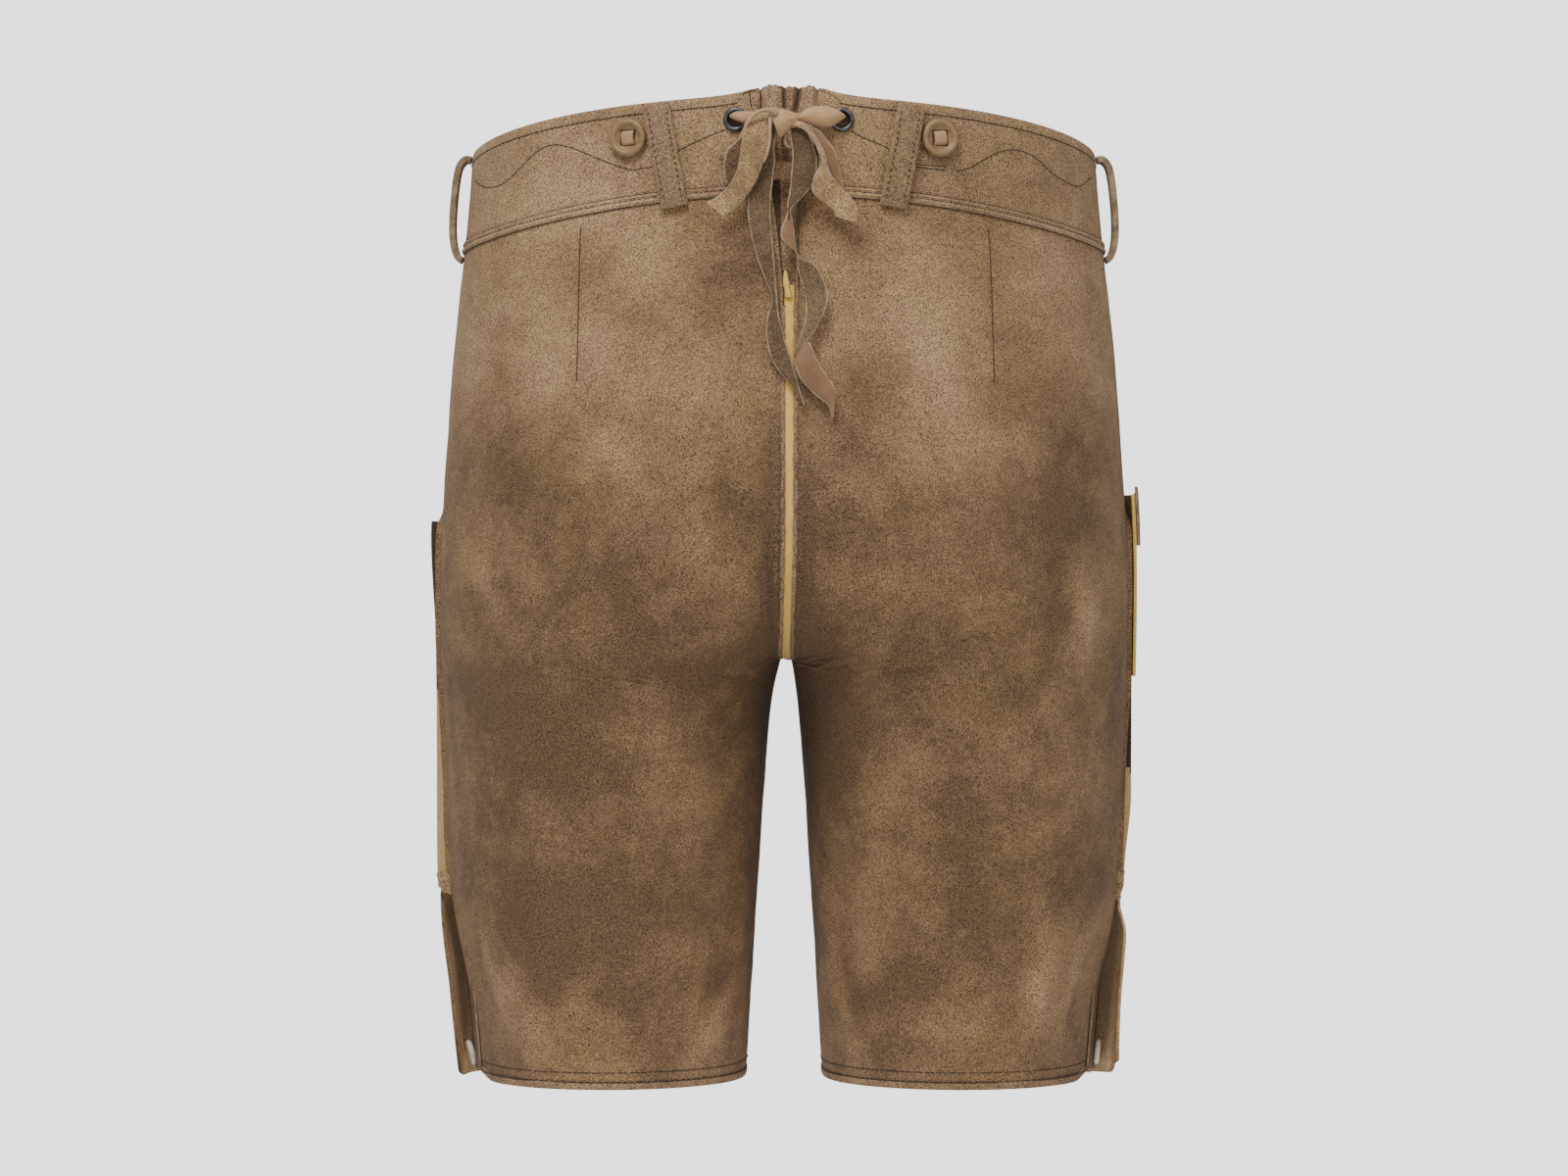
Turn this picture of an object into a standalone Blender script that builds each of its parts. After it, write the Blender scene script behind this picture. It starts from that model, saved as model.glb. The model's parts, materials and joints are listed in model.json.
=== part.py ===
"""Knee-length suede lederhosen, filled out as they are worn, with nobody in them.

Metres, Z up. The wearer faces -Y, and the wearer's left is +X. The origin is the middle of the
waist, where the wearer holds the garment up. Every sewn piece is a wall laid through horizontal
sections of the body and the legs, and what lies on a piece is made from the same sections,
moved out.
"""

import math
from typing import NamedTuple

import bmesh
import bpy
from mathutils import Matrix, Vector

LEFT, RIGHT = 1, -1
SIDES = {"left": LEFT, "right": RIGHT}

# Leather
WALL = 0.0016  # thickness of the suede panels
BAND_WALL = 0.0026  # the waistband is two layers
GAP = 0.0003  # between pieces that are sewn or laid together
TIE = 0.000002  # heights closer than this are the same
RAW_EDGE = 0.0017  # breadth of a raw edge that stands up beside a welt
EDGE_FOOT = 0.0007  # breadth of its foot

# Heights
BAND_TOP_SIDE = 0.0262
BAND_TOP_RISE_BACK = 0.0240
BAND_TOP_FALL_FRONT = 0.0080
BAND_TOP_POWER = 1.3
WAIST_SEAM_SIDE = -0.0283
WAIST_SEAM_RISE_BACK = 0.0248
WAIST_SEAM_FALL_FRONT = 0.0080
WAIST_FADE_END = -0.1250  # the rows of a panel are level from here down
SLIT_END = -0.0550  # bottom of the laced opening at the centre back
FLAP_END = -0.1650  # bottom of the drop front
FRONT_WELT_END = -0.1670  # front end of the seat welt
WELT_TOP = -0.1880  # top of the outseam welts
KNEE_SLIT_TOP = -0.4060
CROTCH = -0.2695
HEM_SEAM = -0.5115
HEM = -0.5155

# The fork, where the trunk turns into two legs
FORK_TOP = -0.0900
FORK_POWER = 3.5
LOBE_END = -0.3300  # each leg's section is deepest at its own middle from here down
ARCH_RADIUS = 0.0050
FORK_EASE = 0.0200  # rounds the fork away from the inseam
BROAD_POWER = 10  # keeps the fork's turn near the inseam
NARROW_POWER = 24  # keeps the arch nearer still
HALVINGS = 36  # steps of a search between two values
INNER_FLARE = 0.0533
INNER_FLARE_POWER = 0.8

# Seat seam
SEAM_SHIFT = -0.0030  # the seat seam lies a little to the wearer's right
SEAM_SHIFT_CROTCH = -0.0012
SEAM_SHIFT_FADE = -0.2000
SEAT_WELT_HALF = 0.0028
SEAT_RIDGE = 0.0012  # how far the raw edges stand beside the seat welt
SLIT_HALF_LEFT = 0.0075  # edges of the laced opening at the waist seam
SLIT_HALF_RIGHT = 0.0086
BAND_END_LEFT = 0.0136  # where the back waistband ends beside the gusset
BAND_END_RIGHT = 0.0192

OUTSEAM_WELT = 0.0024  # thickness of the outseam welt
FRONT_SLIT_EDGE = -10.0  # degrees: front edge of the knee slit
FRONT_SLIT_SLOPE = 0.030  # height over which that edge is cut slanting from the outseam


class Section(NamedTuple):
    """A horizontal section of the garment."""

    height: float
    half_width: float
    back_depth: float
    front_depth: float


SECTIONS = (
    Section(0.056, 0.1838, 0.1150, 0.1030),
    Section(0.026, 0.1842, 0.1162, 0.1045),
    Section(0.000, 0.1860, 0.1185, 0.1070),
    Section(-0.028, 0.1887, 0.1222, 0.1098),
    Section(-0.060, 0.1922, 0.1285, 0.1128),
    Section(-0.090, 0.1955, 0.1345, 0.1146),
    Section(-0.125, 0.1980, 0.1405, 0.1156),
    Section(-0.160, 0.2004, 0.1440, 0.1158),
    Section(-0.194, 0.2022, 0.1440, 0.1152),
    Section(-0.229, 0.2026, 0.1395, 0.1138),
    Section(-0.262, 0.2023, 0.1335, 0.1120),
    Section(-0.287, 0.2018, 0.1285, 0.1105),
    Section(-0.345, 0.1998, 0.1185, 0.1065),
    Section(-0.403, 0.1971, 0.1100, 0.1020),
    Section(-0.461, 0.1902, 0.1030, 0.0975),
    Section(-0.516, 0.1852, 0.0985, 0.0940),
)


class Outseam(NamedTuple):
    """The outseam at a height: its turn to the back, and how far its layers stand out."""

    height: float
    turn: float
    raw_edge: float
    welt: float


OUTSEAM = (
    Outseam(0.056, 0.0, 0.0, 0.0),
    Outseam(-0.188, 0.0, 0.0033, 0.0028),
    Outseam(-0.287, 3.0, 0.0029, 0.0034),
    Outseam(-0.345, 6.0, 0.0014, 0.0052),
    Outseam(-0.406, 10.0, 0.0030, 0.0078),
    Outseam(-0.461, 13.0, 0.0, 0.0),
    Outseam(-0.516, 15.0, 0.0, 0.0),
)


class Fold(NamedTuple):
    """A soft ridge, or a trough where its depth is negative, between two places on a half."""

    side: int
    angle_from: float
    height_from: float
    angle_to: float
    height_to: float
    breadth: float
    depth: float


FOLDS = (
    Fold(LEFT, 12, -0.195, 20, -0.285, 0.018, 0.0022),
    Fold(LEFT, 30, -0.400, 44, -0.505, 0.016, -0.0024),
    Fold(LEFT, 48, -0.425, 62, -0.505, 0.015, 0.0018),
    Fold(LEFT, 152, -0.395, 140, -0.505, 0.014, 0.0016),
    Fold(LEFT, 100, -0.225, 72, -0.262, 0.022, -0.0022),
    Fold(LEFT, -40, -0.270, -120, -0.300, 0.020, -0.0022),
    Fold(LEFT, -35, -0.420, -60, -0.500, 0.016, -0.0020),
    Fold(RIGHT, 14, -0.215, 24, -0.290, 0.018, 0.0022),
    Fold(RIGHT, 32, -0.395, 46, -0.500, 0.016, -0.0022),
    Fold(RIGHT, 50, -0.430, 66, -0.505, 0.015, 0.0016),
    Fold(RIGHT, 150, -0.400, 138, -0.505, 0.014, 0.0018),
    Fold(RIGHT, 98, -0.230, 70, -0.265, 0.022, -0.0020),
    Fold(RIGHT, -42, -0.275, -118, -0.305, 0.020, -0.0024),
    Fold(RIGHT, -30, -0.425, -58, -0.505, 0.016, -0.0018),
)
FOLD_RADIUS = 0.105  # turns a fold's angles into a length round the leg

# Rows of the panels, as heights at the side
TRUNK_ROWS_BACK = (-0.050, -0.075, -0.100, -0.125, -0.150, -0.172, -0.186)
TRUNK_ROWS_FRONT = (-0.060, -0.095, -0.130, -0.1655, -0.1672, -0.178, -0.186)
FORK_ROWS = (-0.1895, -0.202, -0.219, -0.234, -0.247, -0.257, -0.2635)
ARCH_SHARES = (0.50, 0.22, 0.07, 0.0)  # the rows that end in the arch under the crotch
ARCH_ROWS = (-0.2685, -0.2735, -0.2785, -0.2835)  # the same rows at the side
ARCH_FAN = 55.0  # degrees from the seat seam over which they part
SEAM_STRIP = 1.5  # degrees beside the seat seam where they don't
LEG_ROWS = (
    -0.294, -0.310, -0.338, -0.366, -0.390, -0.4045, -0.4075, -0.421, -0.445, -0.468, -0.490,
)
BACK_COLUMNS = 12
FRONT_COLUMNS = 9
BAND_ROWS = (0.0, 0.35, 0.7, 1.0)
BAND_TALL = 0.05  # about its height, to place its end columns


# Gusset behind the laced opening
GUSSET_ROWS = (1.0, 0.86, 0.68, 0.5, 0.3, 0.0)
GUSSET_TOP = 0.0540
GUSSET_FOOT = -0.0600
GUSSET_TUCK = 0.0050  # how far each side runs in behind the leather
GUSSET_WALL = 0.0012
GUSSET_COLUMNS = 17
GUSSET_PLEATS = (0, 0, 0, 0.9, 1.15, 1.1, 0.95, 0.2, 0.55, 0.6, 0.1, 0.1, 0.9, 1.1, 0, 0, 0)
PLEAT_DEPTH = 0.0030
PLEAT_START = 0.0100  # height above the waist seam over which the pleats open
GUSSET_BOW = 0.0012  # the gathered top edge rises in each pleat

SEAT_WELT_ROWS = (-0.058, -0.080, -0.105, -0.135, -0.165, -0.190, -0.210, -0.230, -0.245, -0.256)
SEAT_WELT_OUT = (0.0002, 0.0012, 0.0002)  # across the welt
SEAT_WELT_IN = 0.0014

HEM_COLUMNS = 30
HEM_OUT = 0.0003
HEM_SWELL = 0.0006
HEM_IN = -0.0021


class Station(NamedTuple):
    """A point on the middle line of a strap that lies or hangs on the back of the garment."""

    x: float
    height: float
    out: float
    width: float
    roll: float = 0.0


LACE_WALL = 0.0013
EYELET_HEIGHT = 0.0365
EYELETS = {"left": 0.0274, "right": -0.0326}
EYELET_HOLE = 0.0046
KNOT_CENTRE = (0.0003, 0.0337, 0.0088)  # x, height, out
KNOT_RADII = (0.0086, 0.0078, 0.0056)  # along x, height and out
KNOT_GAP = 0.0004  # between the knot and the ends that leave it
KNOT_FREE = ("lace_end_b", "lace_end_f")  # these slip in behind the others instead

LACE = {
    "lace_stretch_left": (
        Station(0.0274, 0.0365, -0.0022, 0.0042),
        Station(0.0268, 0.0366, 0.0012, 0.0042),
        Station(0.0244, 0.0368, 0.0038, 0.0050),
        Station(0.0190, 0.0367, 0.0056, 0.0068),
        Station(0.0100, 0.0362, 0.0068, 0.0085),
    ),
    "lace_stretch_right": (
        Station(-0.0326, 0.0365, -0.0022, 0.0042),
        Station(-0.0320, 0.0366, 0.0012, 0.0042),
        Station(-0.0296, 0.0367, 0.0040, 0.0056),
        Station(-0.0262, 0.0369, 0.0060, 0.0104),
        Station(-0.0215, 0.0370, 0.0068, 0.0118),
        Station(-0.0150, 0.0367, 0.0072, 0.0105),
        Station(-0.0094, 0.0362, 0.0072, 0.0080),
    ),
    "lace_end_a": (
        Station(0.0098, 0.0395, 0.0118, 0.0070, 0),
        Station(0.0128, 0.0420, 0.0150, 0.0110, 0),
        Station(0.0160, 0.0385, 0.0168, 0.0150, 0),
        Station(0.0172, 0.0300, 0.0165, 0.0165, 0),
        Station(0.0185, 0.0190, 0.0150, 0.0170, 0),
        Station(0.0218, 0.0060, 0.0138, 0.0165, 0),
        Station(0.0282, -0.0060, 0.0130, 0.0160, 8),
        Station(0.0365, -0.0150, 0.0128, 0.0125, 12),
    ),
    "lace_end_b": (
        Station(0.0225, 0.0310, 0.0036, 0.0090, 0),
        Station(0.0270, 0.0240, 0.0050, 0.0135, 10),
        Station(0.0312, 0.0150, 0.0056, 0.0145, 12),
        Station(0.0325, 0.0060, 0.0060, 0.0145, 8),
        Station(0.0300, -0.0015, 0.0062, 0.0120, 0),
    ),
    "lace_end_c": (
        Station(0.0076, 0.0235, 0.0086, 0.0070, 0),
        Station(0.0112, 0.0195, 0.0090, 0.0120, 0),
        Station(0.0122, 0.0120, 0.0082, 0.0132, 0),
        Station(0.0130, 0.0020, 0.0076, 0.0132, 0),
        Station(0.0136, -0.0110, 0.0070, 0.0134, 0),
        Station(0.0122, -0.0260, 0.0064, 0.0134, 14),
        Station(0.0096, -0.0440, 0.0060, 0.0132, 34),
        Station(0.0062, -0.0630, 0.0064, 0.0130, 55),
        Station(0.0046, -0.0800, 0.0060, 0.0128, 35),
        Station(0.0022, -0.0960, 0.0052, 0.0120, 14),
        Station(-0.0040, -0.1120, 0.0046, 0.0080, 4),
        Station(-0.0112, -0.1262, 0.0042, 0.0030, 0),
    ),
    "lace_end_d": (
        Station(-0.0088, 0.0262, 0.0080, 0.0110, 0),
        Station(-0.0108, 0.0205, 0.0086, 0.0150, 0),
        Station(-0.0115, 0.0115, 0.0084, 0.0155, 0),
        Station(-0.0108, 0.0030, 0.0084, 0.0152, -12),
        Station(-0.0075, -0.0060, 0.0092, 0.0150, -52),
        Station(-0.0038, -0.0150, 0.0100, 0.0150, -100),
        Station(-0.0028, -0.0250, 0.0104, 0.0150, -140),
        Station(-0.0056, -0.0350, 0.0104, 0.0150, -120),
        Station(-0.0112, -0.0435, 0.0098, 0.0150, -70),
        Station(-0.0160, -0.0535, 0.0086, 0.0150, -28),
        Station(-0.0172, -0.0655, 0.0076, 0.0150, -10),
        Station(-0.0138, -0.0780, 0.0074, 0.0148, -30),
        Station(-0.0098, -0.0890, 0.0082, 0.0146, -62),
        Station(-0.0092, -0.1000, 0.0086, 0.0142, -74),
        Station(-0.0130, -0.1105, 0.0080, 0.0130, -52),
        Station(-0.0206, -0.1215, 0.0066, 0.0100, -30),
        Station(-0.0272, -0.1310, 0.0056, 0.0040, -20),
    ),
    "lace_end_e": (
        Station(-0.0098, 0.0330, 0.0138, 0.0055, 0),
        Station(-0.0158, 0.0276, 0.0160, 0.0080, 20),
        Station(-0.0214, 0.0190, 0.0162, 0.0110, 50),
        Station(-0.0242, 0.0080, 0.0152, 0.0145, 46),
        Station(-0.0262, -0.0045, 0.0126, 0.0155, 12),
        Station(-0.0318, -0.0140, 0.0118, 0.0155, 0),
        Station(-0.0372, -0.0198, 0.0116, 0.0140, 0),
    ),
    "lace_end_f": (
        Station(-0.0150, 0.0290, 0.0018, 0.0060, 0),
        Station(-0.0214, 0.0258, 0.0030, 0.0100, 0),
        Station(-0.0276, 0.0160, 0.0052, 0.0120, 0),
        Station(-0.0310, 0.0030, 0.0056, 0.0122, 0),
        Station(-0.0318, -0.0060, 0.0058, 0.0100, 0),
    ),
}
LACE_STEPS = 2  # rows of a strap between two stations
LACE_CROWN = 0.0007  # how far a lace's middle bows out between its edges

LOOP_WALL = 0.0030
BACK_LOOP = (
    Station(0.0719, 0.0452, 0.0019, 0.0155),
    Station(0.0712, 0.0410, 0.0030, 0.0155),
    Station(0.0697, 0.0335, 0.0046, 0.0155),
    Station(0.0675, 0.0210, 0.0050, 0.0155),
    Station(0.0650, 0.0080, 0.0050, 0.0155),
    Station(0.0632, -0.0025, 0.0046, 0.0155),
    Station(0.0624, -0.0070, 0.0040, 0.0155),
    Station(0.0619, -0.0100, 0.0030, 0.0155),
    Station(0.0614, -0.0134, 0.0019, 0.0155),
)
SIDE_LOOP_WALL = 0.0040
SIDE_LOOP_WIDTH = 0.0150
SIDE_LOOP_PATH = (  # height, out
    (0.0238, 0.0006),
    (0.0241, 0.0038),
    (0.0202, 0.0072),
    (0.0117, 0.0086),
    (0.0001, 0.0090),
    (-0.0115, 0.0088),
    (-0.0219, 0.0078),
    (-0.0295, 0.0058),
    (-0.0342, 0.0034),
    (-0.0353, 0.0006),
)

WAIST_STRIP = (  # height from the waist seam, out: two thin ridges with a groove between
    (-0.0036, 0.0006),
    (-0.0018, 0.0018),
    (0.0002, 0.0007),
    (0.0016, 0.0015),
    (0.0030, 0.0006),
)

BRACE_BUTTON_PLACE = (0.0880, 0.0270)
BRACE_BUTTON = (  # radius, height of the turned profile, from the middle of the face
    (0.0, 0.0021),
    (0.0058, 0.0021),
    (0.0070, 0.0028),
    (0.0084, 0.0042),
    (0.0100, 0.0041),
    (0.0110, 0.0026),
    (0.0104, 0.0006),
    (0.0086, 0.0),
    (0.0, 0.0),
)
BRACE_WINDOW = (0.0080, 0.0092)
BRACE_TAB_WIDTH = 0.0062
BRACE_TAB_PATH = (  # along the tab, out
    (0.0037, 0.0006),
    (0.0036, 0.0022),
    (0.0024, 0.0034),
    (-0.0024, 0.0034),
    (-0.0036, 0.0022),
    (-0.0037, 0.0006),
)
TAB_WALL = 0.0012
HORN_BUTTON = (
    (0.0, 0.0024),
    (0.0034, 0.0025),
    (0.0048, 0.0034),
    (0.0064, 0.0034),
    (0.0074, 0.0022),
    (0.0070, 0.0006),
    (0.0052, 0.0),
    (0.0, 0.0),
)
EYELET_RING = (  # closed outline of the flange and barrel
    (0.0036, 0.0014),
    (0.0046, 0.0022),
    (0.0058, 0.0021),
    (0.0070, 0.0008),
    (0.0069, 0.0),
    (0.0043, 0.0),
    (0.0043, -0.0034),
    (0.0037, -0.0034),
)
TURNED_STEPS = 20
EYELET_STEPS = 18

KNEE_BUTTON_ANGLE = 5.0
KNEE_BUTTON_HEIGHT = -0.5025
PLACKET_WALL = 0.0018
PLACKET_LIFT = 0.0012  # clears the swell of the hem binding
PLACKET_ROOT = -16.0
PLACKET_FREE = 11.0
PLACKET_TOP = -0.4085
PLACKET_BOTTOM = -0.5135
PLACKET_CORNER = 0.0090
PLACKET_ROUNDING = 0.9  # share of the corner that the free edge follows
PLACKET_CURL = 1.6  # how late across its width it leaves the leg
PLACKET_ROWS = (0.0, 0.06, 0.16, 0.32, 0.50, 0.68, 0.84, 0.92, 0.97, 1.0)
PLACKET_COLUMNS = (0.0, 0.25, 0.5, 0.75, 1.0)
PLACKET_STAND = {"left": (0.0050, 0.0098, 0.0082), "right": (0.0040, 0.0098, 0.0128)}
UNDERLAP_WALL = 0.0013
UNDERLAP_SINK = 0.0018  # keeps the underlap inside the panels' flat facets
UNDERLAP_BACK = 19.0
UNDERLAP_FRONT = -14.0
UNDERLAP_COLUMNS = 6
UNDERLAP_ROWS = 7
UNDERLAP_DROP = 0.003  # its top end below the slit's

POCKET_TOP = -0.1740
POCKET_BOTTOM = -0.2810
POCKET_BACK = 1.5
POCKET_FRONT = -21.0
POCKET_STAND = 0.0049
POCKET_CLEAR = 0.0036  # clears the raw edges of the outseam
POCKET_ROWS = (0.0, 0.12, 0.3, 0.5, 0.7, 0.88, 1.0)
POCKET_COLUMNS = (0.0, 0.18, 0.5, 0.82, 1.0)
POCKET_NARROWING = 6.0  # degrees that its front edge steps back by at the foot
POCKET_BELLY_REACH = 1.15
POCKET_BELLY_POWER = 0.6
POCKET_FLATTENING = 0.35  # share of the belly lost at the foot
POCKET_FLAP_ROWS = (-0.045, 0.04, 0.16, 0.24, 0.28)  # shares of the pocket's height, down
POCKET_FLAP_STEP = 0.4  # degrees between its back edge and the pocket's
POCKET_FLAP_CLEAR = 0.0032
POCKET_WELT = 0.0011
POCKET_WELT_OUT = 0.0004

FRONT_FLAP_HALF_TOP = 0.0780
FRONT_FLAP_HALF_FOOT = 0.0700
FRONT_FLAP_TOP = 0.0060
FLAP_COLUMNS = 12
FLAP_ROWS = (0.0, 0.12, 0.2, 0.27, 0.45, 0.65, 0.85, 1.0)
FLAP_BUTTON = (0.0660, -0.0050)
PIPING_OUT = 0.0019  # how far the flap's top end stands off, over the piping
PIPING_BELOW = 0.012  # how far below the waist seam that goes on



class Finish(NamedTuple):
    """A material's colour, roughness and share of metal."""

    colour: tuple
    roughness: float
    metallic: float = 0.0


SUEDE = Finish((0.205, 0.128, 0.072, 1.0), 0.95)
SUEDE_LIGHT = Finish((0.300, 0.205, 0.130, 1.0), 0.90)
SUEDE_DARK = Finish((0.130, 0.082, 0.048, 1.0), 0.95)
TAN = Finish((0.520, 0.375, 0.240, 1.0), 0.80)
YELLOW = Finish((0.560, 0.370, 0.150, 1.0), 0.85)
OLIVE_HORN = Finish((0.270, 0.190, 0.100, 1.0), 0.35)
IVORY_HORN = Finish((0.640, 0.560, 0.440, 1.0), 0.40)
GUNMETAL = Finish((0.090, 0.095, 0.105, 1.0), 0.35, 1.0)


# Sections ------------------------------------------------------------------------------------


def read(rows, column, height):
    """A column of a table at a height, on a smooth curve through its rows, top row first."""
    if height >= rows[0].height:
        return getattr(rows[0], column)
    if height <= rows[-1].height:
        return getattr(rows[-1], column)
    upper = max(i for i, row in enumerate(rows) if row.height >= height and row is not rows[-1])

    def slope(i):
        above, below = rows[max(i - 1, 0)], rows[min(i + 1, len(rows) - 1)]
        rise = getattr(above, column) - getattr(below, column)
        return rise / (above.height - below.height)

    a, b = rows[upper], rows[upper + 1]
    span = b.height - a.height
    t = (height - a.height) / span
    start, end = getattr(a, column), getattr(b, column)
    ease = t * t * (3 - 2 * t)
    bend_a = slope(upper) * span * t * (1 - t) ** 2
    bend_b = slope(upper + 1) * span * t * t * (1 - t)
    return start + (end - start) * ease + bend_a - bend_b


def read_straight(rows, column, height):
    """A column of a table at a height, straight between its rows."""
    for a, b in zip(rows, rows[1:]):
        if height >= b.height:
            t = min(1.0, max(0.0, (a.height - height) / (a.height - b.height)))
            return getattr(a, column) + t * (getattr(b, column) - getattr(a, column))
    return getattr(rows[-1], column)


def fork_edge(height, half_width):
    """X of a half's inner side on the trunk, from the far side of the body to the middle."""
    share = max(0.0, (FORK_TOP - height) / (FORK_TOP - CROTCH)) ** FORK_POWER
    return -half_width * (1 - share) / (1 + share)


def flare_edge(height):
    """X of a leg's inner side, from the middle at the crotch outward down the leg."""
    return INNER_FLARE * max(0.0, CROTCH - height) ** INNER_FLARE_POWER


def inner_edge(height, half_width):
    """X of a half's inner side: past the middle on the trunk, and the gap's half below it."""
    return min(fork_edge(height, half_width), flare_edge(height))


def soft_edge(height, half_width):
    """The inner side with its turn at the crotch eased, for the leather away from the inseam."""
    fork, flare = fork_edge(height, half_width), flare_edge(height)
    return (fork + flare - math.hypot(fork - flare, FORK_EASE)) / 2


def arch(height):
    """Half the breadth of the small round arch between the legs at a height."""
    drop = max(0.0, CROTCH - height)
    return math.sqrt(ARCH_RADIUS**2 - max(0.0, ARCH_RADIUS - drop) ** 2)


class Ring(NamedTuple):
    """Half a section: X of its deepest place, its reaches from there, and its depths.

    The two pulls move its innermost leather out, in a broad reach and in a narrow one.
    """

    middle: float
    reach_out: float
    reach_in: float
    back_depth: float
    front_depth: float
    broad_pull: float
    narrow_pull: float


def ring(height):
    """The ring of the left half at a height."""
    half_width = read(SECTIONS, "half_width", height)
    soft = soft_edge(height, half_width)
    share = min(1.0, max(0.0, (FORK_TOP - height) / (FORK_TOP - LOBE_END)))
    middle = share * share * (3 - 2 * share) * (half_width + flare_edge(height)) / 2
    return Ring(
        middle,
        half_width - middle,
        middle - soft,
        read(SECTIONS, "back_depth", height),
        read(SECTIONS, "front_depth", height),
        inner_edge(height, half_width) - soft,
        arch(height),
    )


def ellipse(angle, height):
    """The ring at a height, its reach and depth on the side of an angle, and the angle's turn."""
    found = ring(height)
    reach = found.reach_out if abs(angle) <= 90 else found.reach_in
    depth = found.back_depth if angle >= 0 else found.front_depth
    return found, reach, depth, math.radians(angle)


def fold_shift(side, angle, height):
    """How far the folds move the leather out at a place."""
    place = Vector((math.radians(angle) * FOLD_RADIUS, height))
    shift = 0.0
    for fold in FOLDS:
        if fold.side != side:
            continue
        start = Vector((math.radians(fold.angle_from) * FOLD_RADIUS, fold.height_from))
        end = Vector((math.radians(fold.angle_to) * FOLD_RADIUS, fold.height_to))
        along = end - start
        t = min(1.0, max(0.0, (place - start).dot(along) / along.length_squared))
        away = (place - start - along * t).length / fold.breadth
        shift += fold.depth * math.sin(math.pi * (0.15 + 0.7 * t)) * math.exp(-away * away)
    return shift


def skin(angle, height):
    """A point of the left half. The angle is in degrees from the side, and grows to the back."""
    found, reach, depth, turn = ellipse(angle, height)
    inward = (1 - math.cos(turn)) / 2
    pull = found.broad_pull * inward**BROAD_POWER + found.narrow_pull * inward**NARROW_POWER
    x = found.middle + reach * math.cos(turn) + pull
    return Vector((x, depth * math.sin(turn), height))


def skin_normal(angle, height):
    """The outward direction of the left half at a place."""
    found, reach, depth, turn = ellipse(angle, height)
    inward = (1 - math.cos(turn)) / 2
    flat = found.broad_pull * inward ** (BROAD_POWER - 1) * BROAD_POWER / 2
    flat += found.narrow_pull * inward ** (NARROW_POWER - 1) * NARROW_POWER / 2
    step = 0.00002
    round_it = Vector(((flat - reach) * math.sin(turn), depth * math.cos(turn), 0))
    up = skin(angle, height + step) - skin(angle, height - step)
    return round_it.cross(up).normalized()


def body(side, angle, height, out=0.0):
    """A point on a half of the garment, moved out from the leather's outer face."""
    point = skin(angle, height) + skin_normal(angle, height) * (
        out + fold_shift(side, angle, height)
    )
    point.x *= side
    return point


def stand(side, angle, height, lift):
    """A point beside the seat seam, moved out along the seam's own plane."""
    point = body(side, angle, height)
    way = body(side, angle, height, 0.001) - point
    way.x = 0.0
    return point + way.normalized() * lift


def angle_at(side, x, height):
    """The back angle at which a half crosses a plane of constant X."""
    near, far = 0.0, 180.0
    for _ in range(HALVINGS):
        middle = (near + far) / 2
        if skin(middle, height).x > x * side:
            near = middle
        else:
            far = middle
    return near


def back(x, height, out=0.0):
    """A point on the garment's back at an X, moved out."""
    side = LEFT if x >= 0 else RIGHT
    return body(side, angle_at(side, x, height), height, out)


def front(x, height, out=0.0):
    """A point on the garment's front at an X, moved out."""
    side = LEFT if x >= 0 else RIGHT
    return body(side, -angle_at(side, x, height), height, out)


def speed(angle, height):
    """Metres round the section for each degree."""
    return (skin(angle + 0.5, height) - skin(angle - 0.5, height)).length


def waist_seam(angle):
    """Height of the waist seam."""
    lift = WAIST_SEAM_RISE_BACK if angle >= 0 else -WAIST_SEAM_FALL_FRONT
    return WAIST_SEAM_SIDE + lift * math.sin(math.radians(angle)) ** 2


def band_top(angle):
    """Height of the waistband's top edge."""
    lift = BAND_TOP_RISE_BACK if angle >= 0 else -BAND_TOP_FALL_FRONT
    return BAND_TOP_SIDE + lift * abs(math.sin(math.radians(angle))) ** BAND_TOP_POWER


def row_height(level, angle):
    """Height of a panel's row, which follows the waist seam at the top and is level lower down."""
    fade = max(0.0, (level - WAIST_FADE_END) / (WAIST_SEAM_SIDE - WAIST_FADE_END))
    return level + (waist_seam(angle) - WAIST_SEAM_SIDE) * fade


def outseam(height, column):
    """A column of OUTSEAM at a height."""
    return read_straight(OUTSEAM, column, height)


def seam_middle(height):
    """X of the middle of the seat seam."""
    fade = min(1.0, max(0.0, (SEAM_SHIFT_FADE - height) / (SEAM_SHIFT_FADE - CROTCH)))
    return SEAM_SHIFT + (SEAM_SHIFT_CROTCH - SEAM_SHIFT) * fade


def seat_edge(side, height):
    """X of a back panel's edge at the seat seam, and up the laced opening above it."""
    sewn = seam_middle(height) + side * (SEAT_WELT_HALF + GAP)
    share = min(1.0, max(0.0, (height - SLIT_END) / -SLIT_END))
    laced = SLIT_HALF_LEFT if side == LEFT else -SLIT_HALF_RIGHT
    return sewn + (laced - sewn) * share


def front_edge(side, height):
    """X of a front panel's edge at the middle."""
    if height > FRONT_WELT_END:
        return side * GAP / 2
    return seam_middle(height) + side * (SEAT_WELT_HALF + GAP)


def closing_height(side, x):
    """The height at which a half's ring closes at a plane of constant X under the crotch."""
    high, low = CROTCH, CROTCH - 2 * ARCH_RADIUS
    for _ in range(HALVINGS):
        middle = (high + low) / 2
        if inner_edge(middle, 0.0) + arch(middle) < x * side:
            high = middle
        else:
            low = middle
    return low


# Making solids -------------------------------------------------------------------------------


def clear_scene():
    """Remove whatever the scene holds."""
    for old in list(bpy.data.objects):
        bpy.data.objects.remove(old)


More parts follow.
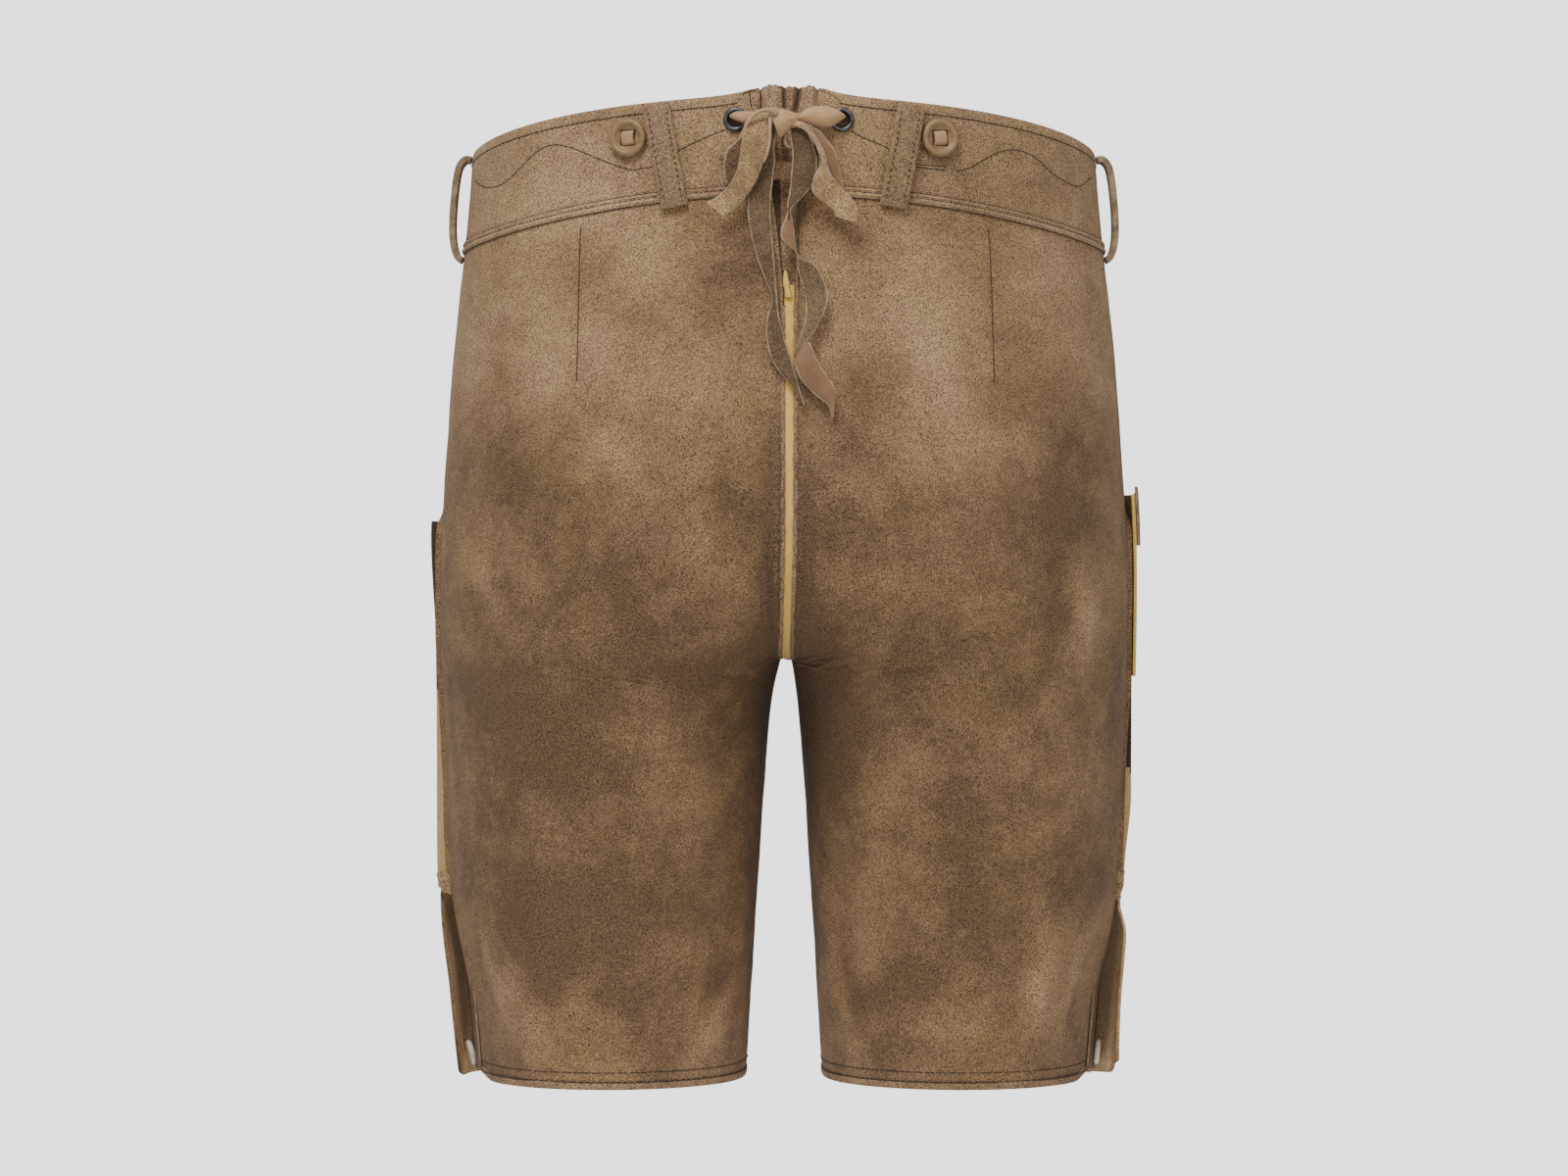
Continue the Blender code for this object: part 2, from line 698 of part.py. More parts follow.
def collection(name):
    """A new collection in the scene."""
    made = bpy.data.collections.new(name)
    bpy.context.scene.collection.children.link(made)
    return made


def add(name, mesh, finish, smooth=50.0):
    """An object of the garment, with a material of its own."""
    made = bpy.data.objects.new(name, mesh)
    material = bpy.data.materials.new(name)
    material.use_nodes = True
    shader = material.node_tree.nodes["Principled BSDF"]
    shader.inputs["Base Color"].default_value = finish.colour
    shader.inputs["Roughness"].default_value = finish.roughness
    shader.inputs["Metallic"].default_value = finish.metallic
    mesh.materials.append(material)
    mesh.shade_smooth()
    mesh.set_sharp_from_angle(angle=math.radians(smooth))
    GARMENT.objects.link(made)
    return made


def grid_faces(builder, grid, flip=False):
    """Quads between the rows of a grid of vertices."""
    for upper, lower in zip(grid, grid[1:]):
        for k in range(len(upper) - 1):
            corners = [upper[k], upper[k + 1], lower[k + 1], lower[k]]
            builder.faces.new(corners[::-1] if flip else corners)


def wall(name, outer, inner, finish):
    """A closed wall between two grids of points with the same rows and columns."""
    builder = bmesh.new()
    faces = [[[builder.verts.new(p) for p in row] for row in grid] for grid in (outer, inner)]
    grid_faces(builder, faces[0])
    grid_faces(builder, faces[1], flip=True)
    rims = []
    for grid in faces:
        left = [row[0] for row in grid]
        right = [row[-1] for row in grid]
        rims.append(grid[0] + right[1:] + grid[-1][::-1][1:] + left[::-1][1:-1])
    for k, (a, b) in enumerate(zip(*rims)):
        after = (k + 1) % len(rims[0])
        builder.faces.new((a, b, rims[1][after], rims[0][after]))
    bmesh.ops.recalc_face_normals(builder, faces=builder.faces)
    mesh = bpy.data.meshes.new(name)
    builder.to_mesh(mesh)
    builder.free()
    return add(name, mesh, finish)


def spread(start, end, count):
    """Evenly spaced values from start to end."""
    return [start + (end - start) * k / (count - 1) for k in range(count)]


def smooth_line(points, steps):
    """Points along a Catmull-Rom curve through the given tuples."""
    line = []
    for k in range(len(points) - 1):
        around = [points[min(max(k + d, 0), len(points) - 1)] for d in (-1, 0, 1, 2)]
        for step in range(steps):
            t = step / steps
            weights = (
                -0.5 * t + t * t - 0.5 * t**3,
                1 - 2.5 * t * t + 1.5 * t**3,
                0.5 * t + 2 * t * t - 1.5 * t**3,
                -0.5 * t * t + 0.5 * t**3,
            )
            line.append([sum(w * p[c] for w, p in zip(weights, around)) for c in range(len(points[0]))])
    line.append(list(points[-1]))
    return line


def strap(name, middles, across, thickness, finish, crown=0.0):
    """A strap: three points across at each middle, with a wall of the given thickness."""
    builder = bmesh.new()
    rows = []
    for k, (middle, reach) in enumerate(zip(middles, across)):
        along = middles[min(k + 1, len(middles) - 1)] - middles[max(k - 1, 0)]
        face = reach.cross(along).normalized()
        points = (middle - reach, middle + face * crown, middle + reach)
        rows.append([builder.verts.new(p) for p in points])
    grid_faces(builder, rows)
    mesh = bpy.data.meshes.new(name)
    builder.to_mesh(mesh)
    builder.free()
    made = add(name, mesh, finish)
    shell = made.modifiers.new("leather", "SOLIDIFY")
    shell.thickness = thickness
    shell.offset = 0.0
    shell.use_even_offset = True
    return made


def turned(name, outline, steps, place, finish, closed=False):
    """A turned piece: an outline in the XZ plane, screwed round its own Z, set at a place."""
    builder = bmesh.new()
    points = [builder.verts.new((radius, 0, height)) for radius, height in outline]
    for a, b in zip(points, points[1:] + points[:1] * closed):
        builder.edges.new((a, b))
    mesh = bpy.data.meshes.new(name)
    builder.to_mesh(mesh)
    builder.free()
    made = add(name, mesh, finish)
    screw = made.modifiers.new("turned", "SCREW")
    screw.steps = screw.render_steps = steps
    screw.use_merge_vertices = True
    screw.merge_threshold = 0.00001
    made.matrix_world = place
    return made


def seat_at(point, normal):
    """A place whose own Z is the given normal and whose own Y points up the leather."""
    out = normal.normalized()
    up = (Vector((0, 0, 1)) - out * out.z).normalized()
    turn = Matrix((up.cross(out), up, out)).transposed().to_4x4()
    return Matrix.Translation(point) @ turn


def outward(place, *where):
    """The outward direction of back() or front() at an X and a height."""
    return place(*where, 0.001) - place(*where)


# Panels --------------------------------------------------------------------------------------


def columns(first, last, height, count):
    """Angles across a panel, with narrow columns for the raw edge and its foot at each end."""
    way = 1 if last > first else -1
    at_first = way / speed(first, height)
    at_last = way / speed(last, height)
    start = first + (RAW_EDGE + EDGE_FOOT) * at_first
    end = last - (RAW_EDGE + EDGE_FOOT) * at_last
    inside = spread(start, end, count)
    return [first, first + RAW_EDGE * at_first, *inside, last - RAW_EDGE * at_last, last]


def outseam_edge(face, height):
    """Angle of a panel's edge at the outseam, or at the knee slit below it."""
    turn = outseam(height, "turn")
    if face < 0 and height < KNEE_SLIT_TOP:
        share = min(1.0, (KNEE_SLIT_TOP - height) / FRONT_SLIT_SLOPE)
        return turn + (FRONT_SLIT_EDGE - turn) * share
    sewn = KNEE_SLIT_TOP <= height <= WELT_TOP
    half = OUTSEAM_WELT / 2 + GAP if sewn else GAP / 2
    return turn + face * half / speed(turn, height)


def inner_angle(face, side, height, closing):
    """Angle of a panel's edge at the seat seam, the front edge or the inseam."""
    if height <= closing:
        return face * (180 - GAP / 2 / speed(180, height))
    edge = seat_edge(side, height) if face > 0 else front_edge(side, height)
    return face * angle_at(side, edge, height)


def fan(height, end, away, fanned):
    """Height of a row some degrees away from its end at the seat seam, where rows may part."""
    if not fanned:
        return height
    share = min(1.0, max(0.0, (away - SEAM_STRIP) / ARCH_FAN))
    return end + (height - end) * share * share * (3 - 2 * share)


def panel(name, side, face, trunk_rows, count):
    """A back or front panel: waist seam to hem, outseam to the middle and down the inseam."""
    seam_x = seam_middle(CROTCH) + side * (SEAT_WELT_HALF + GAP)
    closing = closing_height(side, seam_x)
    arch_ends = [closing + share * (FORK_ROWS[-1] - closing) for share in ARCH_SHARES]
    levels = (WAIST_SEAM_SIDE - GAP / 2, *trunk_rows, *FORK_ROWS, *ARCH_ROWS, *LEG_ROWS, HEM_SEAM)
    last_sewn = FRONT_WELT_END if face < 0 else SLIT_END
    outer, inner = [], []
    for level in levels:
        low = arch_ends[ARCH_ROWS.index(level)] if level in ARCH_ROWS else level
        first = outseam_edge(face, level)
        end = low
        for _ in range(3):
            last = inner_angle(face, side, end, closing + TIE / 2)
            end = row_height(low, last)
        angles = columns(first, last, end, count)
        heights = [fan(row_height(level, a), end, abs(last - a), level != low) for a in angles]
        raw = outseam(level, "raw_edge") * (KNEE_SLIT_TOP <= level <= WELT_TOP)
        ridge = SEAT_RIDGE * (closing - TIE <= end < last_sewn)
        lifts = [raw, raw, *[0.0] * count]
        places = list(zip(angles, heights))
        row = [body(side, *place, lift) for place, lift in zip(places, lifts)]
        row += [stand(side, *place, ridge) for place in places[-2:]]
        outer.append(row)
        inner.append([body(side, *place, -WALL) for place in places])
    return wall(name, outer, inner, SUEDE)


def waist_angles(side, face, last_x, height=None):
    """Angles across a quarter of the waistband, at the columns of the panel under it."""
    count = BACK_COLUMNS if face > 0 else FRONT_COLUMNS
    level = waist_seam(face * 90)
    edge = SLIT_HALF_LEFT if side == LEFT else -SLIT_HALF_RIGHT
    panel_end = face * angle_at(side, edge if face > 0 else last_x, level)
    inside = columns(face * GAP / 2 / speed(0, 0), panel_end, level, count)
    inside = inside[2:-3] if face > 0 else inside[2:-2]
    last = face * angle_at(side, last_x, height if height is not None else level)
    return [face * GAP / 2 / speed(0, 0), *inside, last]


def band(name, side, face, last_x):
    """Half of the back or front of the waistband."""
    outer, inner = [], []
    for share in BAND_ROWS:
        angles = waist_angles(side, face, last_x, waist_seam(face * 90) + share * BAND_TALL)
        heights = [
            waist_seam(a) + GAP / 2 + share * (band_top(a) - waist_seam(a) - GAP / 2)
            for a in angles
        ]
        outer.append([body(side, a, h) for a, h in zip(angles, heights)])
        inner.append([body(side, a, h, -BAND_WALL) for a, h in zip(angles, heights)])
    return wall(name, outer, inner, SUEDE)


def waist_strip(name, side, face, last_x):
    """The piped strip over the waist seam: two thin ridges."""
    angles = waist_angles(side, face, last_x)
    outer = [[body(side, a, waist_seam(a) + dz, out) for a in angles] for dz, out in WAIST_STRIP]
    inner = [[body(side, a, waist_seam(a) + dz, GAP) for a in angles] for dz, _ in WAIST_STRIP]
    return wall(name, outer, inner, SUEDE_LIGHT)


def cut_hole(target, place, radius):
    """Bore a round hole through a piece, along a place's own Z."""
    builder = bmesh.new()
    bmesh.ops.create_cone(
        builder, cap_ends=True, segments=EYELET_STEPS, radius1=radius, radius2=radius, depth=0.02
    )
    mesh = bpy.data.meshes.new("cutter_" + target.name)
    builder.to_mesh(mesh)
    builder.free()
    cutter = bpy.data.objects.new("cutter_" + target.name, mesh)
    CUTTERS.objects.link(cutter)
    cutter.matrix_world = place
    cutter.hide_render = True
    cutter.display_type = "WIRE"
    bore = target.modifiers.new("bore", "BOOLEAN")
    bore.operation = "DIFFERENCE"
    bore.object = cutter


def waistbands():
    """The four waistband quarters, the piped strips on the waist seam, and the eyelets."""
    ends = {"left": BAND_END_LEFT, "right": -BAND_END_RIGHT}
    for word, side in SIDES.items():
        back_band = band("waistband_back_" + word, side, 1, ends[word])
        band("waistband_front_" + word, side, -1, side * GAP / 2)
        waist_strip("waist_piping_back_" + word, side, 1, ends[word])
        waist_strip("waist_piping_front_" + word, side, -1, side * GAP / 2)
        x = EYELETS[word]
        middle = back(x, EYELET_HEIGHT, GAP)
        place = seat_at(middle, outward(back, x, EYELET_HEIGHT))
        cut_hole(back_band, place, EYELET_HOLE)
        turned("eyelet_" + word, EYELET_RING, EYELET_STEPS, place, GUNMETAL, True)


def panels():
    """The four leather panels."""
    for word, side in SIDES.items():
        panel("back_panel_" + word, side, 1, TRUNK_ROWS_BACK, BACK_COLUMNS)
        panel("front_panel_" + word, side, -1, TRUNK_ROWS_FRONT, FRONT_COLUMNS)


# Gusset, welts and hems ----------------------------------------------------------------------


def gusset():
    """The pleated insert behind the laced opening at the centre back."""
    outer, inner = [], []
    under = -BAND_WALL - GAP
    for share in GUSSET_ROWS:
        height = GUSSET_FOOT + share * (GUSSET_TOP - GUSSET_FOOT)
        above = min(1.0, max(0.0, (height - waist_seam(90)) / PLEAT_START))
        left = seat_edge(LEFT, height) + (BAND_END_LEFT - SLIT_HALF_LEFT) * above + GUSSET_TUCK
        right = seat_edge(RIGHT, height) - (BAND_END_RIGHT - SLIT_HALF_RIGHT) * above - GUSSET_TUCK
        xs = spread(left, right, GUSSET_COLUMNS)
        outs = [under + PLEAT_DEPTH * pleat * above for pleat in GUSSET_PLEATS]
        rises = [GUSSET_BOW * pleat * (share == 1.0) for pleat in GUSSET_PLEATS]
        outer.append([back(x, height + rise, out) for x, out, rise in zip(xs, outs, rises)])
        inner.append(
            [back(x, height + rise, out - GUSSET_WALL) for x, out, rise in zip(xs, outs, rises)]
        )
    wall("back_gusset", outer, inner, SUEDE_LIGHT)


def seat_welt():
    """The welt in the seat seam, from the laced opening under the crotch to the drop front."""
    back_rows = [*SEAT_WELT_ROWS, FORK_ROWS[-1]]
    front_rows = [FORK_ROWS[-1], *[h for h in SEAT_WELT_ROWS[::-1] if h < FRONT_WELT_END]]
    front_rows.append(FRONT_WELT_END - GAP)
    rails = {}
    for side in (LEFT, RIGHT):
        low_x = seam_middle(CROTCH) + side * SEAT_WELT_HALF
        closing = closing_height(side, low_x)
        under = [closing + share * (FORK_ROWS[-1] - closing) for share in ARCH_SHARES]
        heights = [(1, h) for h in back_rows + under] + [(-1, h) for h in under[-2::-1] + front_rows]
        rails[side] = []
        for face, height in heights:
            x = seam_middle(height) + side * SEAT_WELT_HALF
            rails[side].append((face * angle_at(side, x, height), height))
    outer, inner = [], []
    for (left, left_height), (right, right_height) in zip(rails[LEFT], rails[RIGHT]):
        for grid, outs in ((outer, SEAT_WELT_OUT), (inner, (-SEAT_WELT_IN,) * 3)):
            edges = [
                (stand(LEFT, left, left_height, out), stand(RIGHT, right, right_height, out))
                for out in outs
            ]
            grid.append([edges[0][0], (edges[1][0] + edges[1][1]) / 2, edges[2][1]])
    wall("seat_welt", outer, inner, YELLOW)


def outseam_welts():
    """The standing yellow welts in the outseams."""
    half = OUTSEAM_WELT / 2
    for word, side in SIDES.items():
        outer, inner = [], []
        for height in (*FORK_ROWS, *[h for h in LEG_ROWS if h > KNEE_SLIT_TOP]):
            turn = outseam(height, "turn")
            ends = (turn + half / speed(turn, height), turn - half / speed(turn, height))
            lift = outseam(height, "welt")
            outer.append([body(side, a, height, lift) for a in ends])
            inner.append([body(side, a, height, -WALL) for a in ends])
        wall("outseam_welt_" + word, outer, inner, YELLOW)


def hems():
    """The bound hems, from the back of each knee slit round the leg to its front."""
    for word, side in SIDES.items():
        first, last = outseam_edge(1, HEM), 360 + FRONT_SLIT_EDGE
        angles = [a if a <= 180 else a - 360 for a in spread(first, last, HEM_COLUMNS)]
        rows = (HEM_SEAM - GAP, (HEM_SEAM + HEM) / 2, HEM)
        swell = (HEM_OUT, HEM_OUT + HEM_SWELL, HEM_OUT)
        outer = [[body(side, a, h, out) for a in angles] for h, out in zip(rows, swell)]
        inner = [[body(side, a, h, HEM_IN) for a in angles] for h in rows]
        wall("hem_binding_" + word, outer, inner, SUEDE_LIGHT)


# Knee slits ----------------------------------------------------------------------------------


def placket_stand(word, share):
    """How far the placket's free edge stands off the leg, from its top to its foot."""
    top, middle, foot = PLACKET_STAND[word]
    if share < 0.5:
        return top + (middle - top) * math.sin(math.pi * share)
    return foot + (middle - foot) * math.sin(math.pi * share)


def knee_slits():
    """Each knee slit: the front placket that stands off, the underlap behind it, its button."""
    length = PLACKET_TOP - PLACKET_BOTTOM
    for word, side in SIDES.items():
        outer, inner = [], []
        for share in PLACKET_ROWS:
            height = PLACKET_TOP - share * length
            near_end = min(share, 1 - share) * length
            short = PLACKET_CORNER - math.sqrt(
                PLACKET_CORNER**2 - max(0.0, PLACKET_CORNER - near_end) ** 2
            )
            free = PLACKET_FREE - short * PLACKET_ROUNDING / speed(0, height)
            free_stand = placket_stand(word, share)
            outs = [PLACKET_LIFT + PLACKET_WALL + free_stand * u**PLACKET_CURL for u in PLACKET_COLUMNS]
            angles = [PLACKET_ROOT + (free - PLACKET_ROOT) * u for u in PLACKET_COLUMNS]
            outer.append([body(side, a, height, o) for a, o in zip(angles, outs)])
            inner.append([body(side, a, height, o - PLACKET_WALL) for a, o in zip(angles, outs)])
        wall("knee_placket_" + word, outer, inner, SUEDE)

        lap_out = -WALL - UNDERLAP_SINK
        angles = spread(UNDERLAP_BACK, UNDERLAP_FRONT, UNDERLAP_COLUMNS)
        heights = spread(KNEE_SLIT_TOP - UNDERLAP_DROP, HEM_SEAM + GAP, UNDERLAP_ROWS)
        outer = [[body(side, a, h, lap_out) for a in angles] for h in heights]
        inner = [[body(side, a, h, lap_out - UNDERLAP_WALL) for a in angles] for h in heights]
        wall("knee_underlap_" + word, outer, inner, SUEDE_DARK)

        spot = (side, KNEE_BUTTON_ANGLE, KNEE_BUTTON_HEIGHT)
        place = seat_at(body(*spot, lap_out + GAP), body(*spot, 0.001) - body(*spot))
        turned("knee_button_" + word, HORN_BUTTON, TURNED_STEPS, place, IVORY_HORN)


# Straps, buttons and lace --------------------------------------------------------------------


def laid_strap(name, stations, thickness, finish, steps, crown=0.0, mirror=1):
    """A strap along stations on the garment's back."""
    middles, across = [], []
    line = smooth_line([tuple(s) for s in stations], steps)
    for x, height, out, width, roll in line:
        middles.append(back(x * mirror, height, out))
        across.append((width, math.radians(roll) * mirror))
    reaches = []
    for k, (width, roll) in enumerate(across):
        along = (middles[min(k + 1, len(middles) - 1)] - middles[max(k - 1, 0)]).normalized()
        x, height = line[k][0] * mirror, line[k][1]
        level = along.cross(outward(back, x, height)).normalized()
        level = Matrix.Rotation(roll, 3, along) @ level
        reaches.append(level * width / 2)
    return strap(name, middles, reaches, thickness, finish, crown)


def belt_loops():
    """Two belt loops on the back of the waistband, and one that bows out at each side."""
    for word, side in SIDES.items():
        laid_strap(
            "belt_loop_back_" + word, BACK_LOOP, LOOP_WALL, SUEDE_LIGHT, 1, 0.0, side
        )
        line = smooth_line(SIDE_LOOP_PATH, 2)
        middles = [body(side, 0, height, out) for height, out in line]
        reach = [Vector((0, SIDE_LOOP_WIDTH / 2, 0))] * len(middles)
        strap("belt_loop_side_" + word, middles, reach, SIDE_LOOP_WALL, SUEDE_LIGHT)


def brace_button(name, place):
    """A brace button with a rectangular window, and the leather tab that holds it."""
    button = turned(name, BRACE_BUTTON, TURNED_STEPS, place, OLIVE_HORN)
    builder = bmesh.new()
    bmesh.ops.create_cube(builder, size=1.0)
    bmesh.ops.scale(builder, vec=(*BRACE_WINDOW, 0.02), verts=builder.verts)
    mesh = bpy.data.meshes.new("cutter_" + name)
    builder.to_mesh(mesh)
    builder.free()
    window = bpy.data.objects.new("cutter_" + name, mesh)
    CUTTERS.objects.link(window)
    window.matrix_world = place
    window.hide_render = True
    window.display_type = "WIRE"
    cut = button.modifiers.new("window", "BOOLEAN")
    cut.operation = "DIFFERENCE"
    cut.object = window
    middles = [place @ Vector((0, along, out)) for along, out in BRACE_TAB_PATH]
    reach = place.to_3x3() @ Vector((BRACE_TAB_WIDTH / 2, 0, 0))
    strap(
        name.replace("button", "tab"), middles, [reach] * len(middles), TAB_WALL, TAN
    )


def buttons():
    """The brace buttons on the back of the waistband."""
    x, height = BRACE_BUTTON_PLACE
    for word, side in SIDES.items():
        place = seat_at(back(side * x, height, GAP), outward(back, side * x, height))
        brace_button("brace_button_" + word, place)


def on_knot(station):
    """A station pulled in along the line to the knot's middle, to lie against the knot."""
    away = [a - c for a, c in zip(station[:3], KNOT_CENTRE)]
    share = 1 / math.hypot(*[a / r for a, r in zip(away, KNOT_RADII)])
    share += KNOT_GAP / math.hypot(*away)
    place = [c + a * share for a, c in zip(away, KNOT_CENTRE)]
    return Station(*place, station.width, station.roll)


def lace():
    """The flat lace: its stretches to the eyelets, its knot and its free ends."""
    for name, stations in LACE.items():
        line = list(stations)
        if name not in KNOT_FREE:
            at_knot = -1 if "stretch" in name else 0
            line[at_knot] = on_knot(line[at_knot])
        laid_strap(name, line, LACE_WALL, TAN, LACE_STEPS, LACE_CROWN)
    builder = bmesh.new()
    bmesh.ops.create_uvsphere(builder, u_segments=16, v_segments=10, radius=1.0)
    wide, tall, deep = KNOT_RADII
    bmesh.ops.scale(builder, vec=(wide, deep, tall), verts=builder.verts)
    bmesh.ops.translate(builder, vec=back(*KNOT_CENTRE), verts=builder.verts)
    mesh = bpy.data.meshes.new("lace_knot")
    builder.to_mesh(mesh)
    builder.free()
    add("lace_knot", mesh, TAN)


# Pocket and drop front -----------------------------------------------------------------------


def pocket_out(across, share):
    """How far the knife pocket's outer face stands off the leg."""
    belly = math.sin(math.pi * min(1.0, across * POCKET_BELLY_REACH)) ** POCKET_BELLY_POWER
    stand_off = POCKET_STAND * belly * (1 - POCKET_FLATTENING * share)
    return POCKET_CLEAR * (1 - across) ** 2 + GAP + stand_off


def knife_pocket():
    """The knife pocket on the wearer's right leg: pouch, flap and the yellow welt at its back."""
    side = RIGHT
    tall = POCKET_TOP - POCKET_BOTTOM
    outer, inner, welt_outer, welt_inner = [], [], [], []
    for share in POCKET_ROWS:
        height = POCKET_TOP - share * tall
        start, end = POCKET_BACK, POCKET_FRONT + POCKET_NARROWING * share**2
        angles = [start + (end - start) * u for u in POCKET_COLUMNS]
        outs = [pocket_out(u, share) + WALL for u in POCKET_COLUMNS]
        outer.append([body(side, a, height, o) for a, o in zip(angles, outs)])
        inner.append([body(side, a, height, o - WALL) for a, o in zip(angles, outs)])
        near = start + GAP / speed(0, height)
        far = near + POCKET_WELT / speed(0, height)
        welt_outer.append([body(side, a, height, outs[0] + POCKET_WELT_OUT) for a in (far, near)])
        welt_inner.append([body(side, a, height, outs[0] - WALL) for a in (far, near)])
    wall("knife_pocket", outer, inner, SUEDE)
    wall("knife_pocket_welt", welt_outer, welt_inner, YELLOW)
    outer, inner = [], []
    for share in POCKET_FLAP_ROWS:
        height = POCKET_TOP - share * tall
        angles = [POCKET_BACK + (POCKET_FRONT - POCKET_BACK) * u for u in POCKET_COLUMNS]
        angles[0] += POCKET_FLAP_STEP
        base = [pocket_out(u, max(0.0, share)) + WALL + GAP for u in POCKET_COLUMNS]
        outs = [max(b, POCKET_FLAP_CLEAR) + GAP for b in base]
        outer.append([body(side, a, height, o + WALL) for a, o in zip(angles, outs)])
        inner.append([body(side, a, height, o) for a, o in zip(angles, outs)])
    wall("knife_pocket_flap", outer, inner, SUEDE)


def front_flap():
    """The plain drop front, with its two horn buttons."""
    outer, inner = [], []
    for share in FLAP_ROWS:
        height = FRONT_FLAP_TOP + share * (FLAP_END - FRONT_FLAP_TOP)
        half = FRONT_FLAP_HALF_TOP + share * (FRONT_FLAP_HALF_FOOT - FRONT_FLAP_HALF_TOP)
        over_piping = PIPING_OUT * (height > waist_seam(-90) - PIPING_BELOW) + GAP
        xs = spread(half, -half, FLAP_COLUMNS)
        outer.append([front(x, height, over_piping + WALL) for x in xs])
        inner.append([front(x, height, over_piping) for x in xs])
    wall("drop_front", outer, inner, SUEDE)
    x, height = FLAP_BUTTON
    for word, side in SIDES.items():
        out = PIPING_OUT + GAP * 2 + WALL
        place = seat_at(front(side * x, height, out), outward(front, side * x, height))
        turned(
            "drop_front_button_" + word, HORN_BUTTON, TURNED_STEPS, place, IVORY_HORN
        )


clear_scene()
GARMENT = collection("lederhosen")
CUTTERS = collection("cutters")
panels()
waistbands()
gusset()
seat_welt()
outseam_welts()
hems()
knee_slits()
belt_loops()
buttons()
lace()
knife_pocket()
front_flap()
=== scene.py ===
"""The looks of a pair of suede lederhosen: leather shells, sewing, lace, buttons and light.

Each solid of the garment is dressed with a smooth shell of its own form, and the sewing, the
nap, the knotted lace and the turned buttons are added to it. Lengths are in metres and angles
in degrees. The wearer faces -Y, and +X is the wearer's left.
"""

import json
import logging
import math
import random
from collections.abc import Callable, Iterable, Sequence
from dataclasses import dataclass, field

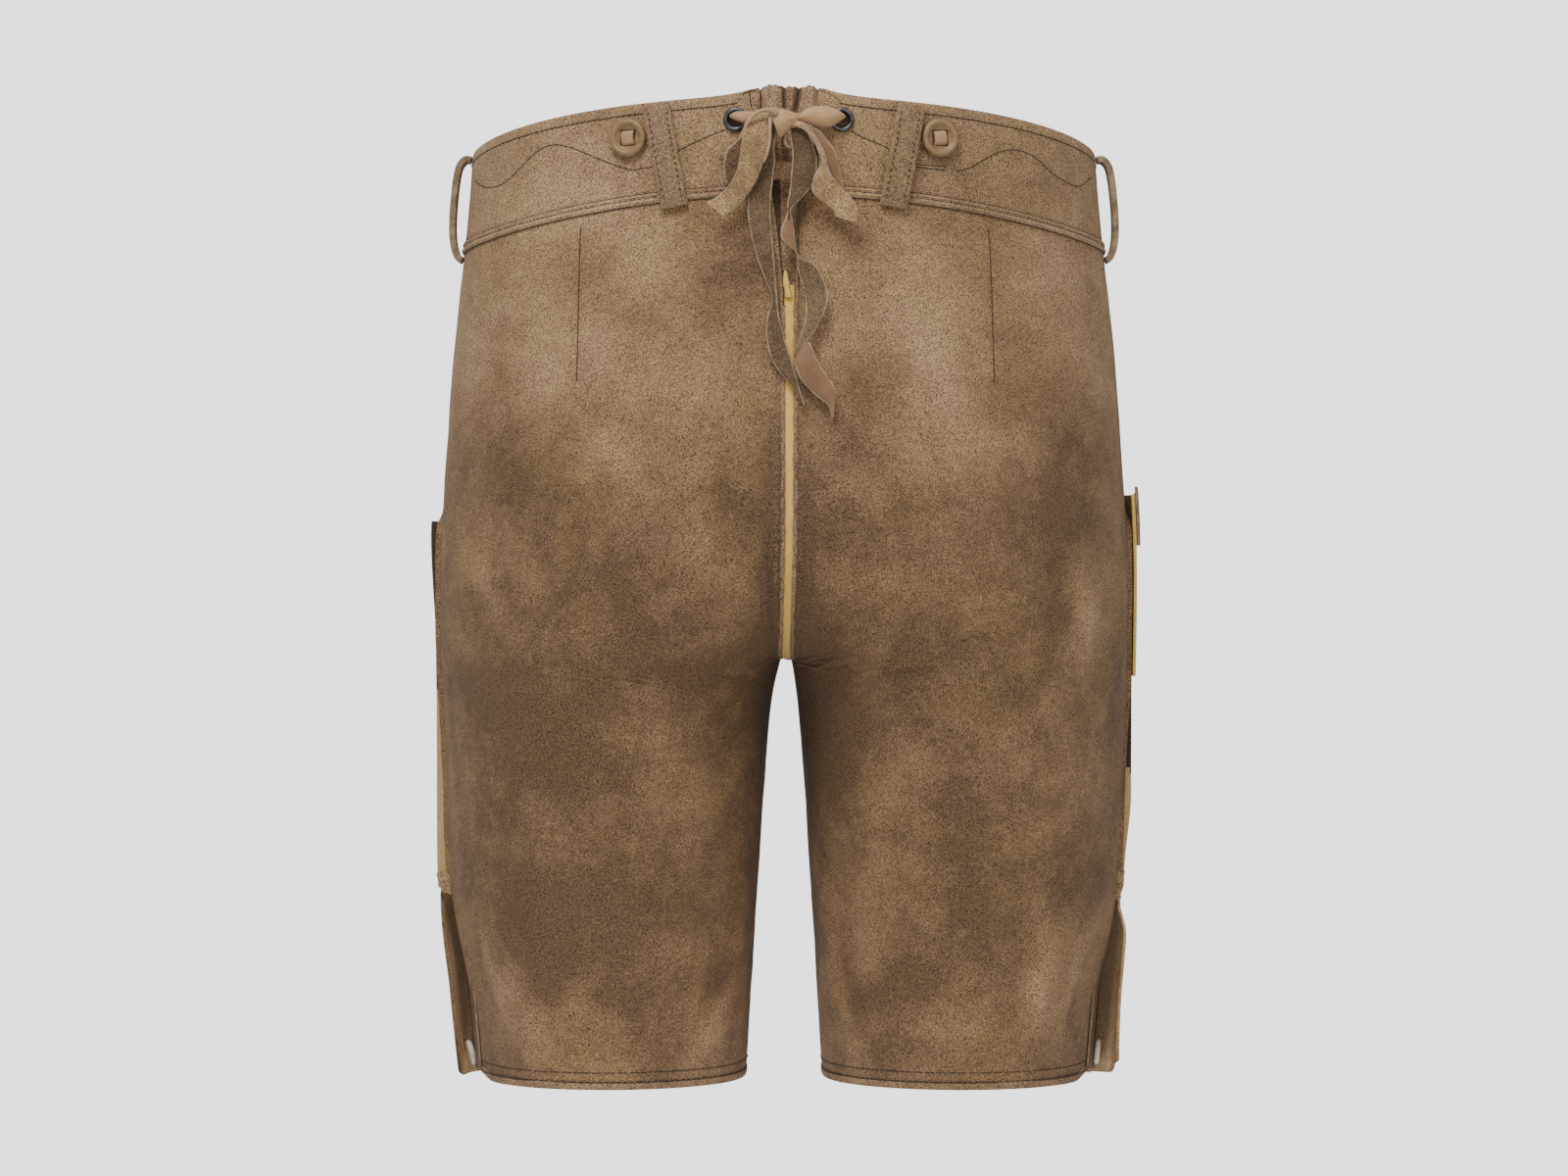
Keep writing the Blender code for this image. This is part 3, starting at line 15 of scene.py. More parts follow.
import bmesh
import bpy
import numpy as np
from mathutils import Matrix, Vector, noise
from mathutils.bvhtree import BVHTree
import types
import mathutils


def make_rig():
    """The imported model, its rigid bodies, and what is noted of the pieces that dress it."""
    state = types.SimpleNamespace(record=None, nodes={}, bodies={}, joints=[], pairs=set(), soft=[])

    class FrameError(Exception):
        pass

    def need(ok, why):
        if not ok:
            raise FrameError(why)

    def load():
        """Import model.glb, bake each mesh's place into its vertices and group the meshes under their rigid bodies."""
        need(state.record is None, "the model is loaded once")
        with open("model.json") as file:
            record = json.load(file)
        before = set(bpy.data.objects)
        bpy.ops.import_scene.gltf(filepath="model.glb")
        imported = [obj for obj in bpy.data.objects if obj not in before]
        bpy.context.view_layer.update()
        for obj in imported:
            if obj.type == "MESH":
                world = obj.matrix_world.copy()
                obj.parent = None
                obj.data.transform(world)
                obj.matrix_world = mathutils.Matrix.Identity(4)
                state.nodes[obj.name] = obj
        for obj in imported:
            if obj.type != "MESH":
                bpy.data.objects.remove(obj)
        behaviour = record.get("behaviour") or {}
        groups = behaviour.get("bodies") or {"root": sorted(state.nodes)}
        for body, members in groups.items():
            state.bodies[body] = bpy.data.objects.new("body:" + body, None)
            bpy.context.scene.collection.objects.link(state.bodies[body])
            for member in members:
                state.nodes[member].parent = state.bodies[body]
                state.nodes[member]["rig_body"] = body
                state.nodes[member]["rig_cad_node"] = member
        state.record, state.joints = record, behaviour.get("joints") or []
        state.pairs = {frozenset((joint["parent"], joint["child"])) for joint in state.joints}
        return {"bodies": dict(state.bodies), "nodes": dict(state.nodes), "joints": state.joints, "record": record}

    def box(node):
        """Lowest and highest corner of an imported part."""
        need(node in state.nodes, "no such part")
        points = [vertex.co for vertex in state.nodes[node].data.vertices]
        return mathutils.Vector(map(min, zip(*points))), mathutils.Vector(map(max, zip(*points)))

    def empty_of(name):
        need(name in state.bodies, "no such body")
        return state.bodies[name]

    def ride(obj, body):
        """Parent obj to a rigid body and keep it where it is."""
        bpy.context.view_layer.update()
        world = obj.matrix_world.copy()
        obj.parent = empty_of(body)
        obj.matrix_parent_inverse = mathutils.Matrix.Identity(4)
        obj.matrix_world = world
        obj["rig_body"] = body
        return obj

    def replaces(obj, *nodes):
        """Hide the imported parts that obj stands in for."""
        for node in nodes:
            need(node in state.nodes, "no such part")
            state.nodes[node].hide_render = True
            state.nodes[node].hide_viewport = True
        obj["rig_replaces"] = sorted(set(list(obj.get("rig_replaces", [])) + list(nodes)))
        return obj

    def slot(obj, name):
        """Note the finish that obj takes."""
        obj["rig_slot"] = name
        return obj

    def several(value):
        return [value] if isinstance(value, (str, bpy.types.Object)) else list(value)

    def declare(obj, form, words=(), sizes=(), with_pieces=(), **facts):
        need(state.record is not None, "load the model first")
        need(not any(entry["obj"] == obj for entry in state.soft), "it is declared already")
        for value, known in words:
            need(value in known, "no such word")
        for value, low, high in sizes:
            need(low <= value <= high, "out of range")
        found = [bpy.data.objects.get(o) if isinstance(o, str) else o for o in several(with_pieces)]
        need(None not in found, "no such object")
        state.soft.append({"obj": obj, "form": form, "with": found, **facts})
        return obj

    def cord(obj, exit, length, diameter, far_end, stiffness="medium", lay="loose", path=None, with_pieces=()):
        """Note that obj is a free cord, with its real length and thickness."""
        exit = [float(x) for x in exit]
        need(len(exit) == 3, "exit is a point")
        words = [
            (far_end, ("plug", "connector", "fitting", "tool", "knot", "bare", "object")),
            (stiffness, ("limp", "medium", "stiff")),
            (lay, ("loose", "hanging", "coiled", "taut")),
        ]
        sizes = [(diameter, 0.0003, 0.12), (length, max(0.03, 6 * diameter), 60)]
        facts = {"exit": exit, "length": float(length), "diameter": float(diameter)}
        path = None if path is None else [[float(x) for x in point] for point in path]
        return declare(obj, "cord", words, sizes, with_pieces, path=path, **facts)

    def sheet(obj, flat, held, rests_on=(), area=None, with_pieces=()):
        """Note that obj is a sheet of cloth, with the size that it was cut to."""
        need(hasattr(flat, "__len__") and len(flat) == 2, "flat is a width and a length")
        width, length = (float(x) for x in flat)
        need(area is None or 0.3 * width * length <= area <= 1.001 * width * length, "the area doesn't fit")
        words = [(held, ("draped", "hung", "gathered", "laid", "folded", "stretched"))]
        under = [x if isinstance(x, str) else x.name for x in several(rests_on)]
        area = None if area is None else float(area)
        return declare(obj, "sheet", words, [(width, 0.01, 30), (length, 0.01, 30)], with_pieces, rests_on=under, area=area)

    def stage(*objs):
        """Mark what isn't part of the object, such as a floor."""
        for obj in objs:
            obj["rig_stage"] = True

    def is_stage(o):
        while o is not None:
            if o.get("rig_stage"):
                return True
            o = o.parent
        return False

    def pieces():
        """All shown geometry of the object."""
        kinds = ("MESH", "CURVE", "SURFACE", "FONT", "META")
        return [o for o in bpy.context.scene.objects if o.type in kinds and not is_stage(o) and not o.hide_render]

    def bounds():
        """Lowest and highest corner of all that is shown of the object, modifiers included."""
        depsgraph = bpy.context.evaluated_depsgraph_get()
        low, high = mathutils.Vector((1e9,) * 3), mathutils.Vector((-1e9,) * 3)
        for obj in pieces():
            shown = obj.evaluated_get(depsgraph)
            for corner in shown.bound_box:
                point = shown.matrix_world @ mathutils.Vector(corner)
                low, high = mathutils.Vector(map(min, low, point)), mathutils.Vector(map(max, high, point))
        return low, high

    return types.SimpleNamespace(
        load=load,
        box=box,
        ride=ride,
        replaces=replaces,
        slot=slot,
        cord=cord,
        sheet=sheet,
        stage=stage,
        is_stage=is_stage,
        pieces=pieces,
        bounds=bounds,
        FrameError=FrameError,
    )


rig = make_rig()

Colour = tuple[float, float, float]
Point = tuple[float, float, float]

BODY = "root"
SIZES = "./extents.json"
SIDES = {"left": 1, "right": -1}
LEG_MIDDLE = 0.1  # x of a leg's middle
SEED = 1912
LOG = logging.getLogger("lederhosen")


@dataclass(frozen=True)
class View:
    """Where the camera stands, and how its frame of 1600 x 1200 pixels lies on the garment."""

    place: Point = (0.0, 2.7, -0.229)
    column: float = 799.5  # the frame's middle
    row: float = 600.0
    pixel: float = 0.00058  # a pixel's breadth where y is 0

    def spot(self, column: float, row: float, y: float) -> Point:
        """The place that shows at a pixel, at a given depth.

        Args:
            column: the pixel's column.
            row: the pixel's row.
            y: the depth, in metres.

        Returns:
            The place.
        """
        near = self.pixel * (self.place[1] - y) / self.place[1]
        return (self.column - column) * near, y, self.place[2] + (self.row - row) * near


VIEW = View()


# Finishes ------------------------------------------------------------------------------------


class Painter:
    """Builds a material's nodes from short calls."""

    def __init__(self, name: str) -> None:
        """Starts a material with one Principled shader.

        Args:
            name: the material's name.
        """
        self.material = bpy.data.materials.new(name)
        self.material.use_nodes = True
        self.tree = self.material.node_tree
        self.shader = self.tree.nodes["Principled BSDF"]
        coordinates = self.tree.nodes.new("ShaderNodeTexCoord")
        self.place = coordinates.outputs["Object"]

    def join(self, source: object, socket: bpy.types.NodeSocket) -> None:
        """Links a socket to another, or sets its value.

        Args:
            source: an output socket, a number or a colour.
            socket: the input socket that takes it.
        """
        if isinstance(source, bpy.types.NodeSocket):
            self.tree.links.new(source, socket)
        elif isinstance(source, tuple):
            socket.default_value = (*source, 1.0)[:4]
        else:
            socket.default_value = source

    def stretched(self, scale: Point) -> bpy.types.NodeSocket:
        """Coordinates scaled along each axis.

        Args:
            scale: the factor along X, Y and Z.

        Returns:
            The scaled coordinates.
        """
        mapping = self.tree.nodes.new("ShaderNodeMapping")
        self.join(self.place, mapping.inputs["Vector"])
        mapping.inputs["Scale"].default_value = scale
        return mapping.outputs["Vector"]

    def clouds(
        self,
        size: float,
        detail: float = 2.0,
        roughness: float = 0.5,
        place: bpy.types.NodeSocket | None = None,
    ) -> bpy.types.NodeSocket:
        """A noise with features about a given size.

        Args:
            size: the size of a feature, in metres.
            detail: how many finer layers it has.
            roughness: how strong the finer layers are.
            place: the coordinates to use, or None for the object's own.

        Returns:
            The noise, from 0 to 1.
        """
        texture = self.tree.nodes.new("ShaderNodeTexNoise")
        self.join(place or self.place, texture.inputs["Vector"])
        texture.inputs["Scale"].default_value = 1.0 / size
        texture.inputs["Detail"].default_value = detail
        texture.inputs["Roughness"].default_value = roughness
        return texture.outputs["Fac"]

    def tone(self) -> bpy.types.NodeSocket:
        """The shell's tone: its own soft patches with the painted light and shade laid on them, from -1 for dark to 1
        for light.
        """
        attribute = self.tree.nodes.new("ShaderNodeAttribute")
        attribute.attribute_name = "tone"
        return attribute.outputs["Fac"]

    def maths(self, kind: str, first: object, second: object) -> bpy.types.NodeSocket:
        """Works out one value from two.

        Args:
            kind: the operation, as Blender names it.
            first: a socket or number.
            second: a socket or number.

        Returns:
            The result.
        """
        node = self.tree.nodes.new("ShaderNodeMath")
        node.operation = kind
        self.join(first, node.inputs[0])
        self.join(second, node.inputs[1])
        return node.outputs[0]

    def spread(
        self, value: bpy.types.NodeSocket, low: float, high: float, start: float, end: float
    ) -> bpy.types.NodeSocket:
        """Maps a value from one range to another and clamps it.

        Args:
            value: the value to map.
            low: the value that gives the start.
            high: the value that gives the end.
            start: the result at the low end.
            end: the result at the high end.

        Returns:
            The mapped value.
        """
        node = self.tree.nodes.new("ShaderNodeMapRange")
        self.join(value, node.inputs["Value"])
        for socket, number in (
            ("From Min", low), ("From Max", high), ("To Min", start), ("To Max", end),
        ):
            node.inputs[socket].default_value = number
        return node.outputs["Result"]

    def shades(
        self, value: bpy.types.NodeSocket, steps: Sequence[tuple[float, Colour]]
    ) -> bpy.types.NodeSocket:
        """Turns a value into a colour.

        Args:
            value: the value, from 0 to 1.
            steps: a place and its colour, in order.

        Returns:
            The colour.
        """
        node = self.tree.nodes.new("ShaderNodeValToRGB")
        ramp = node.color_ramp
        for k, (at, colour) in enumerate(steps):
            element = ramp.elements[k] if k < 2 else ramp.elements.new(at)
            element.position = at
            element.color = (*colour, 1.0)
        self.join(value, node.inputs["Fac"])
        return node.outputs["Color"]

    def blend(self, share: object, first: object, second: object, kind: str = "MIX") -> object:
        """Mixes two colours.

        Args:
            share: how much of the second shows.
            first: a colour or socket.
            second: a colour or socket.
            kind: the way they mix, as Blender names it.

        Returns:
            The mixed colour's socket.
        """
        node = self.tree.nodes.new("ShaderNodeMix")
        node.data_type = "RGBA"
        node.blend_type = kind
        self.join(share, node.inputs[0])
        self.join(first, node.inputs[6])
        self.join(second, node.inputs[7])
        return node.outputs[2]

    def relief(self, height: bpy.types.NodeSocket, depth: float) -> None:
        """Adds a layer of bump under those already there.

        Args:
            height: the height, from 0 to 1.
            depth: how deep it goes, in metres.
        """
        node = self.tree.nodes.new("ShaderNodeBump")
        node.inputs["Distance"].default_value = depth
        self.join(height, node.inputs["Height"])
        normal = self.shader.inputs["Normal"]
        for link in list(normal.links):
            self.join(link.from_socket, node.inputs["Normal"])
        self.join(node.outputs["Normal"], normal)

    def finish(
        self,
        colour: object,
        roughness: object,
        sheen: float = 0.0,
        coat: float = 0.0,
        metallic: float = 0.0,
        sheen_tint: Colour = (1.0, 0.9, 0.78),
    ) -> bpy.types.Material:
        """Sets the shader's sockets.

        Args:
            colour: the base colour or its socket.
            roughness: a number or socket.
            sheen: the weight of the nap's bloom.
            coat: the weight of a polished coat.
            metallic: the share of metal.
            sheen_tint: the bloom's colour.

        Returns:
            The finished material.
        """
        self.join(colour, self.shader.inputs["Base Color"])
        self.join(roughness, self.shader.inputs["Roughness"])
        self.shader.inputs["Sheen Weight"].default_value = sheen
        self.shader.inputs["Sheen Roughness"].default_value = 0.45
        self.shader.inputs["Sheen Tint"].default_value = (*sheen_tint, 1.0)
        self.shader.inputs["Coat Weight"].default_value = coat
        self.shader.inputs["Coat Roughness"].default_value = 0.25
        self.shader.inputs["Metallic"].default_value = metallic
        return self.material


@dataclass(frozen=True)
class Suede:
    """Napped leather: soft patches, mottling, a fine speckle, the bloom of the nap, and painted shade where the tone
    is very low.
    """

    name: str
    light: Colour
    middle: Colour
    dark: Colour
    cool: Colour = (0.93, 0.95, 0.85)
    patch: float = 0.060
    mottle: float = 0.020
    nap: float = 0.0052
    speckle: float = 0.0008
    contrast: float = 1.0
    bite: float = 1.0
    sheen: float = 0.03

    def material(self) -> bpy.types.Material:
        """The finish as a material."""
        paint = Painter(self.name)
        patches = paint.spread(paint.clouds(self.patch, 2.0), 0.3, 0.7, -0.21, 0.21)
        mottling = paint.spread(paint.clouds(self.mottle, 3.0, 0.6), 0.3, 0.7, -0.17, 0.17)
        nap = paint.clouds(self.nap, 2.0, 0.6)
        tone = paint.maths("MULTIPLY", paint.tone(), 0.42)
        level = paint.maths("ADD", paint.maths("ADD", patches, mottling), tone)
        level = paint.maths("ADD", level, paint.spread(nap, 0.3, 0.7, -0.10, 0.10))
        level = paint.maths("MULTIPLY_ADD", level, self.contrast)
        level.node.inputs[2].default_value = 0.5
        base = paint.shades(level, ((0.0, self.dark), (1.0, self.light), (0.5, self.middle)))
        hue = paint.spread(paint.clouds(0.045, 2.0), 0.40, 0.66, 0.0, 1.0)
        base = paint.blend(hue, base, paint.blend(1.0, base, self.cool, "MULTIPLY"))
        fine = paint.clouds(self.speckle, 1.0, 0.8)
        low, high = 1 - 0.74 * self.bite, 1 + 1.15 * self.bite
        base = paint.blend(1.0, base, paint.shades(
            paint.spread(fine, 0.30, 0.70, 0.0, 1.0),
            ((0.0, (low, low * 0.96, low * 0.92)), (1.0, (high, high, high * 0.97))),
        ), "MULTIPLY")
        # Painted shade: where the tone falls below -2, in deep folds and shaded rims, the colour goes towards
        # near-black.
        deep = paint.spread(paint.tone(), -4.0, -2.0, 0.0, 1.0)
        base = paint.blend(deep, (0.020, 0.013, 0.008), base)
        paint.relief(paint.clouds(self.mottle, 3.0, 0.6), 0.0009)
        paint.relief(nap, 0.00030)
        paint.relief(fine, 0.00050 * self.bite)
        return paint.finish(base, 0.92, sheen=self.sheen)


@dataclass(frozen=True)
class Grain:
    """The smooth side of the leather, with fine creases and rubbed patches."""

    name: str
    light: Colour
    dark: Colour
    roughness: float = 0.62

    def material(self) -> bpy.types.Material:
        """The finish as a material."""
        paint = Painter(self.name)
        broad = paint.clouds(0.012, 3.0, 0.6)
        colour = paint.shades(broad, ((0.3, self.dark), (0.7, self.light)))
        pores = paint.clouds(0.0009, 2.0, 0.6)
        colour = paint.blend(paint.spread(pores, 0.35, 0.6, 0.28, 0.0), colour, self.dark)
        paint.relief(paint.clouds(0.006, 3.0, 0.6), 0.0006)
        paint.relief(pores, 0.00012)
        return paint.finish(colour, paint.spread(broad, 0.3, 0.7, 0.72, self.roughness), 0.08)


@dataclass(frozen=True)
class Cut:
    """A cut edge of the leather: light fibres with a fuzzy, uneven face."""

    name: str
    light: Colour
    dark: Colour

    def material(self) -> bpy.types.Material:
        """The finish as a material."""
        paint = Painter(self.name)
        fibres = paint.clouds(0.0008, 3.0, 0.7)
        colour = paint.shades(fibres, ((0.3, self.dark), (0.65, self.light)))
        broad = paint.spread(paint.clouds(0.007, 2.0), 0.35, 0.65, 0.0, 1.0)
        tint = paint.shades(broad, ((0.0, (0.55, 0.53, 0.50)), (1.0, (1.1, 1.1, 1.1))))
        paint.relief(fibres, 0.0004)
        return paint.finish(paint.blend(1.0, colour, tint, "MULTIPLY"), 0.95, 0.2)


@dataclass(frozen=True)
class Streaked:
    """The yellow welt leather, with fine streaks along its length."""

    name: str
    light: Colour
    dark: Colour

    def material(self) -> bpy.types.Material:
        """The finish as a material."""
        paint = Painter(self.name)
        streaks = paint.clouds(0.0008, 3.0, 0.6, paint.stretched((1.0, 1.0, 0.04)))
        colour = paint.shades(streaks, ((0.28, self.dark), (0.7, self.light)))
        worn = paint.spread(paint.clouds(0.02, 2.0), 0.4, 0.65, 0.0, 0.35)
        colour = paint.blend(worn, colour, self.dark)
        paint.relief(streaks, 0.0005)
        return paint.finish(colour, 0.8, 0.12)


@dataclass(frozen=True)
class Horn:
    """Polished horn, clouded and faintly streaked."""

    name: str
    light: Colour
    dark: Colour
    roughness: float = 0.38

    def material(self) -> bpy.types.Material:
        """The finish as a material."""
        paint = Painter(self.name)
        clouds = paint.clouds(0.006, 4.0, 0.6, paint.stretched((1.0, 1.0, 2.2)))
        colour = paint.shades(clouds, ((0.3, self.dark), (0.7, self.light)))
        scratches = paint.clouds(0.0007, 3.0, 0.7)
        paint.relief(scratches, 0.00005)
        rough = paint.spread(scratches, 0.3, 0.7, self.roughness, self.roughness + 0.12)
        return paint.finish(colour, rough, coat=0.25)


@dataclass(frozen=True)
class Metal:
    """Dark metal with a worn polish."""

    name: str
    light: Colour
    dark: Colour

    def material(self) -> bpy.types.Material:
        """The finish as a material."""
        paint = Painter(self.name)
        wear = paint.clouds(0.003, 4.0, 0.65)
        colour = paint.shades(wear, ((0.35, self.dark), (0.75, self.light)))
        paint.relief(wear, 0.00006)
        return paint.finish(colour, paint.spread(wear, 0.3, 0.7, 0.22, 0.45), metallic=0.85)


@dataclass(frozen=True)
class Thread:
    """Twisted thread."""

    name: str
    light: Colour
    dark: Colour

    def material(self) -> bpy.types.Material:
        """The finish as a material."""
        paint = Painter(self.name)
        plies = paint.clouds(0.0006, 2.0, 0.6)
        colour = paint.shades(plies, ((0.35, self.dark), (0.65, self.light)))
        paint.relief(plies, 0.0002)
        return paint.finish(colour, 0.8, 0.1)


@dataclass(frozen=True)
class Plaster:
    """The studio floor's matt, faintly uneven paint."""

    name: str
    light: Colour
    dark: Colour

    def material(self) -> bpy.types.Material:
        """The finish as a material."""
        paint = Painter(self.name)
        colour = paint.shades(paint.clouds(0.5, 4.0), ((0.3, self.dark), (0.7, self.light)))
        return paint.finish(colour, 0.9)


SUEDE = Suede(
    "suede", (0.330, 0.205, 0.114), (0.222, 0.129, 0.066), (0.115, 0.064, 0.032),
)
BAND_SUEDE = Suede(
    "band_suede", (0.350, 0.219, 0.122), (0.247, 0.148, 0.079), (0.134, 0.078, 0.041),
    mottle=0.014,
)
TRIM_SUEDE = Suede(
    "trim_suede", (0.370, 0.234, 0.137), (0.265, 0.161, 0.089), (0.150, 0.086, 0.046),
    mottle=0.010,
)
INNER_SUEDE = Suede(
    "inner_suede", (0.290, 0.172, 0.092), (0.200, 0.112, 0.056), (0.110, 0.060, 0.029),
    contrast=0.6,
)
FACING_SUEDE = Suede(
    "facing_suede", (0.250, 0.148, 0.080), (0.175, 0.098, 0.051), (0.100, 0.055, 0.028),
    mottle=0.010,
)
# A much lighter copy of the facing suede, for the placket's inner face: painted light where the leg shades that face.
PAINTED_LIGHT_FACING = Suede(
    "pale_facing", (0.920, 0.640, 0.390), (0.680, 0.440, 0.250), (0.400, 0.250, 0.138),
    mottle=0.010, bite=0.7,
)
DARK_SUEDE = Suede(
    "dark_suede", (0.190, 0.112, 0.060), (0.130, 0.073, 0.038), (0.070, 0.038, 0.018),
    mottle=0.010,
)
LOOP_SUEDE = Suede(
    "loop_suede", (0.262, 0.164, 0.094), (0.188, 0.112, 0.061), (0.106, 0.060, 0.031),
    mottle=0.010,
)
# Lighter and darker copies of the same lace suede: painted light on the short ends that lie on the knot, painted shade
# on the long hanging ends.
PALE_LACE = Suede(
    "pale_lace_suede", (0.493, 0.314, 0.165), (0.312, 0.193, 0.097), (0.158, 0.093, 0.044),
    mottle=0.008, patch=0.02, bite=0.8,
)
DARK_LACE = Suede(
    "dark_lace_suede", (0.170, 0.106, 0.059), (0.108, 0.064, 0.034), (0.058, 0.033, 0.017),
    mottle=0.008, patch=0.02, bite=0.8,
)
LACE_SUEDE = Suede(
    "lace_suede", (0.320, 0.208, 0.115), (0.208, 0.130, 0.069), (0.112, 0.067, 0.034),
    mottle=0.008, patch=0.03, bite=0.8,
)
LACE_GRAIN = Grain("lace_grain", (0.620, 0.372, 0.184), (0.435, 0.246, 0.115))
LACE_ROSE = Grain("lace_rose", (0.292, 0.155, 0.073), (0.197, 0.099, 0.045))
TAB_GRAIN = Grain("tab_grain", (0.490, 0.292, 0.158), (0.357, 0.200, 0.104))
EDGE = Cut("cut_edge", (0.430, 0.300, 0.185), (0.230, 0.150, 0.086))
LACE_EDGE = Cut("lace_edge", (0.540, 0.385, 0.240), (0.280, 0.185, 0.106))
# Lit and shaded copies of the yellow welt leather: WELT is made brighter, painted light against the shade between the
# seat seam's raw edges; SIDE_WELT is a darker copy for the side welts.
WELT = Streaked("welt_leather", (0.900, 0.600, 0.150), (0.680, 0.430, 0.085))
SIDE_WELT = Streaked("side_welt", (0.600, 0.405, 0.180), (0.415, 0.260, 0.103))
WELT_SIDE = Streaked("welt_side", (0.560, 0.360, 0.140), (0.360, 0.220, 0.085))
OLIVE = Horn("olive_horn", (0.320, 0.196, 0.083), (0.214, 0.125, 0.049), 0.48)
IVORY = Horn("ivory_horn", (0.780, 0.720, 0.610), (0.640, 0.570, 0.450), 0.42)
GUNMETAL = Metal("gunmetal", (0.228, 0.234, 0.245), (0.076, 0.079, 0.085))
DARK_THREAD = Thread("dark_thread", (0.050, 0.034, 0.022), (0.018, 0.012, 0.008))
LIGHT_THREAD = Thread("light_thread", (0.420, 0.310, 0.200), (0.230, 0.160, 0.095))
# Near-black suede for the strips under the rows and in the waist slit: painted shade of the pressed grooves and of the
# slit.
GROOVE_SHADE = Suede(
    "groove_suede", (0.078, 0.050, 0.028), (0.052, 0.033, 0.018), (0.032, 0.020, 0.011),
)
# The brown raw edge on the outseam welts' top, made far darker than the suede: the raw edge's own colour with painted
# shade.
SHADED_SEAM_SUEDE = Suede(
    "seam_suede", (0.075, 0.051, 0.031), (0.046, 0.030, 0.017), (0.022, 0.014, 0.008),
    mottle=0.010,
)
RAW_EDGE = Cut("raw_edge", (0.400, 0.275, 0.170), (0.150, 0.096, 0.054))
FUZZ = Thread("fuzz", (0.520, 0.390, 0.260), (0.300, 0.210, 0.130))
FLOOR = Plaster("floor_paint", (0.930, 0.930, 0.930), (0.900, 0.900, 0.900))

_made: dict[str, bpy.types.Material] = {}


def material_of(finish: object) -> bpy.types.Material:
    """A finish's material, made the first time it is asked for.

    Args:
        finish: one of the finishes above.

    Returns:
        Its material.
    """
    if finish.name not in _made:
        _made[finish.name] = finish.material()
    return _made[finish.name]


# The lie of the leather ----------------------------------------------------------------------


@dataclass(frozen=True)
class Patch:
    """A soft light or dark place on the back or front, seen square on."""

    x: float
    z: float
    across: float
    tall: float
    turn: float
    tone: float
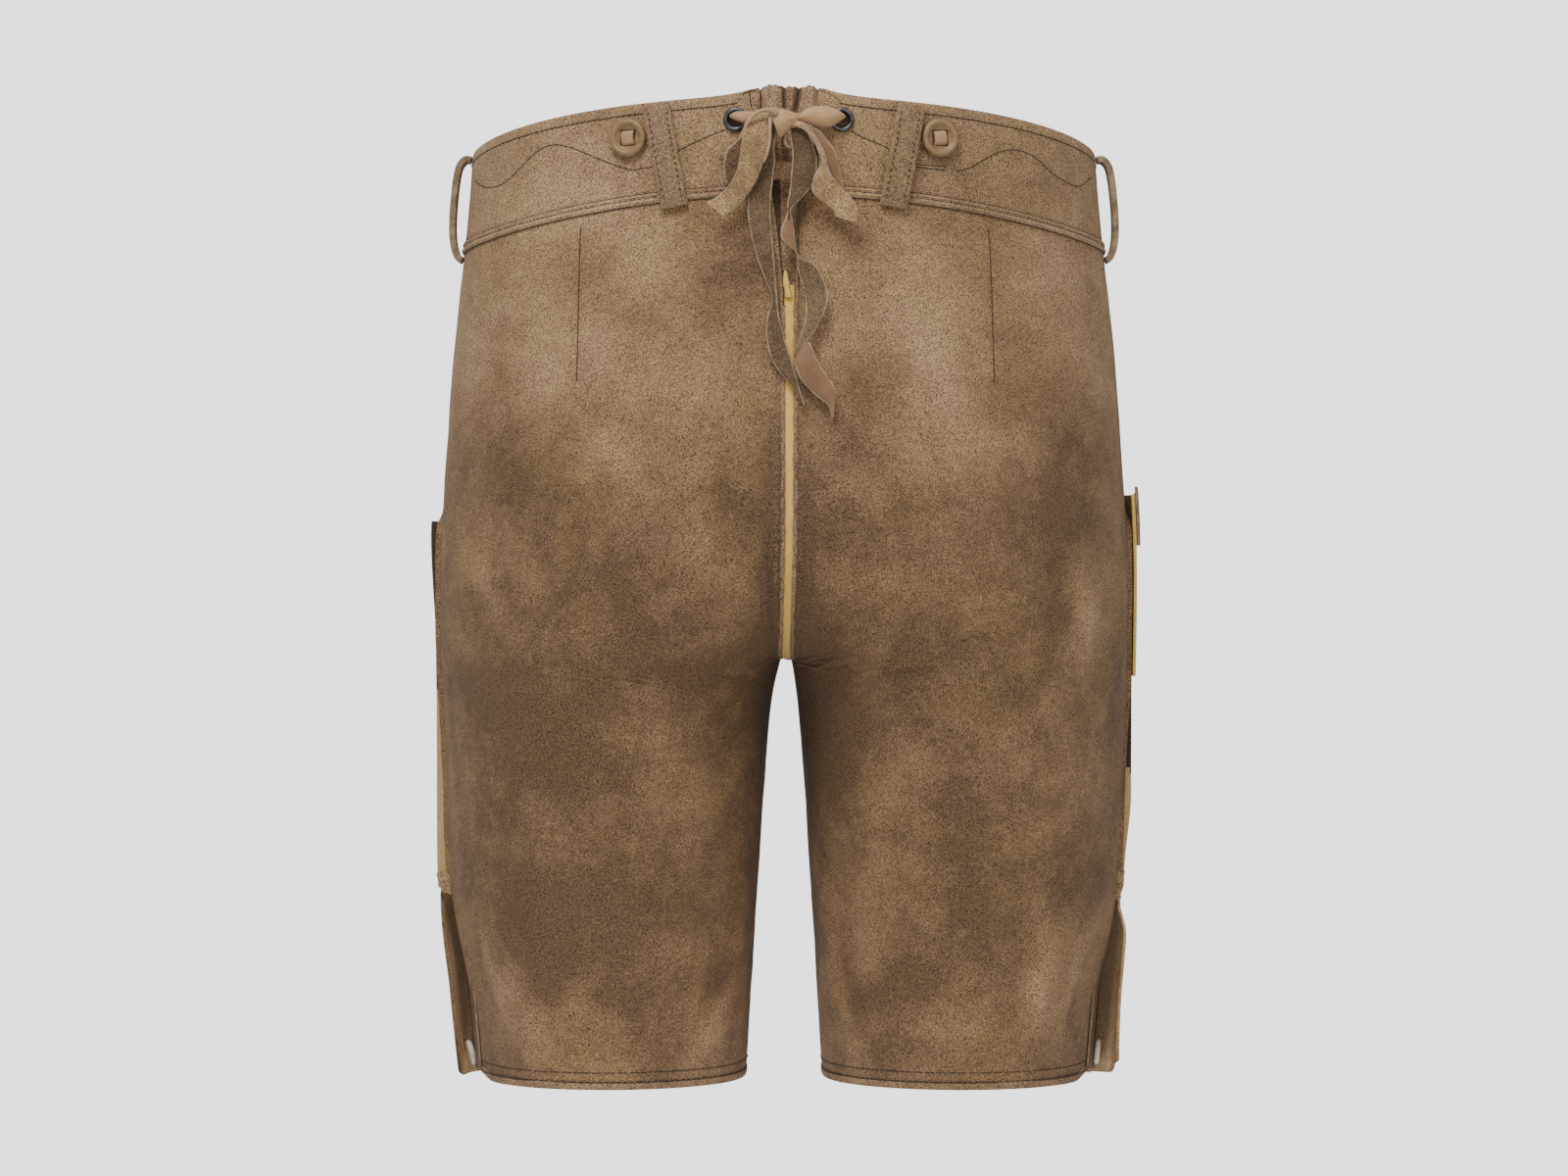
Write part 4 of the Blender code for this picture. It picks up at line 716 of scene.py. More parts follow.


# The back's patches are mostly the leather's own soft tone; those marked below are painted shade.
BACK_TONE_AND_SHADE = (
    # Painted shade in the valley beside the seat welt.
    Patch(0.0088, -0.222, 0.0034, 0.032, -2, -1.5), Patch(-0.0115, -0.220, 0.0034, 0.032, 2, -1.5),
    Patch(-0.100, 0.012, 0.034, 0.020, 0, -0.7),
    # Painted shade on the facing under the lace and beside the two hanging ends.
    Patch(-0.0045, -0.010, 0.0060, 0.026, 0, -1.7), Patch(-0.003, -0.050, 0.006, 0.030, 0, -1.3),
    Patch(0.016, -0.048, 0.010, 0.030, 0, -0.8), Patch(-0.014, -0.016, 0.010, 0.011, 0, -0.9),
    Patch(0.033, -0.037, 0.020, 0.030, 0, -0.6), Patch(0.044, -0.063, 0.020, 0.030, 20, -0.7),
    Patch(0.076, -0.080, 0.030, 0.014, 45, -0.6), Patch(0.052, -0.096, 0.020, 0.030, 0, 0.6),
    Patch(0.099, -0.151, 0.009, 0.034, -42, 0.9), Patch(0.112, -0.190, 0.030, 0.016, 30, -0.4),
    Patch(0.157, -0.118, 0.012, 0.060, 0, -0.5), Patch(0.135, -0.085, 0.018, 0.050, 0, 0.5),
    Patch(0.080, -0.045, 0.020, 0.018, 0, 0.5), Patch(0.066, -0.251, 0.030, 0.026, 0, -0.3),
    Patch(-0.031, -0.029, 0.014, 0.016, 0, -0.6), Patch(-0.098, -0.024, 0.030, 0.012, 0, -0.3),
    Patch(-0.136, -0.096, 0.018, 0.045, 10, -0.6), Patch(-0.072, -0.069, 0.022, 0.032, 0, 0.6),
    Patch(-0.093, -0.129, 0.020, 0.040, 0, 0.5), Patch(-0.163, -0.118, 0.012, 0.060, 0, -0.5),
    Patch(-0.050, -0.110, 0.018, 0.030, 0, -0.3), Patch(0.167, -0.240, 0.013, 0.016, 0, -0.9),
    Patch(0.176, -0.218, 0.011, 0.018, 0, 0.6), Patch(0.158, -0.253, 0.009, 0.030, -35, 0.7),
    Patch(0.157, -0.288, 0.022, 0.028, 0, -0.6), Patch(0.130, -0.250, 0.020, 0.026, 0, -0.4),
    Patch(0.071, -0.267, 0.030, 0.018, 0, -0.5), Patch(0.052, -0.175, 0.014, 0.030, 0, 0.7),
    Patch(0.050, -0.204, 0.026, 0.018, 0, 0.4), Patch(-0.147, -0.186, 0.030, 0.020, 0, -0.8),
    Patch(-0.112, -0.269, 0.022, 0.030, 0, -0.5), Patch(-0.036, -0.172, 0.028, 0.018, 20, 0.6),
    Patch(-0.072, -0.156, 0.014, 0.020, -20, 0.5), Patch(-0.176, -0.250, 0.010, 0.030, 25, 0.6),
    Patch(-0.155, -0.242, 0.012, 0.030, 15, -0.8), Patch(-0.070, -0.225, 0.030, 0.022, 0, 0.3),
    # Painted shade at the inner legs by the crotch.
    Patch(0.010, -0.280, 0.012, 0.036, 0, -1.0), Patch(-0.016, -0.278, 0.014, 0.036, 0, -1.0),
    Patch(0.119, -0.328, 0.020, 0.024, 0, -0.5), Patch(0.060, -0.330, 0.020, 0.030, 0, 0.6),
    Patch(0.157, -0.352, 0.016, 0.030, 0, -0.5), Patch(0.149, -0.420, 0.016, 0.018, 0, -0.8),
    Patch(0.106, -0.401, 0.024, 0.016, 15, -0.6), Patch(0.076, -0.436, 0.024, 0.016, 0, 0.4),
    Patch(0.081, -0.461, 0.022, 0.014, 0, -0.6), Patch(0.124, -0.470, 0.016, 0.022, -25, 0.4),
    Patch(0.036, -0.395, 0.016, 0.040, 0, -0.3), Patch(0.046, -0.486, 0.020, 0.014, 0, 0.3),
    Patch(-0.060, -0.340, 0.020, 0.026, 0, 0.5), Patch(-0.029, -0.330, 0.013, 0.032, 0, -0.6),
    Patch(-0.098, -0.341, 0.018, 0.024, 0, -0.5), Patch(-0.079, -0.395, 0.022, 0.022, 0, 0.5),
    Patch(-0.112, -0.414, 0.020, 0.020, 0, -0.5), Patch(-0.160, -0.392, 0.013, 0.032, 0, -0.6),
    Patch(-0.150, -0.448, 0.010, 0.032, 25, 0.5), Patch(-0.069, -0.459, 0.022, 0.018, 0, -0.6),
    Patch(-0.094, -0.478, 0.030, 0.010, 0, 0.5), Patch(-0.040, -0.420, 0.014, 0.034, 10, 0.3),
    Patch(-0.130, -0.480, 0.014, 0.018, 0, -0.5), Patch(-0.128, -0.310, 0.018, 0.020, 0, 0.3),
    Patch(0.125, -0.012, 0.040, 0.014, 0, 1.0), Patch(-0.122, -0.002, 0.030, 0.014, 0, -0.8),
    Patch(-0.059, -0.180, 0.040, 0.045, 0, -0.8), Patch(0.058, -0.180, 0.040, 0.045, 0, -0.55),
    Patch(0.145, -0.300, 0.030, 0.040, 0, -0.9), Patch(0.135, -0.425, 0.026, 0.050, 0, -0.8),
    Patch(0.061, -0.425, 0.028, 0.050, 0, -0.45), Patch(0.150, -0.078, 0.022, 0.030, 0, 0.4),
    Patch(-0.148, -0.085, 0.020, 0.035, 0, 0.7), Patch(-0.065, -0.070, 0.030, 0.035, 0, -0.35),
    Patch(-0.145, -0.182, 0.030, 0.040, 0, 0.3), Patch(0.061, -0.300, 0.030, 0.040, 0, -0.3),
    Patch(-0.145, -0.425, 0.024, 0.050, 0, 0.3), Patch(-0.062, -0.300, 0.030, 0.040, 0, -0.3),
)
FRONT_PATCHES = (
    Patch(0.050, -0.070, 0.030, 0.024, 20, 0.5), Patch(0.120, -0.060, 0.020, 0.040, 0, -0.5),
    Patch(-0.060, -0.090, 0.024, 0.030, 0, -0.4), Patch(-0.130, -0.080, 0.018, 0.050, 0, 0.5),
    Patch(0.095, -0.150, 0.014, 0.036, 40, 0.6), Patch(-0.095, -0.160, 0.014, 0.036, -40, 0.6),
    Patch(0.030, -0.200, 0.030, 0.020, 0, -0.6), Patch(-0.032, -0.205, 0.026, 0.020, 0, -0.6),
    Patch(0.140, -0.230, 0.020, 0.026, 0, -0.5), Patch(-0.150, -0.235, 0.018, 0.030, 0, -0.5),
    Patch(0.070, -0.280, 0.026, 0.030, 0, 0.5), Patch(-0.080, -0.300, 0.026, 0.026, 0, 0.5),
    Patch(0.120, -0.340, 0.024, 0.020, 0, -0.5), Patch(-0.118, -0.360, 0.022, 0.024, 0, -0.6),
    Patch(0.060, -0.390, 0.022, 0.030, 0, -0.5), Patch(-0.050, -0.400, 0.020, 0.030, 0, 0.4),
    Patch(0.135, -0.430, 0.016, 0.026, -20, 0.6), Patch(-0.140, -0.440, 0.014, 0.028, 20, 0.5),
    Patch(0.080, -0.470, 0.028, 0.014, 0, 0.4), Patch(-0.090, -0.470, 0.024, 0.014, 0, -0.6),
)


@dataclass(frozen=True)
class Crease:
    """A narrow crease between two places, seen square on; a ridge where its depth is positive."""

    x_from: float
    z_from: float
    x_to: float
    z_to: float
    breadth: float
    depth: float


BACK_CREASES = (
    Crease(0.116, -0.020, 0.118, -0.114, 0.0030, -0.0007),
    Crease(-0.117, -0.020, -0.119, -0.112, 0.0030, -0.0007),
    Crease(0.118, -0.112, 0.112, -0.140, 0.0080, -0.0008),
    Crease(-0.119, -0.112, -0.113, -0.138, 0.0080, -0.0008),
    Crease(0.090, -0.135, 0.114, -0.170, 0.0100, 0.0014),
    Crease(0.022, -0.430, 0.036, -0.452, 0.0045, 0.0012),
    Crease(0.022, -0.452, 0.046, -0.486, 0.0050, 0.0015),
    Crease(0.022, -0.474, 0.054, -0.500, 0.0045, 0.0013),
    Crease(0.028, -0.438, 0.048, -0.474, 0.0050, -0.0012),
    Crease(-0.018, -0.378, -0.028, -0.452, 0.0050, 0.0013),
    Crease(-0.024, -0.452, -0.040, -0.490, 0.0050, 0.0014),
    Crease(-0.028, -0.420, -0.044, -0.470, 0.0055, -0.0012),
    Crease(0.166, -0.420, 0.140, -0.500, 0.0075, 0.0013),
    Crease(0.158, -0.410, 0.128, -0.470, 0.0085, -0.0012),
    Crease(-0.158, -0.420, -0.140, -0.492, 0.0075, 0.0013),
    Crease(-0.148, -0.410, -0.122, -0.466, 0.0085, -0.0011),
    Crease(0.160, -0.245, 0.182, -0.212, 0.0075, 0.0014),
    Crease(0.181, -0.412, 0.158, -0.478, 0.0040, 0.0010),
    Crease(0.172, -0.452, 0.146, -0.502, 0.0045, 0.0010),
    Crease(0.179, -0.440, 0.166, -0.486, 0.0050, -0.0010),
    Crease(-0.180, -0.418, -0.160, -0.482, 0.0040, 0.0010),
    Crease(-0.176, -0.446, -0.160, -0.494, 0.0050, -0.0009),
    Crease(-0.166, -0.226, -0.184, -0.262, 0.0075, 0.0014),
)
FRONT_CREASES = (
    Crease(0.070, -0.150, 0.112, -0.178, 0.0100, 0.0014),
    Crease(-0.072, -0.154, -0.110, -0.176, 0.0100, 0.0014),
    Crease(0.020, -0.215, 0.075, -0.240, 0.0090, -0.0016),
    Crease(-0.020, -0.212, -0.080, -0.244, 0.0090, -0.0016),
    Crease(0.024, -0.190, 0.085, -0.205, 0.0080, 0.0012),
    Crease(-0.024, -0.192, -0.080, -0.206, 0.0080, 0.0012),
    Crease(0.030, -0.440, 0.062, -0.492, 0.0060, 0.0013),
    Crease(-0.030, -0.444, -0.060, -0.496, 0.0060, 0.0013),
    Crease(0.150, -0.430, 0.124, -0.496, 0.0070, 0.0013),
    Crease(-0.150, -0.426, -0.122, -0.498, 0.0070, 0.0013),
)
WOBBLE = ((0.034, 0.00050), (0.012, 0.00016))  # size and height of the leather's unevenness
CREASE_PAINTED_LIGHT = 420.0  # how much lighter a crease's ridge and darker its trough are painted, for each metre that it stands up or sinks: painted highlight and painted shade
KNEE_TUCK = 0.0050  # how far the leg's back is drawn in at its lowest outer corner
CORNER_RISE = 0.0036  # how far that corner is rounded up
BAND_RISE = 0.0048  # how far the band's top rises beside the gusset
GUSSET_RISE = 0.0008  # how far the gusset's top edge rises in its middle
GUSSET_FALL = 0.0020  # how much lower it ends at the sides
GUSSET_RIPPLE = 0.00030  # how high the edge ripples
GUSSET_RIPPLES = 1700  # radians of ripple in a metre
WELT_OUT = 0.0036  # how far the left outseam's welt stands out at its top
WELT_IN = 0.0036  # how far the right outseam's welt is drawn in at its foot
VALLEY_REACH = 0.013  # how far the painted shade beside the seat seam reaches
SQUARE_ON = 0.02  # y over which a place passes from the front to the back


@dataclass(frozen=True)
class Pleat:
    """A pleat in the gusset, between its place low down and its place at the top; its tone is painted shade where
    negative and painted highlight where positive.
    """

    x_low: float
    x_high: float
    z_low: float
    z_high: float
    breadth: float
    depth: float
    tone: float


# Each pleat's tone is painted shade in its fold where negative and painted highlight on its ridge where positive;
# below -2 the suede turns near-black.
GUSSET_PLEATS = (
    Pleat(-0.0002, 0.0002, 0.0400, 0.0560, 0.0011, -0.0012, -3.6),
    Pleat(-0.0062, -0.0090, 0.0400, 0.0560, 0.0017, -0.0015, -4.0),
    Pleat(-0.0034, -0.0040, 0.0400, 0.0560, 0.0022, 0.0006, -0.6),
    Pleat(-0.0086, -0.0114, 0.0400, 0.0560, 0.0007, 0.0010, 1.4),
    Pleat(0.0134, 0.0134, 0.0400, 0.0560, 0.0005, -0.0005, -2.8),
    Pleat(0.0060, 0.0055, 0.0400, 0.0560, 0.0030, 0.0005, 0.3),
    Pleat(0.0041, 0.0052, 0.0120, 0.0300, 0.0012, -0.0006, -2.0),
    Pleat(-0.0010, 0.0000, 0.0120, 0.0300, 0.0014, -0.0008, -2.6),
    Pleat(-0.0030, -0.0040, 0.0120, 0.0300, 0.0009, 0.0004, 0.2),
)


def patch_tone(points: np.ndarray, patches: Iterable[Patch]) -> np.ndarray:
    """How light or dark a list of patches makes each point.

    Args:
        points: the points, one a row.
        patches: the soft places.

    Returns:
        The tone at each point.
    """
    tone = np.zeros(len(points))
    for patch in patches:
        turn = math.radians(patch.turn)
        x, z = points[:, 0] - patch.x, points[:, 2] - patch.z
        along = x * math.cos(turn) + z * math.sin(turn)
        up = z * math.cos(turn) - x * math.sin(turn)
        tone += patch.tone * np.exp(-((along / patch.across) ** 2 + (up / patch.tall) ** 2))
    return tone


def tones(points: np.ndarray) -> np.ndarray:
    """The suede's soft patches over the whole garment, with painted light and shade laid over them.

    Args:
        points: the points, one a row.

    Returns:
        The tone at each point, about -1 to 1.
    """
    back = np.clip(points[:, 1] / SQUARE_ON, -1, 1) * 0.5 + 0.5
    tone = back * patch_tone(points, BACK_TONE_AND_SHADE)
    tone += (1 - back) * patch_tone(points, FRONT_PATCHES)
    # Painted shade in the valley each side of the seat seam, from below the waist to the crotch.
    beside = np.exp(-((np.abs(points[:, 0]) / VALLEY_REACH) ** 2))
    seam = np.clip((-0.085 - points[:, 2]) / 0.10, 0, 1) * (points[:, 2] > -0.29)
    tone -= 0.9 * beside * seam
    # Painted light and shade from above: lighter at the seat's top, darker down the seat and thighs, a little lighter
    # again at the knees.
    fall = rising(points[:, 2], -0.085, -0.180)
    thighs = rising(points[:, 2], -0.20, -0.32)
    knees = rising(points[:, 2], -0.39, -0.47)
    # Painted highlight on the creases' ridges and painted shade in their troughs.
    tone += CREASE_PAINTED_LIGHT * back * crease_lift(points, BACK_CREASES)
    tone += CREASE_PAINTED_LIGHT * (1 - back) * crease_lift(points, FRONT_CREASES)
    return tone + 0.45 - 0.90 * fall - 0.20 * thighs + 0.15 * knees


def ease(share: np.ndarray) -> np.ndarray:
    """A smooth step from 0 to 1.

    Args:
        share: how far along the step each value is.

    Returns:
        The step's height at each.
    """
    share = np.clip(share, 0, 1)
    return share * share * (3 - 2 * share)


def rising(values: np.ndarray, start: float, end: float) -> np.ndarray:
    """A smooth step that is 0 at a start and 1 at an end, which may be less than the start.

    Args:
        values: the values to judge.
        start: the value where the step is 0.
        end: the value where it is 1.

    Returns:
        The step's height at each.
    """
    return ease((values - start) / (end - start))


def tucked(points: np.ndarray) -> tuple[np.ndarray, np.ndarray]:
    """Draws the outer corner of the leg's back in at the knee and rounds it.

    Args:
        points: the points.

    Returns:
        The moved points and an even tone.
    """
    moved = points.copy()
    wide, z = np.abs(points[:, 0]), points[:, 2]
    back = rising(points[:, 1], -0.012, 0.018)
    low, outer = rising(z, -0.412, -0.487), rising(wide, 0.158, 0.184)
    moved[:, 0] -= np.sign(points[:, 0]) * KNEE_TUCK * back * outer * low
    moved[:, 2] += CORNER_RISE * back * rising(wide, 0.172, 0.185) * rising(z, -0.495, -0.509)
    return moved, np.zeros(len(points))


def raised(points: np.ndarray) -> tuple[np.ndarray, np.ndarray]:
    """Draws the waistband's top up beside the gusset.

    Args:
        points: the points.

    Returns:
        The moved points and an even tone.
    """
    moved = points.copy()
    away = np.clip(np.abs(points[:, 0] + 0.0028) - 0.0190, 0, None)
    top = rising(points[:, 1], 0.060, 0.090) * rising(points[:, 2], 0.0440, 0.0495)
    moved[:, 2] += BAND_RISE * top * np.exp(-away / 0.0125)
    return moved, np.zeros(len(points))


def stood_out(points: np.ndarray) -> tuple[np.ndarray, np.ndarray]:
    """Stands the left outseam welt's top out from the panel and draws the right one's foot in.

    Args:
        points: the welt's points.

    Returns:
        The moved points and an even tone.
    """
    moved = points.copy()
    left = points[:, 0] > 0
    top, foot = rising(points[:, 2], -0.262, -0.187), rising(points[:, 2], -0.350, -0.396)
    moved[:, 0] += np.where(left, WELT_OUT * top, WELT_IN * foot)
    return moved, np.zeros(len(points))


def crease_lift(points: np.ndarray, creases: Iterable[Crease]) -> np.ndarray:
    """How far a list of creases lifts each point.

    Args:
        points: the points, one a row.
        creases: the creases.

    Returns:
        The lift at each point.
    """
    lift = np.zeros(len(points))
    for crease in creases:
        start = np.array((crease.x_from, crease.z_from))
        run = np.array((crease.x_to, crease.z_to)) - start
        flat = points[:, (0, 2)] - start
        share = np.clip(flat @ run / (run @ run), 0, 1)
        away = np.linalg.norm(flat - share[:, None] * run, axis=1)
        taper = np.sin(math.pi * (0.12 + 0.76 * share))
        lift += crease.depth * taper * np.exp(-((away / crease.breadth) ** 2))
    return lift


def lifts(points: np.ndarray) -> np.ndarray:
    """How far creases and unevenness lift the leather off its plain form.

    Args:
        points: the points, one a row.

    Returns:
        The lift at each point.
    """
    back = np.clip(points[:, 1] / SQUARE_ON, -1, 1) * 0.5 + 0.5
    lift = back * crease_lift(points, BACK_CREASES)
    lift += (1 - back) * crease_lift(points, FRONT_CREASES)
    uneven = np.array([
        sum(high * noise.noise(Vector(p) / size) for size, high in WOBBLE) for p in points
    ])
    fade = np.clip((-0.022 - points[:, 2]) / 0.02, 0.25, 1) * np.clip(
        (points[:, 2] + 0.515) / 0.03, 0.25, 1
    )
    return (lift + uneven) * fade


def outward(points: np.ndarray) -> np.ndarray:
    """The level direction away from the garment's middle at each point.

    Args:
        points: the points, one a row.

    Returns:
        A unit vector for each point.
    """
    legs = np.clip((-0.20 - points[:, 2]) / 0.08, 0, 1)
    middle = np.sign(points[:, 0]) * LEG_MIDDLE * legs
    away = np.stack([points[:, 0] - middle, points[:, 1] * 1.3, np.zeros(len(points))], axis=1)
    return away / np.maximum(np.linalg.norm(away, axis=1), 1e-6)[:, None]


# Meshes --------------------------------------------------------------------------------------


def settle(name: str, mesh: bpy.types.Mesh, *finishes: object) -> bpy.types.Object:
    """Puts a mesh in the scene as a piece that rides on the garment.

    Args:
        name: the piece's name.
        mesh: its mesh.
        finishes: its finishes, in the order of its faces' material numbers.

    Returns:
        The piece.
    """
    piece = bpy.data.objects.new(name, mesh)
    bpy.context.scene.collection.objects.link(piece)
    for finish in finishes:
        mesh.materials.append(material_of(finish))
    mesh.shade_smooth()
    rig.ride(piece, BODY)
    return piece


def read_node(node: str) -> bmesh.types.BMesh:
    """A node's form as joined quads in the row's frame.

    Args:
        node: the node's name.

    Returns:
        A new bmesh.
    """
    source = FRAME["nodes"][node]
    form = bmesh.new()
    form.from_mesh(source.data)
    form.transform(source.matrix_world)
    bmesh.ops.remove_doubles(form, verts=form.verts, dist=1e-5)
    bmesh.ops.join_triangles(
        form, faces=form.faces, angle_face_threshold=0.7, angle_shape_threshold=1.2
    )
    form.normal_update()
    return form


def regions(form: bmesh.types.BMesh, sharp: float) -> list[list[bmesh.types.BMFace]]:
    """Splits a form at its sharp edges.

    Args:
        form: the form.
        sharp: the angle, in degrees, from which an edge is sharp.

    Returns:
        The faces of each region, the largest region first.
    """
    limit = math.radians(sharp)
    left, found = set(form.faces), []
    while left:
        stack = [left.pop()]
        region = list(stack)
        while stack:
            for edge in stack.pop().edges:
                if edge.calc_face_angle(math.pi) >= limit:
                    continue
                for face in edge.link_faces:
                    if face in left:
                        left.remove(face)
                        stack.append(face)
                        region.append(face)
        found.append(region)
    return sorted(found, key=lambda faces: -sum(f.calc_area() for f in faces))


@dataclass
class Shell:
    """The smooth leather shell of one solid."""

    node: str
    outer: object = SUEDE
    inner: object = INNER_SUEDE
    edge: object = EDGE
    slot: str = "suede"
    levels: int = 2
    sharp: float = 55.0
    crease: float = 0.55
    uneven: bool = True
    flat: tuple[float, float] | None = None
    area: float | None = None
    held: str = "stretched"
    rests_on: tuple[str, ...] = ()
    mould: Callable[[np.ndarray], tuple[np.ndarray, np.ndarray]] | None = None
    piece: bpy.types.Object | None = field(default=None, init=False)

    def build(self) -> bpy.types.Object:
        """Makes the shell, rides it and lets it stand for its solid.

        Returns:
            The piece.
        """
        form = read_node(self.node)
        self.dress(form)
        self.mark_edges(form)
        mesh = bpy.data.meshes.new("shell_" + self.node)
        form.to_mesh(mesh)
        form.free()
        mesh = self.smooth(mesh)
        self.shape(mesh)
        self.piece = settle("shell_" + self.node, mesh, self.outer, self.inner, self.edge)
        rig.slot(self.piece, self.slot)
        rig.replaces(self.piece, self.node)
        if self.flat is not None:
            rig.sheet(self.piece, flat=self.flat, held=self.held, area=self.area,
                     rests_on=list(self.rests_on))
        LOG.info("shell_%s: %d faces", self.node, len(mesh.polygons))
        return self.piece

    def dress(self, form: bmesh.types.BMesh) -> None:
        """Gives the outer face, the inner face and the cut edges their finishes.

        Args:
            form: the form.
        """
        for face in form.faces:
            face.material_index = 2
        found = regions(form, self.sharp)
        pair = sorted(found[:2], key=self.facing, reverse=True)
        for number, faces in enumerate(pair):
            for face in faces:
                face.material_index = number
        for faces in found[2:]:
            beside = {
                other.material_index
                for face in faces for edge in face.edges for other in edge.link_faces
            } - {2}
            if len(beside) == 1:
                number = beside.pop()
                for face in faces:
                    face.material_index = number

    @staticmethod
    def facing(faces: list[bmesh.types.BMFace]) -> float:
        """How much a region looks away from the garment's middle.

        Args:
            faces: the region's faces.

        Returns:
            The mean of its outward part, by area.
        """
        middles = np.array([f.calc_center_median() for f in faces])
        looks = np.array([f.normal for f in faces])
        areas = np.array([f.calc_area() for f in faces])
        return float(((outward(middles) * looks).sum(axis=1) * areas).sum() / areas.sum())

    def mark_edges(self, form: bmesh.types.BMesh) -> None:
        """Keeps the sharp edges when the form is smoothed.

        Args:
            form: the form.
        """
        layer = form.edges.layers.float.new("crease_edge")
        for edge in form.edges:
            if edge.calc_face_angle(0.0) >= math.radians(self.sharp):
                edge[layer] = self.crease

    def smooth(self, mesh: bpy.types.Mesh) -> bpy.types.Mesh:
        """Subdivides a mesh and applies it.

        Args:
            mesh: the plain mesh.

        Returns:
            The smooth mesh.
        """
        if not self.levels:
            return mesh
        holder = bpy.data.objects.new("holder", mesh)
        bpy.context.scene.collection.objects.link(holder)
        modifier = holder.modifiers.new("smooth", "SUBSURF")
        modifier.levels = modifier.render_levels = self.levels
        graph = bpy.context.evaluated_depsgraph_get()
        made = bpy.data.meshes.new_from_object(holder.evaluated_get(graph))
        bpy.data.objects.remove(holder)
        bpy.data.meshes.remove(mesh)
        return made

    def shape(self, mesh: bpy.types.Mesh) -> None:
        """Lays the creases into the shell and notes its tone.

        Args:
            mesh: the shell's mesh.
        """
        points = np.empty(len(mesh.vertices) * 3)
        mesh.vertices.foreach_get("co", points)
        points = points.reshape(-1, 3)
        values = tones(points)
        if self.mould is not None:
            points, more = self.mould(points)
            values += more
        if self.uneven:
            points += outward(points) * lifts(points)[:, None]
        tone = mesh.attributes.new("tone", "FLOAT", "POINT")
        tone.data.foreach_set("value", values.astype(np.float32))
        mesh.vertices.foreach_set("co", points.ravel())
        mesh.update()


class Skin:
    """The outer faces of some pieces, to lay sewing and trim on."""

    NEAR_SIDE = 0.03  # a face closer to the middle than this is the far wall, seen through a gap

    def __init__(self, pieces: Iterable[bpy.types.Object]) -> None:
        """Gathers the pieces' faces.

        Args:
            pieces: the pieces.
        """
        corners: list[Vector] = []
        faces: list[list[int]] = []
        for piece in pieces:
            first = len(corners)
            corners += [v.co.copy() for v in piece.data.vertices]
            faces += [[first + i for i in p.vertices] for p in piece.data.polygons]
        self.tree = BVHTree.FromPolygons(corners, faces)

    def cast(self, start: Vector, way: Vector) -> tuple[Vector, Vector] | None:
        """The first face that a ray meets.

        Args:
            start: where the ray starts.
            way: its direction.

        Returns:
            The place and the face's normal, or None.
        """
        place, normal, _, _ = self.tree.ray_cast(start, way.normalized())
        return None if place is None else (place, normal)

    def seen(self, column: float, row: float) -> tuple[Vector, Vector] | None:
        """The place that shows at a pixel of the frame.

        Args:
            column: the pixel's column.
            row: the pixel's row.

        Returns:
            The place and its normal, or None.
        """
        eye = Vector(VIEW.place)
        return self.cast(eye, Vector(VIEW.spot(column, row, 0.0)) - eye)

    def square_on(self, x: float, z: float, face: int = 1) -> tuple[Vector, Vector] | None:
        """The place on the back or front at a given x and z.

        Args:
            x: how far to the wearer's left.
            z: the height.
            face: 1 for the back, -1 for the front.

        Returns:
            The place and its normal, or None.
        """
        return self.cast(Vector((x, face * 0.6, z)), Vector((0, -face, 0)))

    def round_about(
        self, turn: float, z: float, middle: float = 0.0, deep: float = 0.62
    ) -> tuple[Vector, Vector] | None:
        """The place at a given turn round a middle.

        Args:
            turn: degrees from the wearer's left, towards the back.
            z: the height.
            middle: the middle's x.
            deep: how deep the round is for its breadth.

        Returns:
            The place and its normal, or None.
        """
        angle = math.radians(turn)
        way = Vector((math.cos(angle), math.sin(angle) * deep, 0))
        middle_point = Vector((middle, 0.0, z))
        found = self.cast(middle_point + way * 0.5, -way)
        if found is None or (found[0] - middle_point).dot(way) < self.NEAR_SIDE:
            return None
        return found

    def end(
        self, turn: float, low: float, high: float, up: bool, middle: float = 0.0
    ) -> float | None:
        """The height at which the skin ends, at a given turn.

        Args:
            turn: degrees from the wearer's left, towards the back.
            low: a height at or below the end.
            high: a height at or above it.
            up: True for its top end, False for its bottom end.
            middle: the middle's x.

        Returns:
            The height, or None where the skin isn't met.
        """
        inside, outside = (low, high) if up else (high, low)
        if self.round_about(turn, inside, middle) is None:
            return None
        for _ in range(9):
            half = (inside + outside) / 2
            if self.round_about(turn, half, middle) is None:
                outside = half
            else:
                inside = half
        return inside


# Sewing --------------------------------------------------------------------------------------


@dataclass(frozen=True)
class Stitch:
    """The size of a stitch and of the groove it lies in."""

    pitch: float = 0.0036
    length: float = 0.0025
    thick: float = 0.00034
    groove: float = 0.00055
    proud: float = 0.00010


PLAIN_STITCH = Stitch()
FINE_STITCH = Stitch(pitch=0.0030, length=0.0020, thick=0.00026, groove=0.00040, proud=0.00002)
BOLD_STITCH = Stitch(pitch=0.0037, length=0.0018, thick=0.00046, groove=0.0)
LOOSE_STITCH = Stitch(pitch=0.0012, length=0.0012, thick=0.00026, groove=0.0, proud=0.0001)
DART_STITCH = Stitch(pitch=0.0030, length=0.0021, thick=0.00034, groove=0.00050)
BARE_GROOVE = Stitch(pitch=0.0034, length=0.0026, thick=0.00028, groove=0.00048, proud=0.00005)

Track = list[tuple[Vector, Vector]]


